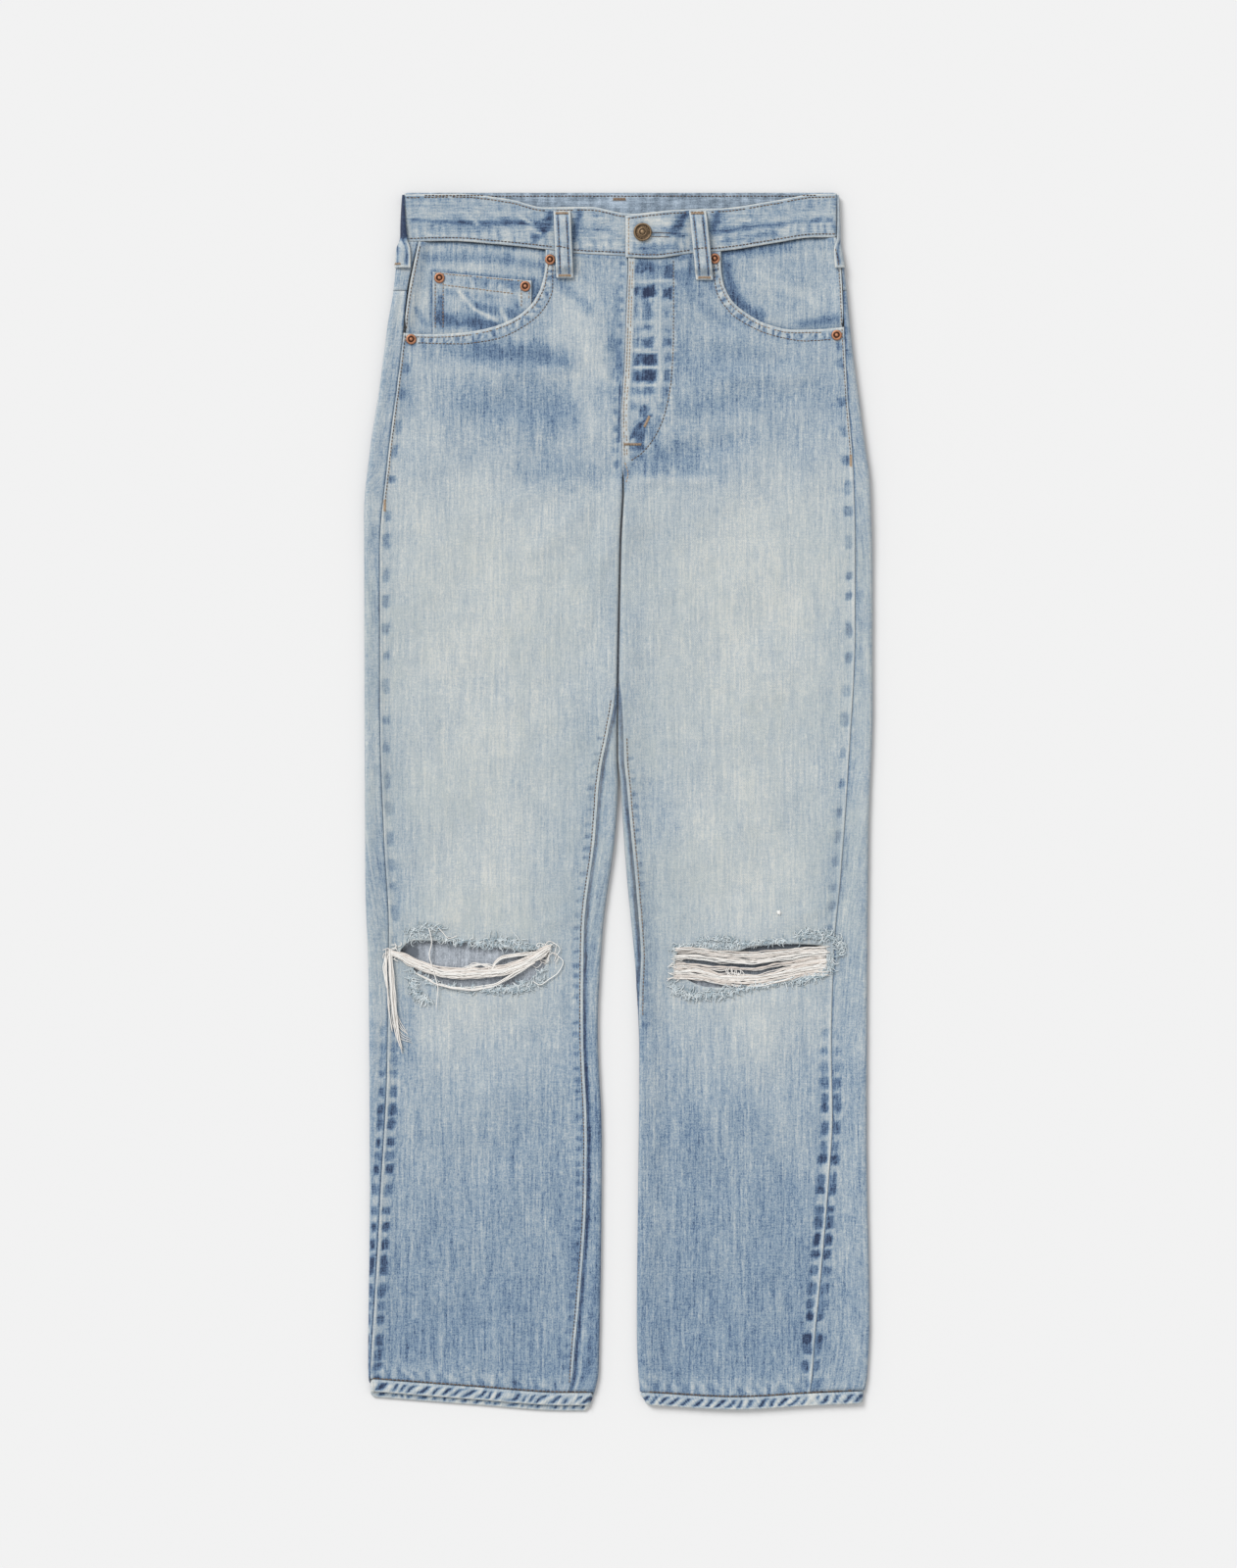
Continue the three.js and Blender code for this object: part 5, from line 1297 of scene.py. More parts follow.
def make_waistband():
    path = band_path()
    rows = 24
    v = np.concatenate([np.linspace(0, 0.06, 4), np.linspace(0.06, 0.94, rows - 6)[1:-1],
                        np.linspace(0.94, 1, 4)])
    x = np.broadcast_to(path[:, 0], (len(v), len(path)))
    z = np.broadcast_to(path[:, 1], x.shape)
    seam, top = path[:, 2][None], path[:, 3][None]
    y = lerp(seam, top, v[:, None])
    mid = np.stack([x, y, z], axis=2)
    steps = np.linalg.norm(np.diff(path[:, :2], axis=0), axis=1)
    run = np.concatenate([[0], np.cumsum(steps)])[None] + 0 * x
    low, high = y - seam, top - y
    front = z > BAND_LEVEL_BACK + BAND_RADIUS
    wash = 0.66 + 0.07 * ripple(x, y, 24, 61) + 0.06 * ripple(x, y, 8, 62)
    tall = 0.5 + 0.5 * np.sin(run * math.tau / 8.4 + 0.12 * low + 2.4 * ripple(x, 0 * y, 26, 64))
    wash = lerp(wash, lerp(0.92, 0.16, tall ** 2), 0.55 * smooth(3, 5, low) * smooth(17, 10, low))
    wash = lerp(wash, lerp(0.20, 0.86, tall), 0.38 * smooth(3, 5, high) * smooth(15, 8, high))
    wash = np.where(front, stroked(wash, x, y, BAND_STROKES, 63), wash)
    wash = lerp(wash, 0.34, 0.5 * bell(low - 3.0, 0.9))
    wash = lerp(wash, 0.42, 0.4 * bell(high - 2.9, 0.9))
    wash = lerp(wash, 0.96, 0.85 * smooth(1.7, 0.5, high))
    wash = lerp(wash, 0.96, 0.8 * smooth(1.5, 0.4, low))
    wash = lerp(wash, 0.97, 0.9 * smooth(2.6, 1.0, run) * front)
    inner = 0.64 + 0.16 * ripple(x, y, 9, 65)
    inner = lerp(inner, 0.22, 0.5 * np.sin(x * math.tau / 24 + 2) ** 6)
    inner = lerp(inner, 1.0, 0.8 * bell(x - 1, 13) * bell(y - 532, 7))
    h = 0.16 * ripple(x, y, 20, 66) + 0.10 * ripple(x, y, 7, 67)
    h = h + 0.18 * np.sin(run * math.tau / 9.5 + 2.2 * ripple(x, 0 * y, 30, 64)) * bell(low - 7, 6)
    h = h - 0.30 * bell(low - 2.9, 0.8) - 0.30 * bell(high - 2.9, 0.8)
    slit, _ = beside(x, y, 30, 501.5, 37, 501.2)
    h = np.where(front & (run < 60), h - 0.9 * bell(slit, 1.2), h) * np.where(front, 1, 0.35)
    # Painted shade in the buttonhole's slit: the groove cut above is darkened almost to black.
    wash = np.where(front & (run < 60), lerp(wash, 0.02, 0.8 * bell(slit, 1.3)), wash)
    thick = BAND * (1 - 0.45 * smooth(1.2, 0, high) ** 2 - 0.25 * smooth(0.8, 0, low) ** 2)
    thick = thick * (1 - 0.4 * smooth(1.0, 0, run) ** 2)
    mid = mid + normals(mid) * h[..., None]
    cloth = np.stack([y + 400, run * 1.0 + 4000], axis=2)
    piece = shell("waistband_cloth", mid, thick, TRIM, wash, cloth, inner_wash_and_shade=inner)
    declare(piece, "waistband")
    return piece


# ------------------------------------------------------------------ pockets, fly and zip
COIN_DEPTH = CLOTH / 2 + GAP + LINING / 2
FACING_DEPTH = COIN_DEPTH + LINING / 2 + GAP + CLOTH / 2
POCKET_LOW, BAG_LOW = 386.0, 305.0
COIN_X0, COIN_X1, COIN_LOW = -164.5, -77.0, 398.0  # coin pocket: its two sides and its foot
COIN_TOP0, COIN_TOP1 = 469.0, 461.0  # where its top edge meets each side
PATCH_X, PATCH_TOP = -97, 412.0  # back pocket: its middle, on the right, and its top edge
PATCH_HALF = 70  # half its width at the top

# Strokes (x0, y0, x1, y1, half width at each end, wash, strength) on the pocket facings. The dark ones that
# run along the pocket mouths are painted shade under the fronts' cut edges.
FACING_STROKES = {
    "right": [(-170, 482, -100, 481, 5, 5, 0.34, 0.85), (-100, 481, -68, 474, 5, 4, 0.30, 0.8),
              (-186, 478, -182, 430, 4, 5, 0.86, 0.7), (-180, 436, -170, 422, 3, 3, 0.22, 0.7),
              (-190, 486, -176, 486, 3, 3, 0.55, 0.5), (-186, 472, -188, 426, 6, 6, 0.95, 0.85),
              (-74, 462, -72, 446, 4, 5, 0.24, 0.75), (-160, 474, -120, 473, 4, 4, 0.80, 0.5)],
    "left": [(84, 470, 182, 462, 17, 17, 0.54, 0.5), (108, 442, 182, 436, 13, 13, 0.54, 0.5),
             (94, 485, 150, 490, 5, 5, 0.30, 0.85), (150, 490, 194, 492, 4, 3, 0.50, 0.6),
             (95, 474, 101, 450, 5, 6, 0.14, 0.9), (102, 446, 126, 429, 6, 5, 0.10, 0.9),
             (160, 423, 200, 428, 4, 5, 0.20, 0.85), (120, 470, 180, 440, 3, 5, 0.84, 0.55),
             (118, 458, 170, 452, 3, 3, 0.82, 0.5), (130, 478, 170, 476, 5, 5, 0.58, 0.5),
             (175, 470, 190, 440, 6, 6, 0.76, 0.5)],
}
COIN_STROKES = [(-160, 428, -110, 422, 8, 7, 0.10, 0.92), (-132, 440, -92, 432, 7, 7, 0.22, 0.8),
                (-158, 446, -156, 424, 4, 4, 0.20, 0.8),
                (-152, 452, -134, 449, 3, 3, 0.30, 0.6), (-106, 462, -80, 456, 5, 4, 0.18, 0.8),
                (-128, 466, -116, 462, 5, 4, 0.24, 0.7), (-142, 452, -128, 436, 1.6, 1.6, 0.96, 0.9),
                (-128, 436, -108, 426, 1.6, 2, 0.96, 0.9), (-116, 446, -104, 438, 5, 5, 0.16, 0.7),
                (-104, 436, -98, 422, 2, 2, 0.92, 0.8),
                (-90, 440, -84, 430, 4, 4, 0.22, 0.8), (-120, 444, -96, 440, 4, 3, 0.72, 0.6),
                (-150, 436, -140, 426, 2.4, 2, 0.52, 0.6)]


def make_facing(side, to_x):
    v, u = np.linspace(0, 1, 48)[:, None], np.linspace(0, 1, 62)[None]
    level = lerp(POCKET_LOW, 492.0, v)
    start = side.outseam(level) + lerp(2.0, 0.3, smooth(414, 428, level))
    x = lerp(start, to_x, u ** 1.25)
    y = lerp(POCKET_LOW, waist_seam(side.sign * x) - GAP, v)
    wx = x * side.sign
    wash = 0.70 + 0.05 * ripple(wx, y, 22, 71) + 0.03 * ripple(wx, y, 8, 72)
    wash = stroked(wash, wx, y, FACING_STROKES[side.name], 73)
    # Painted shadow: a dark line just below the waistband's lower edge.
    wash = lerp(wash, 0.10, 0.8 * bell(waist_seam(wx) - y - 1.4, 1.5))
    seam = x - start
    wash = lerp(wash, 0.95, 0.8 * bell(seam - 1.0, 1.1))
    wash = lerp(wash, 0.24, 0.5 * bell(seam - 3.2, 0.9))
    # On the right, a painted shadow line round the edges of the coin pocket.
    if side is RIGHT:
        rim, _, _ = outline_distance(wx, y, [(COIN_X0, 416), (COIN_X0, COIN_TOP0), (COIN_X1, COIN_TOP1),
                                             (COIN_X1, 425)], closed=False)
        wash = lerp(wash, 0.12, 0.75 * bell(rim - 0.8, 1.8))
    # Darker next to the pocket mouth: partly painted shade under the front's cut edge, partly indigo left
    # unfaded there.
    d, _, _ = outline_distance(wx, y, rounded(SCOOP[side.name], 3), closed=False)
    wash = lerp(wash, 0.28, 0.6 * bell(d, 3.2))
    sec = section(side, level)
    sec.open = True
    raised = smooth(12, 1.5, seam) * smooth(416, 430, level)
    z = upper(sec, x) - FACING_DEPTH * (1 - raised) + 0.35 * bell(seam - 1.0, 1.2) * raised
    z = z + 0.3 * ripple(wx, y, 18, 74) * smooth(0, 6, waist_seam(wx) - y) * (1 - raised)
    mid = np.stack([x, y, z + 0 * x], axis=2)
    piece = shell(f"facing_{side.name}", mid, CLOTH, DENIM, wash, np.stack([x + 5000, y], 2), side=side)
    declare(piece, f"pocket_facing_{side.name}")
    v, u = np.linspace(0, 1, 20)[:, None], np.linspace(0, 1, 28)[None]
    x = lerp(-182.0, to_x - 8, u) + 0 * v
    y = lerp(BAG_LOW, POCKET_LOW - GAP, v) + 0 * u
    mid = np.stack([x, y, upper_level(y) - FACING_DEPTH], axis=2)
    bag = shell(f"pocketing_{side.name}", mid, LINING, COTTON, 0 * x, np.stack([x, y], 2), side=side)
    declare(bag, f"pocket_bag_{side.name}")


def make_coin_pocket():
    v, u = np.linspace(0, 1, 50)[:, None], np.linspace(0, 1, 62)[None]
    x = lerp(COIN_X0, COIN_X1, u) + 0 * v
    y = lerp(COIN_LOW, lerp(COIN_TOP0, COIN_TOP1, u), v)
    top = lerp(COIN_TOP0, COIN_TOP1, u) - y
    side_in = np.minimum(x - COIN_X0, COIN_X1 - x)
    wash = 0.66 + 0.05 * ripple(x, y, 14, 81) + 0.04 * ripple(x, y, 6, 82)
    wash = stroked(wash, x, y, COIN_STROKES, 83)
    tall = 0.5 + 0.5 * np.sin(x * math.tau / 8.0 + 2 * ripple(x, y, 20, 84))
    wash = lerp(wash, 0.26, 0.5 * tall ** 3 * bell(top - 7, 4))
    wash = lerp(wash, 0.97, 0.85 * smooth(1.7, 0.5, top))
    wash = lerp(wash, 0.95, 0.8 * smooth(1.7, 0.5, side_in))
    wash = lerp(wash, 0.85, 0.5 * bell(top - 12.5, 1.2))
    h = 0.25 * smooth(13, 11, top) + 0.2 * ripple(x, y, 12, 85) + 0.2 * smooth(2, 0.5, side_in)
    crease, _ = beside(x, y, -142, 452, -108, 426)
    h = h + 0.5 * bell(crease, 2.5) + 0.25 * np.sin(x * math.tau / 8) * bell(top - 7, 4)
    z = upper_level(y) - COIN_DEPTH + h
    piece = shell("coin_pocket_cloth", np.stack([x, y, z], 2), LINING, DENIM, wash,
                  np.stack([x + 6000, y], 2))
    declare(piece, "coin_pocket")


def make_back_pocket(side):
    v, u = np.linspace(0, 1, 46)[:, None], np.linspace(-1, 1, 44)[None]
    low = lerp(278.0, 262.0, 1 - np.abs(u))
    x = PATCH_X + u * lerp(62.0, PATCH_HALF, v)
    y = lerp(low, PATCH_TOP, v)
    edge = np.minimum((1 - np.abs(u)) * 66, np.minimum(PATCH_TOP - y, y - low))
    wash = 0.74 + 0.06 * ripple(x, y, 24, 86) - 0.12 * bell(edge - 5, 2.4)
    wash = lerp(wash, 0.96, 0.8 * smooth(2, 0.6, edge))
    mid = np.stack([x, y, 0 * x + CLOTH / 2], 2)[:, ::-1]
    piece = shell(f"back_pocket_{side.name}_cloth", mid, CLOTH, DENIM, wash[:, ::-1], mid[..., :2] + 6500,
                  side=side)
    declare(piece, f"back_pocket_{side.name}")


def make_fly():
    """Underlap and zip, closed and out of sight behind the fly."""
    for name, node, x0, x1, y0, depth, thick, material, slot in (
            ("underlap", "fly_shield", -10.0, 44.0, 345.0, FACING_DEPTH, CLOTH, DENIM, "denim"),
            ("zip_tape", "zip", -6.0, 22.0, 353.0, COIN_DEPTH, LINING, COTTON, "cotton")):
        v, u = np.linspace(0, 1, 40)[:, None], np.linspace(0, 1, 16)[None]
        x, y = lerp(x0, x1, u) + 0 * v, lerp(y0, 479.0, v) + 0 * u
        mid = np.stack([x, y, upper_level(y) - depth], 2)
        piece = shell(name, mid, thick, material, 0.6 + 0 * x, np.stack([x + 7000, y], 2))
        declare(piece, node)


# ------------------------------------------------------------------ belt loops
LOOP_WIDTH = 14.6
LOOP_CLEARANCE = 4.7
LOOP_TOP = 522.5
FRONT_LOOPS = {"right": (-50, -47.4, 463.3), "left": (70, 76.2, 461.5)}  # top x, low x, low y
FRONT_TOP = BAND_LEVEL_FRONT + BAND / 2


def loop_look(w, along, length, seed):
    """Wash and height over a folded loop: pale edges and ridge, indigo in the two stitched grooves."""
    groove = bell(np.abs(w) - 3.9, 1.35)
    wash = 0.78 + 0.10 * ripple(w, along, 9, seed)
    wash = lerp(wash, 0.02, groove * (0.85 + 0.15 * ripple(w, along, 14, seed + 1)))
    wash = lerp(wash, 0.95, 0.85 * smooth(5.7, 6.6, np.abs(w)))
    wash = lerp(wash, 0.94, 0.8 * np.maximum(smooth(4, 1, along), smooth(4, 1, length - along)))
    height = 0.30 * bell(w, 2.4) - 0.22 * groove - 0.30 * smooth(6.2, 7.3, np.abs(w))
    return wash, height


def make_front_loop(which, seed):
    top_x, low_x, low_y = FRONT_LOOPS[which]
    v, w = np.linspace(0, 1, 66)[:, None], np.linspace(-LOOP_WIDTH / 2, LOOP_WIDTH / 2, 19)[None]
    stand = smooth(0.06, 0.18, v) * (1 - smooth(0.86, 0.965, v))
    x = lerp(low_x, top_x, v) + w
    y = lerp(low_y, LOOP_TOP, v) + 0 * w
    z = FRONT_TOP + GAP + LOOP / 2 + (LOOP_CLEARANCE - GAP) * stand + 0 * w
    length = LOOP_TOP - low_y
    wash, h = loop_look(w + 0 * v, v * length + 0 * w, length, seed)
    mid = np.stack([x, y, z], 2)
    mid = mid + normals(mid) * h[..., None]
    piece = shell(f"front_loop_{which}", mid, LOOP, TRIM, wash, np.stack([w + 7500 + 0 * v, y], 2))
    declare(piece, f"belt_loop_front_{which}")


def make_back_loop():
    v, w = np.linspace(0, 1, 50)[:, None], np.linspace(7.0, -7.0, 16)[None]
    wash, _ = loop_look(w + 0 * v, v * 62, 62, 190)
    mid = np.stack([w + 0 * v, lerp(476.0, 538.0, v) + 0 * w, 0 * v + 0 * w + CLOTH / 2], 2)
    piece = shell("back_loop_cloth", mid, CLOTH, TRIM, wash, mid[..., :2] + 7700)
    declare(piece, "belt_loop_back")


def make_side_loop(side, centre_x, seed):
    """A loop that turns round the fold at the end of the waistband."""
    clear = Curve((472, 1.4), (484, 1.6), (505, 1.6), (524, 1.0), (537, GAP))
    ahead = 0 if side is RIGHT else 5.5  # the left loop lies further round the fold
    start = Curve((472, -9 + ahead), (488, -7 + ahead), (499, -0.5 + 0.6 * ahead), (537, 2.5 + 0.3 * ahead))
    band_r = BAND_RADIUS + BAND / 2
    levels = np.linspace(472, 537, 54)
    sec = section(side, np.minimum(levels, 494))
    part = smooth(488, 501, levels)
    x0 = lerp(sec.xo, centre_x, part)
    z0 = lerp(sec.low + sec.r, BAND_LEVEL_BACK + BAND_RADIUS, part)
    r = lerp(sec.r + CLOTH / 2, band_r, part) + clear(levels) + CLOTH / 2
    x0, z0, r = x0[:, None], z0[:, None], r[:, None]
    w = np.linspace(LOOP_WIDTH, 0, 19)[None]
    s = start(levels)[:, None] + w
    a = np.clip(s / r, 0, math.pi)
    x = np.where(s < 0, x0 - s, np.where(s > math.pi * r, x0 + s - math.pi * r, x0 - r * np.sin(a)))
    z = np.where(s < 0, z0 + r, np.where(s > math.pi * r, z0 - r, z0 + r * np.cos(a)))
    mid = np.stack([x, levels[:, None] + 0 * x, np.maximum(CLOTH / 2, z)], 2)
    wash, h = loop_look(w - LOOP_WIDTH / 2 + 0 * x, levels[:, None] - 472 + 0 * x, 65, seed)
    # On the right loop's upper end, by the fold, painted shade: that strip is darkened to the deepest indigo.
    # The left loop is made paler there instead.
    dark, how = (0.0, 1.0) if side is RIGHT else (0.78, 0.8)
    wash = lerp(wash, dark, how * smooth(494, 500, levels)[:, None] * smooth(9, 7, s))
    mid = mid + normals(mid) * (0.6 * h)[..., None]
    mid[..., 2] = np.maximum(mid[..., 2], CLOTH / 2)
    piece = shell(f"side_loop_{side.name}", mid, CLOTH, TRIM, wash,
                  np.stack([w + 7900 + 0 * x, mid[..., 1]], 2), side=side)
    declare(piece, f"belt_loop_side_{side.name}")


for one in SIDES:
    make_front(one)
    make_back(one)
    make_yoke(one)
    make_hem(one)
    make_back_pocket(one)
make_facing(RIGHT, -52.0)
make_facing(LEFT, -78.0)
make_coin_pocket()
make_fly()
make_waistband()
make_front_loop("right", 200)
make_front_loop("left", 210)
make_back_loop()
make_side_loop(RIGHT, BAND_RIGHT_X, 220)
make_side_loop(LEFT, -BAND_LEFT_X, 230)


# ------------------------------------------------------------------ surface to sew and lay threads on
def surface(names):
    verts, polys, base = [], [], 0
    for name in names:
        mesh = bpy.data.objects[name].data
        co = np.empty(len(mesh.vertices) * 3, np.float32)
        mesh.vertices.foreach_get("co", co)
        loops = np.empty(len(mesh.loops), np.int32)
        mesh.loops.foreach_get("vertex_index", loops)
        verts.extend((co.reshape(-1, 3) / MM).tolist())
        polys.extend((loops.reshape(-1, 4) + base).tolist())
        base += len(mesh.vertices)
    return BVHTree.FromPolygons(verts, polys)


TOP_PIECES = ["front_right", "front_left", "back_right", "back_left", "yoke_right_cloth", "yoke_left_cloth",
              "hem_right_cloth", "hem_left_cloth", "waistband_cloth", "facing_right", "facing_left",
              "coin_pocket_cloth", "front_loop_right", "front_loop_left", "side_loop_right", "side_loop_left"]
UNDER_PIECES = ["back_right", "back_left", "yoke_right_cloth", "yoke_left_cloth", "back_pocket_right_cloth",
                "back_pocket_left_cloth", "waistband_cloth", "back_loop_cloth"]
ABOVE = surface(TOP_PIECES)
BELOW = surface(UNDER_PIECES)


PLUMB_TOP, PLUMB_FOOT = 60, -20  # levels clear of the cloth, above and below
STITCH_STEP = 1.6  # a stitch never bridges a step higher than this


def drop(tree, x, y, down=True):
    """Where a plumb line meets the cloth, and the cloth's normal there."""
    origin = Vector((x, y, PLUMB_TOP if down else PLUMB_FOOT))
    way = Vector((0, 0, -1 if down else 1))
    place, normal, _, _ = tree.ray_cast(origin, way)
    if place is None:
        return None
    if normal.dot(way) > 0:
        normal = -normal
    return place, normal


# ------------------------------------------------------------------ stitches
BROWN = 0.15
RINGS = np.array([(-0.5, 0.45, -0.45), (-0.26, 1.0, 0.05), (0.26, 1.0, 0.05), (0.5, 0.45, -0.45)])


class Sewing:
    """Gathers single stitches and joins them into one mesh."""

    def __init__(self, tree, down=True):
        self.tree, self.down, self.found = tree, down, []
        self.draw = np.random.default_rng(404)

    def stitch(self, x0, y0, x1, y1, radius, shade, lift=0.12):
        a, b = drop(self.tree, x0, y0, self.down), drop(self.tree, x1, y1, self.down)
        if a is None or b is None or abs(a[0].z - b[0].z) > STITCH_STEP:
            return
        normal = (a[1] + b[1]).normalized()
        self.found.append((*((a[0] + b[0]) / 2 + normal * lift), *(b[0] - a[0]), *normal, radius, shade))

    def row(self, path, pitch=3.1, length=2.5, radius=0.42, shade=BROWN, vary=0.2, skip=0.0):
        points = resampled(path, pitch)
        for p, q in zip(points[:-1], points[1:]):
            if self.draw.uniform() < skip:
                continue
            u = 0.5 * length / max(np.linalg.norm(q - p), 1e-6)
            middle, half = (p + q) / 2, (q - p) * u
            wobble = self.draw.uniform(-0.12, 0.12, 2)
            self.stitch(*(middle - half + wobble), *(middle + half + wobble), radius,
                        shade + self.draw.uniform(-vary, vary))

    def bartack(self, x0, y0, x1, y1, width, shade, pitch=0.62, radius=0.36):
        length = math.hypot(x1 - x0, y1 - y0)
        ux, uy = (x1 - x0) / length, (y1 - y0) / length
        for k in range(int(length / pitch) + 1):
            x, y = x0 + ux * k * pitch, y0 + uy * k * pitch
            slant = 0.35 if k % 2 else -0.35
            self.stitch(x - uy * width / 2 - ux * slant, y + ux * width / 2 - uy * slant,
                        x + uy * width / 2 + ux * slant, y - ux * width / 2 + uy * slant,
                        radius, shade + self.draw.uniform(-0.15, 0.15), 0.3)

    def join(self, name, sides=5):
        data = np.array(self.found)
        centre, run, normal = data[:, 0:3], data[:, 3:6], data[:, 6:9]
        length = np.linalg.norm(run, axis=1, keepdims=True)
        tangent = run / np.maximum(length, 1e-6)
        cross = np.cross(tangent, normal)
        cross = cross / np.maximum(np.linalg.norm(cross, axis=1, keepdims=True), 1e-6)
        normal = np.cross(cross, tangent)
        radius = data[:, 9:10]
        turn = np.arange(sides) * math.tau / sides
        verts = []
        for t, r, dip in RINGS:
            for a in turn:
                verts.append(centre + tangent * length * t + radius * (
                    normal * (r * math.sin(a) + dip) + cross * r * math.cos(a)))
        verts = np.stack(verts, axis=1)
        count, per = verts.shape[:2]
        quads = []
        for ring_no in range(len(RINGS) - 1):
            for k in range(sides):
                a, b = ring_no * sides + k, ring_no * sides + (k + 1) % sides
                quads.append((a, b, b + sides, a + sides))
        last = (len(RINGS) - 1) * sides
        quads += [(3, 2, 1, 0), (4, 3, 0, 0), (last, last + 1, last + 2, last + 3),
                  (last, last + 3, last + 4, last)]
        pattern = [q for q in quads if len(set(q)) == 4]
        tris = [(0, 4, 3), (last, last + 3, last + 4)]
        base = np.arange(count)[:, None, None] * per
        all_quads = (np.array(pattern)[None] + base).reshape(-1, 4)
        all_tris = (np.array(tris)[None] + base).reshape(-1, 3)
        return mixed_mesh(name, verts.reshape(-1, 3), all_quads, all_tris,
                          np.repeat(np.clip(data[:, 10], 0, 1), per), THREAD)


def mixed_mesh(name, verts, quads, tris, wash, material):
    mesh = bpy.data.meshes.new(name)
    mesh.vertices.add(len(verts))
    mesh.vertices.foreach_set("co", (np.asarray(verts) * MM).astype(np.float32).ravel())
    loops = np.concatenate([np.asarray(quads, np.int32).ravel(), np.asarray(tris, np.int32).ravel()])
    starts = np.concatenate([np.arange(len(quads)) * 4, len(quads) * 4 + np.arange(len(tris)) * 3])
    mesh.loops.add(len(loops))
    mesh.loops.foreach_set("vertex_index", loops)
    mesh.polygons.add(len(starts))
    mesh.polygons.foreach_set("loop_start", starts.astype(np.int32))
    mesh.polygons.foreach_set("use_smooth", np.ones(len(starts), bool))
    mesh.update(calc_edges=True)
    mesh.validate()
    mesh.attributes.new("wash", "FLOAT", "POINT").data.foreach_set("value", np.asarray(wash, np.float32))
    mesh.materials.append(material)
    piece = bpy.data.objects.new(name, mesh)
    bpy.context.collection.objects.link(piece)
    return piece


def offset_path(path, distance):
    """A path moved sideways, to the left of its direction."""
    p = resampled(path, 2.0)
    t = np.gradient(p, axis=0)
    t = t / np.linalg.norm(t, axis=1, keepdims=True)
    return p + np.stack([-t[:, 1], t[:, 0]], axis=1) * distance


def seam_path(side, curve_of, y0, y1, inward):
    y = np.linspace(y0, y1, max(int(abs(y1 - y0) / 6), 2))
    return np.stack([side.sign * (curve_of(y) + inward), y], axis=1)


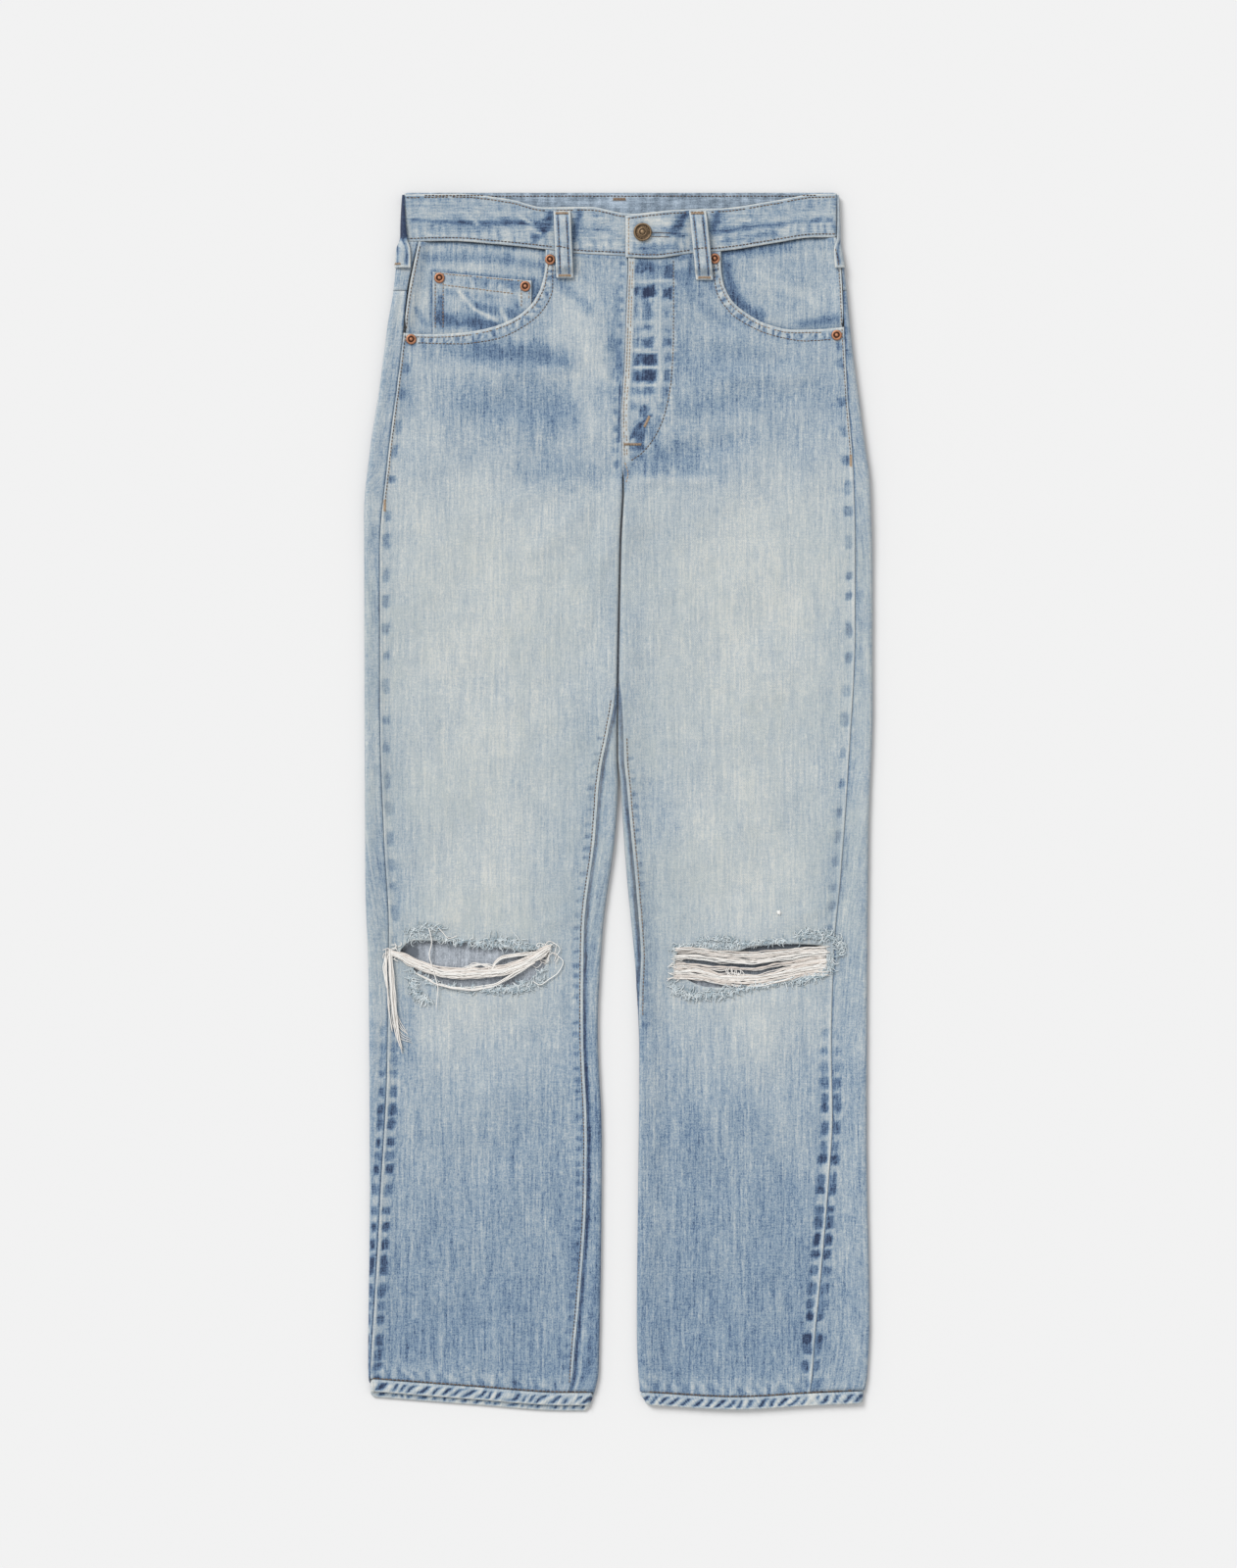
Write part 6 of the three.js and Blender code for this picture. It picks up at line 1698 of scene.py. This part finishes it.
def sew_top():
    s = Sewing(ABOVE)
    # waistband: one row along each edge
    for seam, top, x0, x1 in ((seam_right, top_right, -188, 6), (seam_left, top_left, 8, 192)):
        x = np.linspace(x0, x1, 60)
        s.row(np.stack([x, seam(x) + 2.9], 1), shade=0.08, radius=0.52)
        s.row(np.stack([x, top(x) - 2.9], 1), shade=0.15, radius=0.5, skip=0.05)
    s.row([(LAP_EDGE + 2.6, 484), (LAP_EDGE + 2.6, 516)], shade=0.85, radius=0.40)
    # back of the waistband, seen over the front, and the loop's bar
    s.row([(-172, 536.4), (175, 536.4)], shade=0.05, radius=0.5)
    s.bartack(-4.5, 533.7, 6.5, 533.7, 3.2, 0.35)
    # pocket mouths
    for side, rows in ((RIGHT, [(-58.3, 478), (-58.3, 455.4), (-66.1, 436.3), (-87.9, 418), (-111.4, 408.5),
                                (-142.7, 405), (-178, 405.9)]),
                       (LEFT, [(84.2, 478), (86.1, 454.6), (97.4, 434.6), (114.8, 421.5), (139.2, 411.9),
                               (164.4, 407.6), (188, 408.8)])):
        s.row(rows, shade=0.12)
        inner = offset_path(SCOOP[side.name][1:-1], 2.7 if side is RIGHT else -2.7)
        s.row(inner, shade=0.35, radius=0.42, skip=0.06)
    # coin pocket
    s.row([(-154.9, 457.4), (-93.1, 449.8)], shade=0.5)
    s.row([(-163, 468), (-81, 460.4)], shade=0.6, skip=0.1)
    for x, high, low, shade in ((-162.4, 459, 419, 0.45), (-155.4, 466, 419, 0.5), (-79.2, 452, 445, 0.5),
                                (-86.0, 458, 438, 0.5)):
        s.row([(x, high), (x, low)], shade=shade)
    # fly
    s.row(FLY_STITCH, shade=0.05)
    y = np.linspace(306, 478, 40)
    s.row(np.stack([fly_edge(y) + 1.7, y], 1), shade=0.6, radius=0.38, skip=0.12)
    s.row(np.stack([fly_edge(y) + 4.2, y], 1), shade=0.6, radius=0.38, skip=0.18)
    s.bartack(5, 316, 20, 316, 2.6, 0.55)
    s.bartack(23, 331.6, 27.5, 341, 2.8, 0.7)
    s.row([(5.5, 300), (8.5, 290), (6.5, 282)], shade=0.95, radius=0.4)
    # button-hole
    s.row([(29, 503.4), (46, 502.8)], pitch=0.95, length=0.8, radius=0.45, shade=0.05)
    s.row([(29, 499.6), (45, 499.4)], pitch=0.95, length=0.8, radius=0.45, shade=0.1)
    # outseams and inseams
    for side, end in ((RIGHT, 262), (LEFT, 301.5)):
        s.row(seam_path(side, side.outseam, 492, end, 1.9), shade=0.15)
        x = side.sign * (float(side.outseam(end)) + 1.9)
        s.bartack(x, end + 5, x, end - 5, 2.6, 0.9)
    s.row(np.array([(inseam_x(RIGHT, y) - 3.1, y) for y in np.arange(-516, 96, 6.0)]), shade=0.12,
          radius=0.46)
    s.row(np.array([(-inseam_x(LEFT, y) + 3.0, y) for y in np.arange(-190, 60, 6.0)]), shade=0.25,
          radius=0.46)
    # hems: the chain stitch
    for side, x0, x1 in ((RIGHT, -218, -28), (LEFT, 27, 214)):
        x = np.linspace(x0, x1, 60)
        y = hem_line(side, x * side.sign)
        s.row(np.stack([x, y + 1.0], 1), pitch=3.6, length=3.2, radius=0.55, shade=0.10, vary=0.15)
    # loops
    for top_x, low_x, low_y in FRONT_LOOPS.values():
        for w in (-3.7, 3.7):
            s.row([(low_x + w, low_y + 5), (top_x + w, 517)], shade=0.18, radius=0.38)
        s.bartack(top_x - 5.4, 520.3, top_x + 5.4, 520.3, 2.6, 0.6)
        s.bartack(low_x - 5.4, low_y + 2.0, low_x + 5.4, low_y + 2.0, 2.6, 0.68)
    s.bartack(-200, 475.5, -193, 475.5, 2.4, 0.6)
    piece = s.join("topstitching")
    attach(piece, ROOT)
    return len(s.found)


def inseam_x(side, y):
    """Local x of the inseam where it lies on the upper side or on the fold."""
    sec = section(side, np.array([max(y, LOWEST_ROW)]))
    if y < HEM_WARP:
        part = (HEM_WARP - y) / (HEM_WARP + 524.0)
        sec = section(side, np.array([lerp(HEM_WARP, LOWEST_ROW, part)]))
        y = lerp(HEM_WARP, LOWEST_ROW, part)
    x, _ = section_at(sec, np.array([side.inseam(y)]))
    return float(x[0])


UNDER_STITCH = {"pitch": 3.4, "length": 2.8}


def sew_under():
    s = Sewing(BELOW, down=False)
    for side in SIDES:
        x = np.linspace(-3, -188, 40)
        for away in (2.2, 8.0):
            s.row(np.stack([side.sign * x, yoke_seam(x) + away], 1), **UNDER_STITCH, shade=0.2)
        middle = PATCH_X * side.sign
        for inset in (2.4, 7.6):
            half = PATCH_HALF - inset
            foot, point = 279 + 0.55 * inset, 263 + 1.1 * inset
            for path in ([(middle - half, 409), (middle - half + 8, 280), (middle - half + 9, 279)],
                         [(middle + half, 409), (middle + half - 8, 280), (middle + half - 9, 279)],
                         [(middle - half + 8.4, foot), (middle, point)],
                         [(middle, point), (middle + half - 8.4, foot)]):
                s.row(path, **UNDER_STITCH, shade=0.25)
        s.row([(middle - 66, 400), (middle + 66, 400)], **UNDER_STITCH, shade=0.3)
    for x in (2.4, 8.2):
        s.row([(x, 290), (x, 496)], **UNDER_STITCH, shade=0.2)
    s.row([(-186, 504), (188, 504)], **UNDER_STITCH, shade=0.2)
    s.row([(-186, 536.5), (188, 536.5)], **UNDER_STITCH, shade=0.2)
    for y in (479, 534):
        s.bartack(-5.4, y, 5.4, y, 2.6, 0.6)
    piece = s.join("seat_stitching")
    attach(piece, ROOT)
    return len(s.found)


SEWN = sew_top(), sew_under()


# ------------------------------------------------------------------ loose threads
class Strands:
    """Gathers threads and joins them into one mesh of thin tubes."""

    def __init__(self, seed):
        self.draw = np.random.default_rng(seed)
        self.verts, self.quads, self.shades, self.base = [], [], [], 0

    def add(self, points, radius, shade, taper=0.0, sides=5):
        points = np.asarray(points, float)
        t = np.gradient(points, axis=0)
        t = t / np.maximum(np.linalg.norm(t, axis=1, keepdims=True), 1e-6)
        up = np.array([0.13, 0.07, 1.0])
        cross = np.cross(t, up)
        cross = cross / np.maximum(np.linalg.norm(cross, axis=1, keepdims=True), 1e-6)
        normal = np.cross(cross, t)
        u = np.linspace(0, 1, len(points))
        r = radius * (1 - taper * u ** 2) * np.where((u == 0) | (u == 1), 0.35, 1)
        a = np.arange(sides) * math.tau / sides
        ring_points = (points[:, None] + r[:, None, None] * (
            cross[:, None] * np.cos(a)[None, :, None] + normal[:, None] * np.sin(a)[None, :, None]))
        self.verts.append(ring_points.reshape(-1, 3))
        index = np.arange(len(points) * sides).reshape(len(points), sides) + self.base
        nxt = np.roll(index, -1, axis=1)
        self.quads.append(np.stack([index[:-1], nxt[:-1], nxt[1:], index[1:]], 2).reshape(-1, 4))
        self.shades.append(np.full(len(points) * sides, shade))
        self.base += len(points) * sides

    def lay(self, path, radius, shade, height=0.4, step=2.0, wave=0.0, taper=0.0, floor=None):
        """A thread laid along a plan path on whatever cloth is under it."""
        points = resampled(path, step)
        phase = self.draw.uniform(0, math.tau, 3)
        u = np.arange(len(points)) * step
        points = points + wave * np.stack([0.4 * np.sin(u / 3.1 + phase[0]), np.sin(u / 6.5 + phase[1])
                                           + 0.5 * np.sin(u / 2.7 + phase[2])], 1)
        z = []
        for x, y in points:
            hit = drop(ABOVE, x, y)
            z.append(hit[0].z if hit else 0.0)
        z = np.array(z)
        if floor is not None:
            z = np.maximum(z, floor)
        z = np.convolve(np.pad(z, 2, mode="edge"), np.ones(5) / 5, mode="valid")
        self.add(np.column_stack([points, z + radius + height]), radius, shade, taper)

    def join(self, name, material, slot):
        verts, quads = np.concatenate(self.verts), np.concatenate(self.quads)
        piece = mixed_mesh(name, verts, quads, np.zeros((0, 3), int),
                           np.clip(np.concatenate(self.shades), 0, 1), material)
        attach(piece, ROOT)
        return len(quads) * 2


def jittered(draw, path, spread_x, spread_y, close=0.25):
    """A copy of a path moved sideways, drawing together at its ends."""
    path = np.array(path, float)
    u = np.linspace(-1, 1, len(path))
    near = close + (1 - close) * (1 - np.abs(u) ** 3)
    away = draw.uniform(-1, 1, 2) * (spread_x, spread_y)
    path = path + away[None] * near[:, None]
    return path + draw.normal(0, 0.35, path.shape)


TEAR_LEVEL = 2.7


def threads_right():
    """The right tear: its wefts have dropped into one loose bundle, and some hang out at the side."""
    s = Strands(501)
    d = s.draw
    main = [(-203, -134), (-192, -138), (-174, -146.5), (-155, -152), (-127, -153), (-103.5, -150.5),
            (-84, -144), (-66, -133), (-60, -129)]
    for k in range(27):
        s.lay(jittered(d, main, 1.5, 4.8, 0.35), d.uniform(0.42, 0.66), d.uniform(0.25, 1.0),
              d.uniform(0.2, 2.4), 2.2, d.uniform(0.4, 1.1), floor=TEAR_LEVEL)
    low = [(-180, -152.5), (-158.3, -163), (-135, -166.6), (-111.4, -163.5), (-92, -153), (-74, -143)]
    for k in range(4):
        s.lay(jittered(d, low, 1, 1.0), 0.62, d.uniform(0.6, 1.0), 0.5 + 0.5 * k, 2.4, 0.35, floor=TEAR_LEVEL)
    loop = [(-113, -150), (-108, -142), (-100.6, -138), (-88, -136), (-78.8, -135), (-61.8, -131)]
    for k in range(6):
        s.lay(jittered(d, loop, 1, 1.6), 0.5, d.uniform(0.4, 0.95), 0.4 + 0.3 * k, 2.2, 0.35,
              floor=TEAR_LEVEL)
    for k in range(7):
        bow = [(-136 + d.uniform(-4, 4), -148), (-128 + 2 * k, -143.5 - d.uniform(0, 2)), (-112 + k, -150)]
        s.lay(bow, 0.38, d.uniform(0.6, 1.0), 1.8, 1.6, 0.6, floor=TEAR_LEVEL)
    s.lay([(-168, -112), (-165.5, -124), (-167.5, -136), (-164.5, -149), (-160, -166), (-161.5, -184)], 0.5,
          0.75, 2.6, 2.0, 0.3, 0.4, floor=TEAR_LEVEL)
    s.lay([(-160, -112), (-156, -116), (-150, -121), (-143, -119)], 0.4, 0.8, 1.4, 1.5, 0.4)
    hang = [(-203.5, -131), (-202.5, -150), (-200.5, -179), (-198.5, -200), (-192.5, -224)]
    for k in range(17):
        path = jittered(d, hang, 3.4, 1.5, 0.8)
        stop = d.uniform(0.72, 1.0)
        kept, whole = np.linspace(0, stop, 6), np.linspace(0, 1, 5)
        path = np.array([np.interp(kept, whole, path[:, c]) for c in (0, 1)]).T
        s.lay(path, d.uniform(0.40, 0.60), d.uniform(0.45, 1.0), d.uniform(0.4, 2.2), 2.4, 0.45, 0.3)
    for k in range(6):
        s.lay([(-206 + d.uniform(-2, 2), -136), (-208.5 + k * 0.6, -148), (-205 + k * 0.5, -166 - 3 * k)],
              0.38, d.uniform(0.5, 0.9), 0.8, 1.8, 0.6, 0.3)
    for k in range(6):
        s.lay([(-198, -186 - 3 * k), (-193, -196 - 3 * k), (-188 + k, -204 - 2 * k)], 0.36, 0.7, 0.4, 1.8,
              0.4, 0.4)
    # knot of wefts at the outer end, and curls at the inner end
    for k in range(16):
        a = d.uniform(0, math.tau)
        x, y = -200 + d.uniform(-5, 6), -132 + d.uniform(-6, 3)
        path = [(x, y), (x + 4 * math.cos(a), y + 3 * math.sin(a)),
                (x + 8 * math.cos(a + 0.7), y + 5 * math.sin(a + 0.9))]
        s.lay(path, 0.4, d.uniform(0.3, 0.9), d.uniform(0.6, 2.2), 1.4, 0.4)
    for k in range(22):
        x, y = -70 + d.uniform(-4, 9), -133 + d.uniform(-7, 5)
        a = d.uniform(-1.4, 1.2)
        size = d.uniform(5, 13)
        path = [(x, y), (x + size * 0.5 * math.cos(a), y + size * 0.5 * math.sin(a)),
                (x + size * math.cos(a - 0.8), y + size * math.sin(a - 0.8)),
                (x + size * math.cos(a - 1.5), y + size * 1.1 * math.sin(a - 1.5))]
        s.lay(path, 0.36, d.uniform(0.4, 1.0), d.uniform(0.5, 1.8), 1.3, 0.5, 0.3)
    s.lay([(-54, -137), (-49, -143), (-53, -151), (-62, -158), (-70, -163), (-76, -160)], 0.42, 0.9, 1.2, 1.6,
          0.3)
    return s.join("wefts_right", WEFT, "weft")


# Rows of wefts across the left tear: (level at the inner end, the middle, the outer end, how many).
LEFT_BANDS = [(-131.5, -136.0, -130.5, 8), (-133.0, -139.0, -132.5, 8), (-138.0, -142.5, -134.5, 7),
              (-146.0, -149.5, -140.0, 6), (-148.0, -156.5, -143.0, 10), (-152.0, -158.5, -147.5, 11),
              (-156.0, -162.0, -152.0, 12)]


def threads_left():
    """The left tear: the wefts still lie across it, apart where single ones have gone."""
    s = Strands(601)
    d = s.draw
    for inner, middle, outer, count in LEFT_BANDS:
        for k in range(count):
            away = d.uniform(-1.7, 1.7)
            sag = d.uniform(-1.0, 1.0)
            path = [(49, inner + 0.7 * away), (66, inner + away + 0.2 * sag),
                    (92, lerp(inner, middle, 0.75) + away),
                    (118, middle + away + sag), (145, lerp(middle, outer, 0.45) + away + 0.4 * sag),
                    (170, lerp(middle, outer, 0.9) + 0.9 * away), (185, outer + 0.8 * away)]
            path[6] = (185 + d.uniform(-5.5, 2.5), path[6][1] + d.uniform(-1.6, 1.6))
            path[3] = (118 + d.uniform(-6, 6), path[3][1] + d.uniform(-0.9, 0.9))
            s.lay(path, d.uniform(0.34, 0.56), d.uniform(0.05, 1.0), d.uniform(0.0, 1.5), 2.4,
                  d.uniform(0.25, 0.8), floor=TEAR_LEVEL)
    for k in range(30):
        x0 = d.uniform(140, 158)
        y = d.uniform(-154, -137)
        s.lay([(x0, y - 1.5), (168, y + 0.8), (185, y + 2.5)], 0.5, d.uniform(0.35, 0.8), 0.2, 3.0, 0.2,
              floor=TEAR_LEVEL)
    for k in range(26):
        x, y = d.uniform(46, 60), d.uniform(-160, -134)
        a = d.uniform(2.2, 4.0)
        s.lay([(x + 6, y), (x, y + 1), (x + 5 * math.cos(a), y + 4 * math.sin(a))], 0.4, d.uniform(0.4, 1.0),
              d.uniform(0.2, 1.0), 1.5, 0.4, floor=TEAR_LEVEL)
    for k in range(12):
        x = d.uniform(96, 110)
        y = d.uniform(-153, -146)
        s.lay([(x, y), (x + d.uniform(-2, 3), y - 3.5), (x + d.uniform(-3, 4), y - 7)], 0.4, 0.8, 1.0, 1.3,
              0.4, floor=TEAR_LEVEL)
    for k in range(9):
        a, reach = k * math.pi / 9 + d.uniform(-0.15, 0.15), d.uniform(1.6, 2.9)
        dx, dy = reach * math.cos(a), reach * math.sin(a)
        s.lay([(142.0 - dx, -98.7 - dy), (142.0, -98.7), (142.0 + dx, -98.7 + dy)], 0.42, 1.0, 0.5, 1.2, 0.15)
    return s.join("wefts_left", WEFT, "weft")


def fray(s, path, count, reach, spread_angle, way, curl=1.0, height=0.8):
    """Warp ends standing out of a torn edge. way is the direction they lean, in radians."""
    d = s.draw
    points = resampled(path, 0.5)
    for _ in range(count):
        x, y = points[d.integers(len(points))] + d.normal(0, 0.5, 2)
        a = way + d.normal(0, spread_angle)
        size = reach * d.uniform(0.45, 1.25)
        bend = curl * d.choice((-1, 1)) * d.uniform(0.3, 1.9)
        steps = np.linspace(0, 1, 7)
        heading = a + bend * steps + 0.5 * np.sin(steps * 7 + d.uniform(0, 6))
        move = size / 6
        px = x + np.concatenate([[0], np.cumsum(np.cos(heading[:-1]) * move)])
        py = y + np.concatenate([[0], np.cumsum(np.sin(heading[:-1]) * move)])
        start = drop(ABOVE, x, y)
        end = drop(ABOVE, px[-1], py[-1])
        if start is None or end is None:
            continue
        base = max(start[0].z, 4.0)
        last = max(end[0].z, 3.2)
        pz = lerp(base, last, steps) + 0.35 + height * d.uniform(0.2, 1.4) * np.sin(steps * 2.6)
        s.add(np.column_stack([px, py, pz]), d.uniform(0.34, 0.52), d.uniform(0.15, 1.0), 0.4, sides=4)


def frayed_edges():
    s = Strands(701)
    up, down = math.pi / 2, -math.pi / 2
    fray(s, [(-186, -121), (-170, -118), (-150, -121), (-127, -124), (-104, -127), (-80, -128), (-60, -127)],
         230, 7.5, 0.9, down, 1.0)
    fray(s, [(-186, -118), (-172, -113), (-158, -114)], 60, 7.0, 1.2, up, 1.3)
    fray(s, [(-120, -122), (-100, -122), (-86, -124)], 60, 9, 1.2, down, 1.5)
    fray(s, [(-184, -150), (-172, -160), (-150, -166), (-127, -169), (-100, -168), (-82, -161), (-68, -152)],
         180, 7.0, 1.0, up, 1.1)
    fray(s, [(-184, -156), (-180, -170), (-168, -176)], 120, 7.5, 1.3, down, 1.5)
    fray(s, [(-112, -166), (-92, -166), (-76, -164), (-66, -158)], 130, 7.0, 1.2, down, 1.4)
    fray(s, [(48, -130), (60, -127), (76, -126), (92, -128), (110, -126), (130, -124), (150, -123)], 230, 6.0,
         1.0, down, 1.1)
    fray(s, [(70, -124), (88, -123), (104, -125)], 70, 6.0, 1.3, up, 1.3)
    fray(s, [(160, -122), (168, -118), (178, -120)], 100, 9.0, 1.6, 1.4, 1.9, 1.6)
    fray(s, [(180, -119), (190, -122), (197, -129), (194, -136)], 110, 9.0, 1.6, 0.4, 1.9, 1.5)
    fray(s, [(48, -162), (54, -168), (66, -171), (82, -170), (96, -169), (106, -166)], 230, 8.0, 1.3, down,
         1.6, 1.2)
    fray(s, [(106, -166), (125, -163), (144, -160)], 110, 5.5, 1.0, down, 1.2)
    fray(s, [(148, -160), (162, -158), (176, -154), (187, -148), (188, -138)], 160, 7.5, 1.3, -1.0, 1.6)
    return s.join("frayed_edges", FRAY, "weft")


LOOSE = threads_right(), threads_left(), frayed_edges()


# ------------------------------------------------------------------ button and rivets
def lathe(name, profile, segments, place, normal, material, notch=None):
    """Turned metal. profile holds (radius, height, rubbed), and notch cuts radial marks between two radii."""
    profile = np.array(profile, float)
    turn = np.arange(segments) * math.tau / segments
    r = profile[:, 0][:, None] + 0 * turn
    h = profile[:, 1][:, None] + 0 * turn
    if notch is not None:
        inner, outer, count, depth = notch
        band = (profile[:, 0] > inner) & (profile[:, 0] < outer)
        h = h - band[:, None] * depth * (0.5 + 0.5 * np.cos(turn * count))
    local = np.stack([r * np.cos(turn), r * np.sin(turn), h], axis=2).reshape(-1, 3)
    spin = Vector((0, 0, 1)).rotation_difference(Vector(normal).normalized()).to_matrix()
    verts = local @ np.array(spin).T + np.array(place)
    index = np.arange(len(profile) * segments).reshape(len(profile), segments)
    nxt = np.roll(index, -1, axis=1)
    quads = np.stack([index[:-1], nxt[:-1], nxt[1:], index[1:]], 2).reshape(-1, 4)
    wash = np.repeat(profile[:, 2], segments)
    piece = mixed_mesh(name, verts, quads, np.zeros((0, 3), int), wash, material)
    return piece


def make_metal():
    foot = BAND_LEVEL_FRONT + BAND / 2 + GAP
    cap = BAND_LEVEL_FRONT + LAP_RISE + BAND / 2 + GAP
    profile = [(0.02, foot, 0.2), (2.6, foot, 0.2), (2.6, cap, 0.2), (7.6, cap, 0.2), (8.0, cap + 0.4, 0.5),
               (8.05, cap + 1.1, 0.7), (7.9, cap + 1.8, 0.9), (7.4, cap + 2.4, 1.0), (6.9, cap + 2.5, 0.9),
               (6.5, cap + 2.2, 0.35), (6.2, cap + 1.9, 0.2), (5.4, cap + 1.9, 0.35), (4.6, cap + 2.0, 0.45),
               (3.9, cap + 2.05, 0.5), (3.5, cap + 2.3, 0.75), (3.1, cap + 2.35, 0.75), (2.8, cap + 2.1, 0.3),
               (2.3, cap + 1.9, 0.15), (2.0, cap + 2.3, 0.6), (1.4, cap + 2.8, 0.95), (0.7, cap + 2.95, 1.0),
               (0.02, cap + 3.0, 1.0)]
    button = lathe("button_cap", profile, 64, (BUTTON_X, BUTTON_Y, 0), (0, 0, 1), BRONZE,
                   (3.8, 5.9, 16, 0.28))
    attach(button, ROOT)
    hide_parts("waist_button")
    profile = [(0.02, 0.0, 0.2), (4.55, 0.0, 0.2), (4.65, 0.35, 0.6), (4.5, 0.8, 0.8), (4.1, 1.15, 0.95),
               (3.5, 1.32, 0.9), (3.0, 1.22, 0.5), (2.6, 1.0, 0.15), (2.2, 0.9, 0.0), (1.75, 1.0, 0.05),
               (1.5, 1.5, 0.5), (1.15, 1.95, 0.95), (0.6, 2.1, 1.0), (0.02, 2.12, 1.0)]
    on_front, on_coin = -CLOTH / 2 - 0.15, COIN_DEPTH - LINING / 2
    places = [(RIGHT, -60.5, 479.6, on_front), (RIGHT, -183.6, 409, on_front), (LEFT, -85.2, 480.4, on_front),
              (LEFT, -193.2, 412.5, on_front), (RIGHT, -158.6, 463.6, on_coin),
              (RIGHT, -82.6, 456.2, on_coin)]
    for k, (side, x, y, depth) in enumerate(places, 1):
        sec = section(side, np.array([float(y)]))
        sec.open = True
        slope = float((upper(sec, np.array([x + 4.6])) - upper(sec, np.array([x - 4.6])))[0]) / 9.2
        normal = Vector((-slope * side.sign, 0, 1)).normalized()
        level = float(upper(sec, np.array([float(x)]))[0])
        foot = Vector((side.sign * x, y, level)) + normal * (GAP - depth)
        rivet = lathe(f"rivet_{k}_cap", profile, 40, foot, normal, COPPER)
        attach(rivet, ROOT)
        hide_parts(f"rivet_{k}")


make_metal()


# ------------------------------------------------------------------ stage, light and camera
PAPER = 0.8865  # scene-linear value of the pale ground
GROUND_ALBEDO = 0.60
SUN_HEIGHT, SUN_FROM = 42, 128  # degrees above the floor, and its bearing from +X
SUN_WIDTH = 28  # degrees across, which softens its shadows
SENSOR = 36  # height of the camera's sensor

floor_mesh = bpy.data.meshes.new("floor")
floor_mesh.from_pydata([(-40, -40, 0), (40, -40, 0), (40, 40, 0), (-40, 40, 0)], [], [(0, 1, 2, 3)])
floor = bpy.data.objects.new("floor", floor_mesh)
bpy.context.collection.objects.link(floor)
ground, _, ground_bsdf = node_material("ground")
ground_bsdf.inputs["Base Color"].default_value = (GROUND_ALBEDO, GROUND_ALBEDO, GROUND_ALBEDO, 1)
ground_bsdf.inputs["Roughness"].default_value = 1.0
ground_bsdf.inputs["Specular IOR Level"].default_value = 0.0
floor_mesh.materials.append(ground)

world = bpy.data.worlds.new("studio")
bpy.context.scene.world = world
world.use_nodes = True
world.node_tree.nodes["Background"].inputs["Color"].default_value = (PAPER, PAPER, PAPER, 1)
world.node_tree.nodes["Background"].inputs["Strength"].default_value = 1.0

sun = bpy.data.lights.new("softbox", "SUN")
sun.angle = math.radians(SUN_WIDTH)
sun.energy = math.pi * (PAPER / GROUND_ALBEDO - PAPER) / math.sin(math.radians(SUN_HEIGHT))
lamp = bpy.data.objects.new("softbox", sun)
bpy.context.collection.objects.link(lamp)
h, b = math.radians(SUN_HEIGHT), math.radians(SUN_FROM)
from_sun = Vector((math.cos(h) * math.cos(b), math.cos(h) * math.sin(b), math.sin(h)))
lamp.rotation_euler = from_sun.to_track_quat("Z", "Y").to_euler()

camera = bpy.data.cameras.new("camera")
camera.sensor_fit = "VERTICAL"
camera.sensor_height = SENSOR
CAMERA_HEIGHT, FRAME_HEIGHT, AIM_Y = 3.2, 1.392, 0.0152
camera.lens = SENSOR * CAMERA_HEIGHT / FRAME_HEIGHT
camera.clip_end = 100
camera.dof.use_dof = False
eye = bpy.data.objects.new("camera", camera)
bpy.context.collection.objects.link(eye)
eye.location = (0, AIM_Y, CAMERA_HEIGHT)
bpy.context.scene.camera = eye
bpy.context.scene.view_settings.view_transform = "Standard"

for cloth_piece in bpy.data.objects:
    if "cut" in cloth_piece:
        del cloth_piece["cut"]

print("stitches", SEWN, "thread triangles", LOOSE)
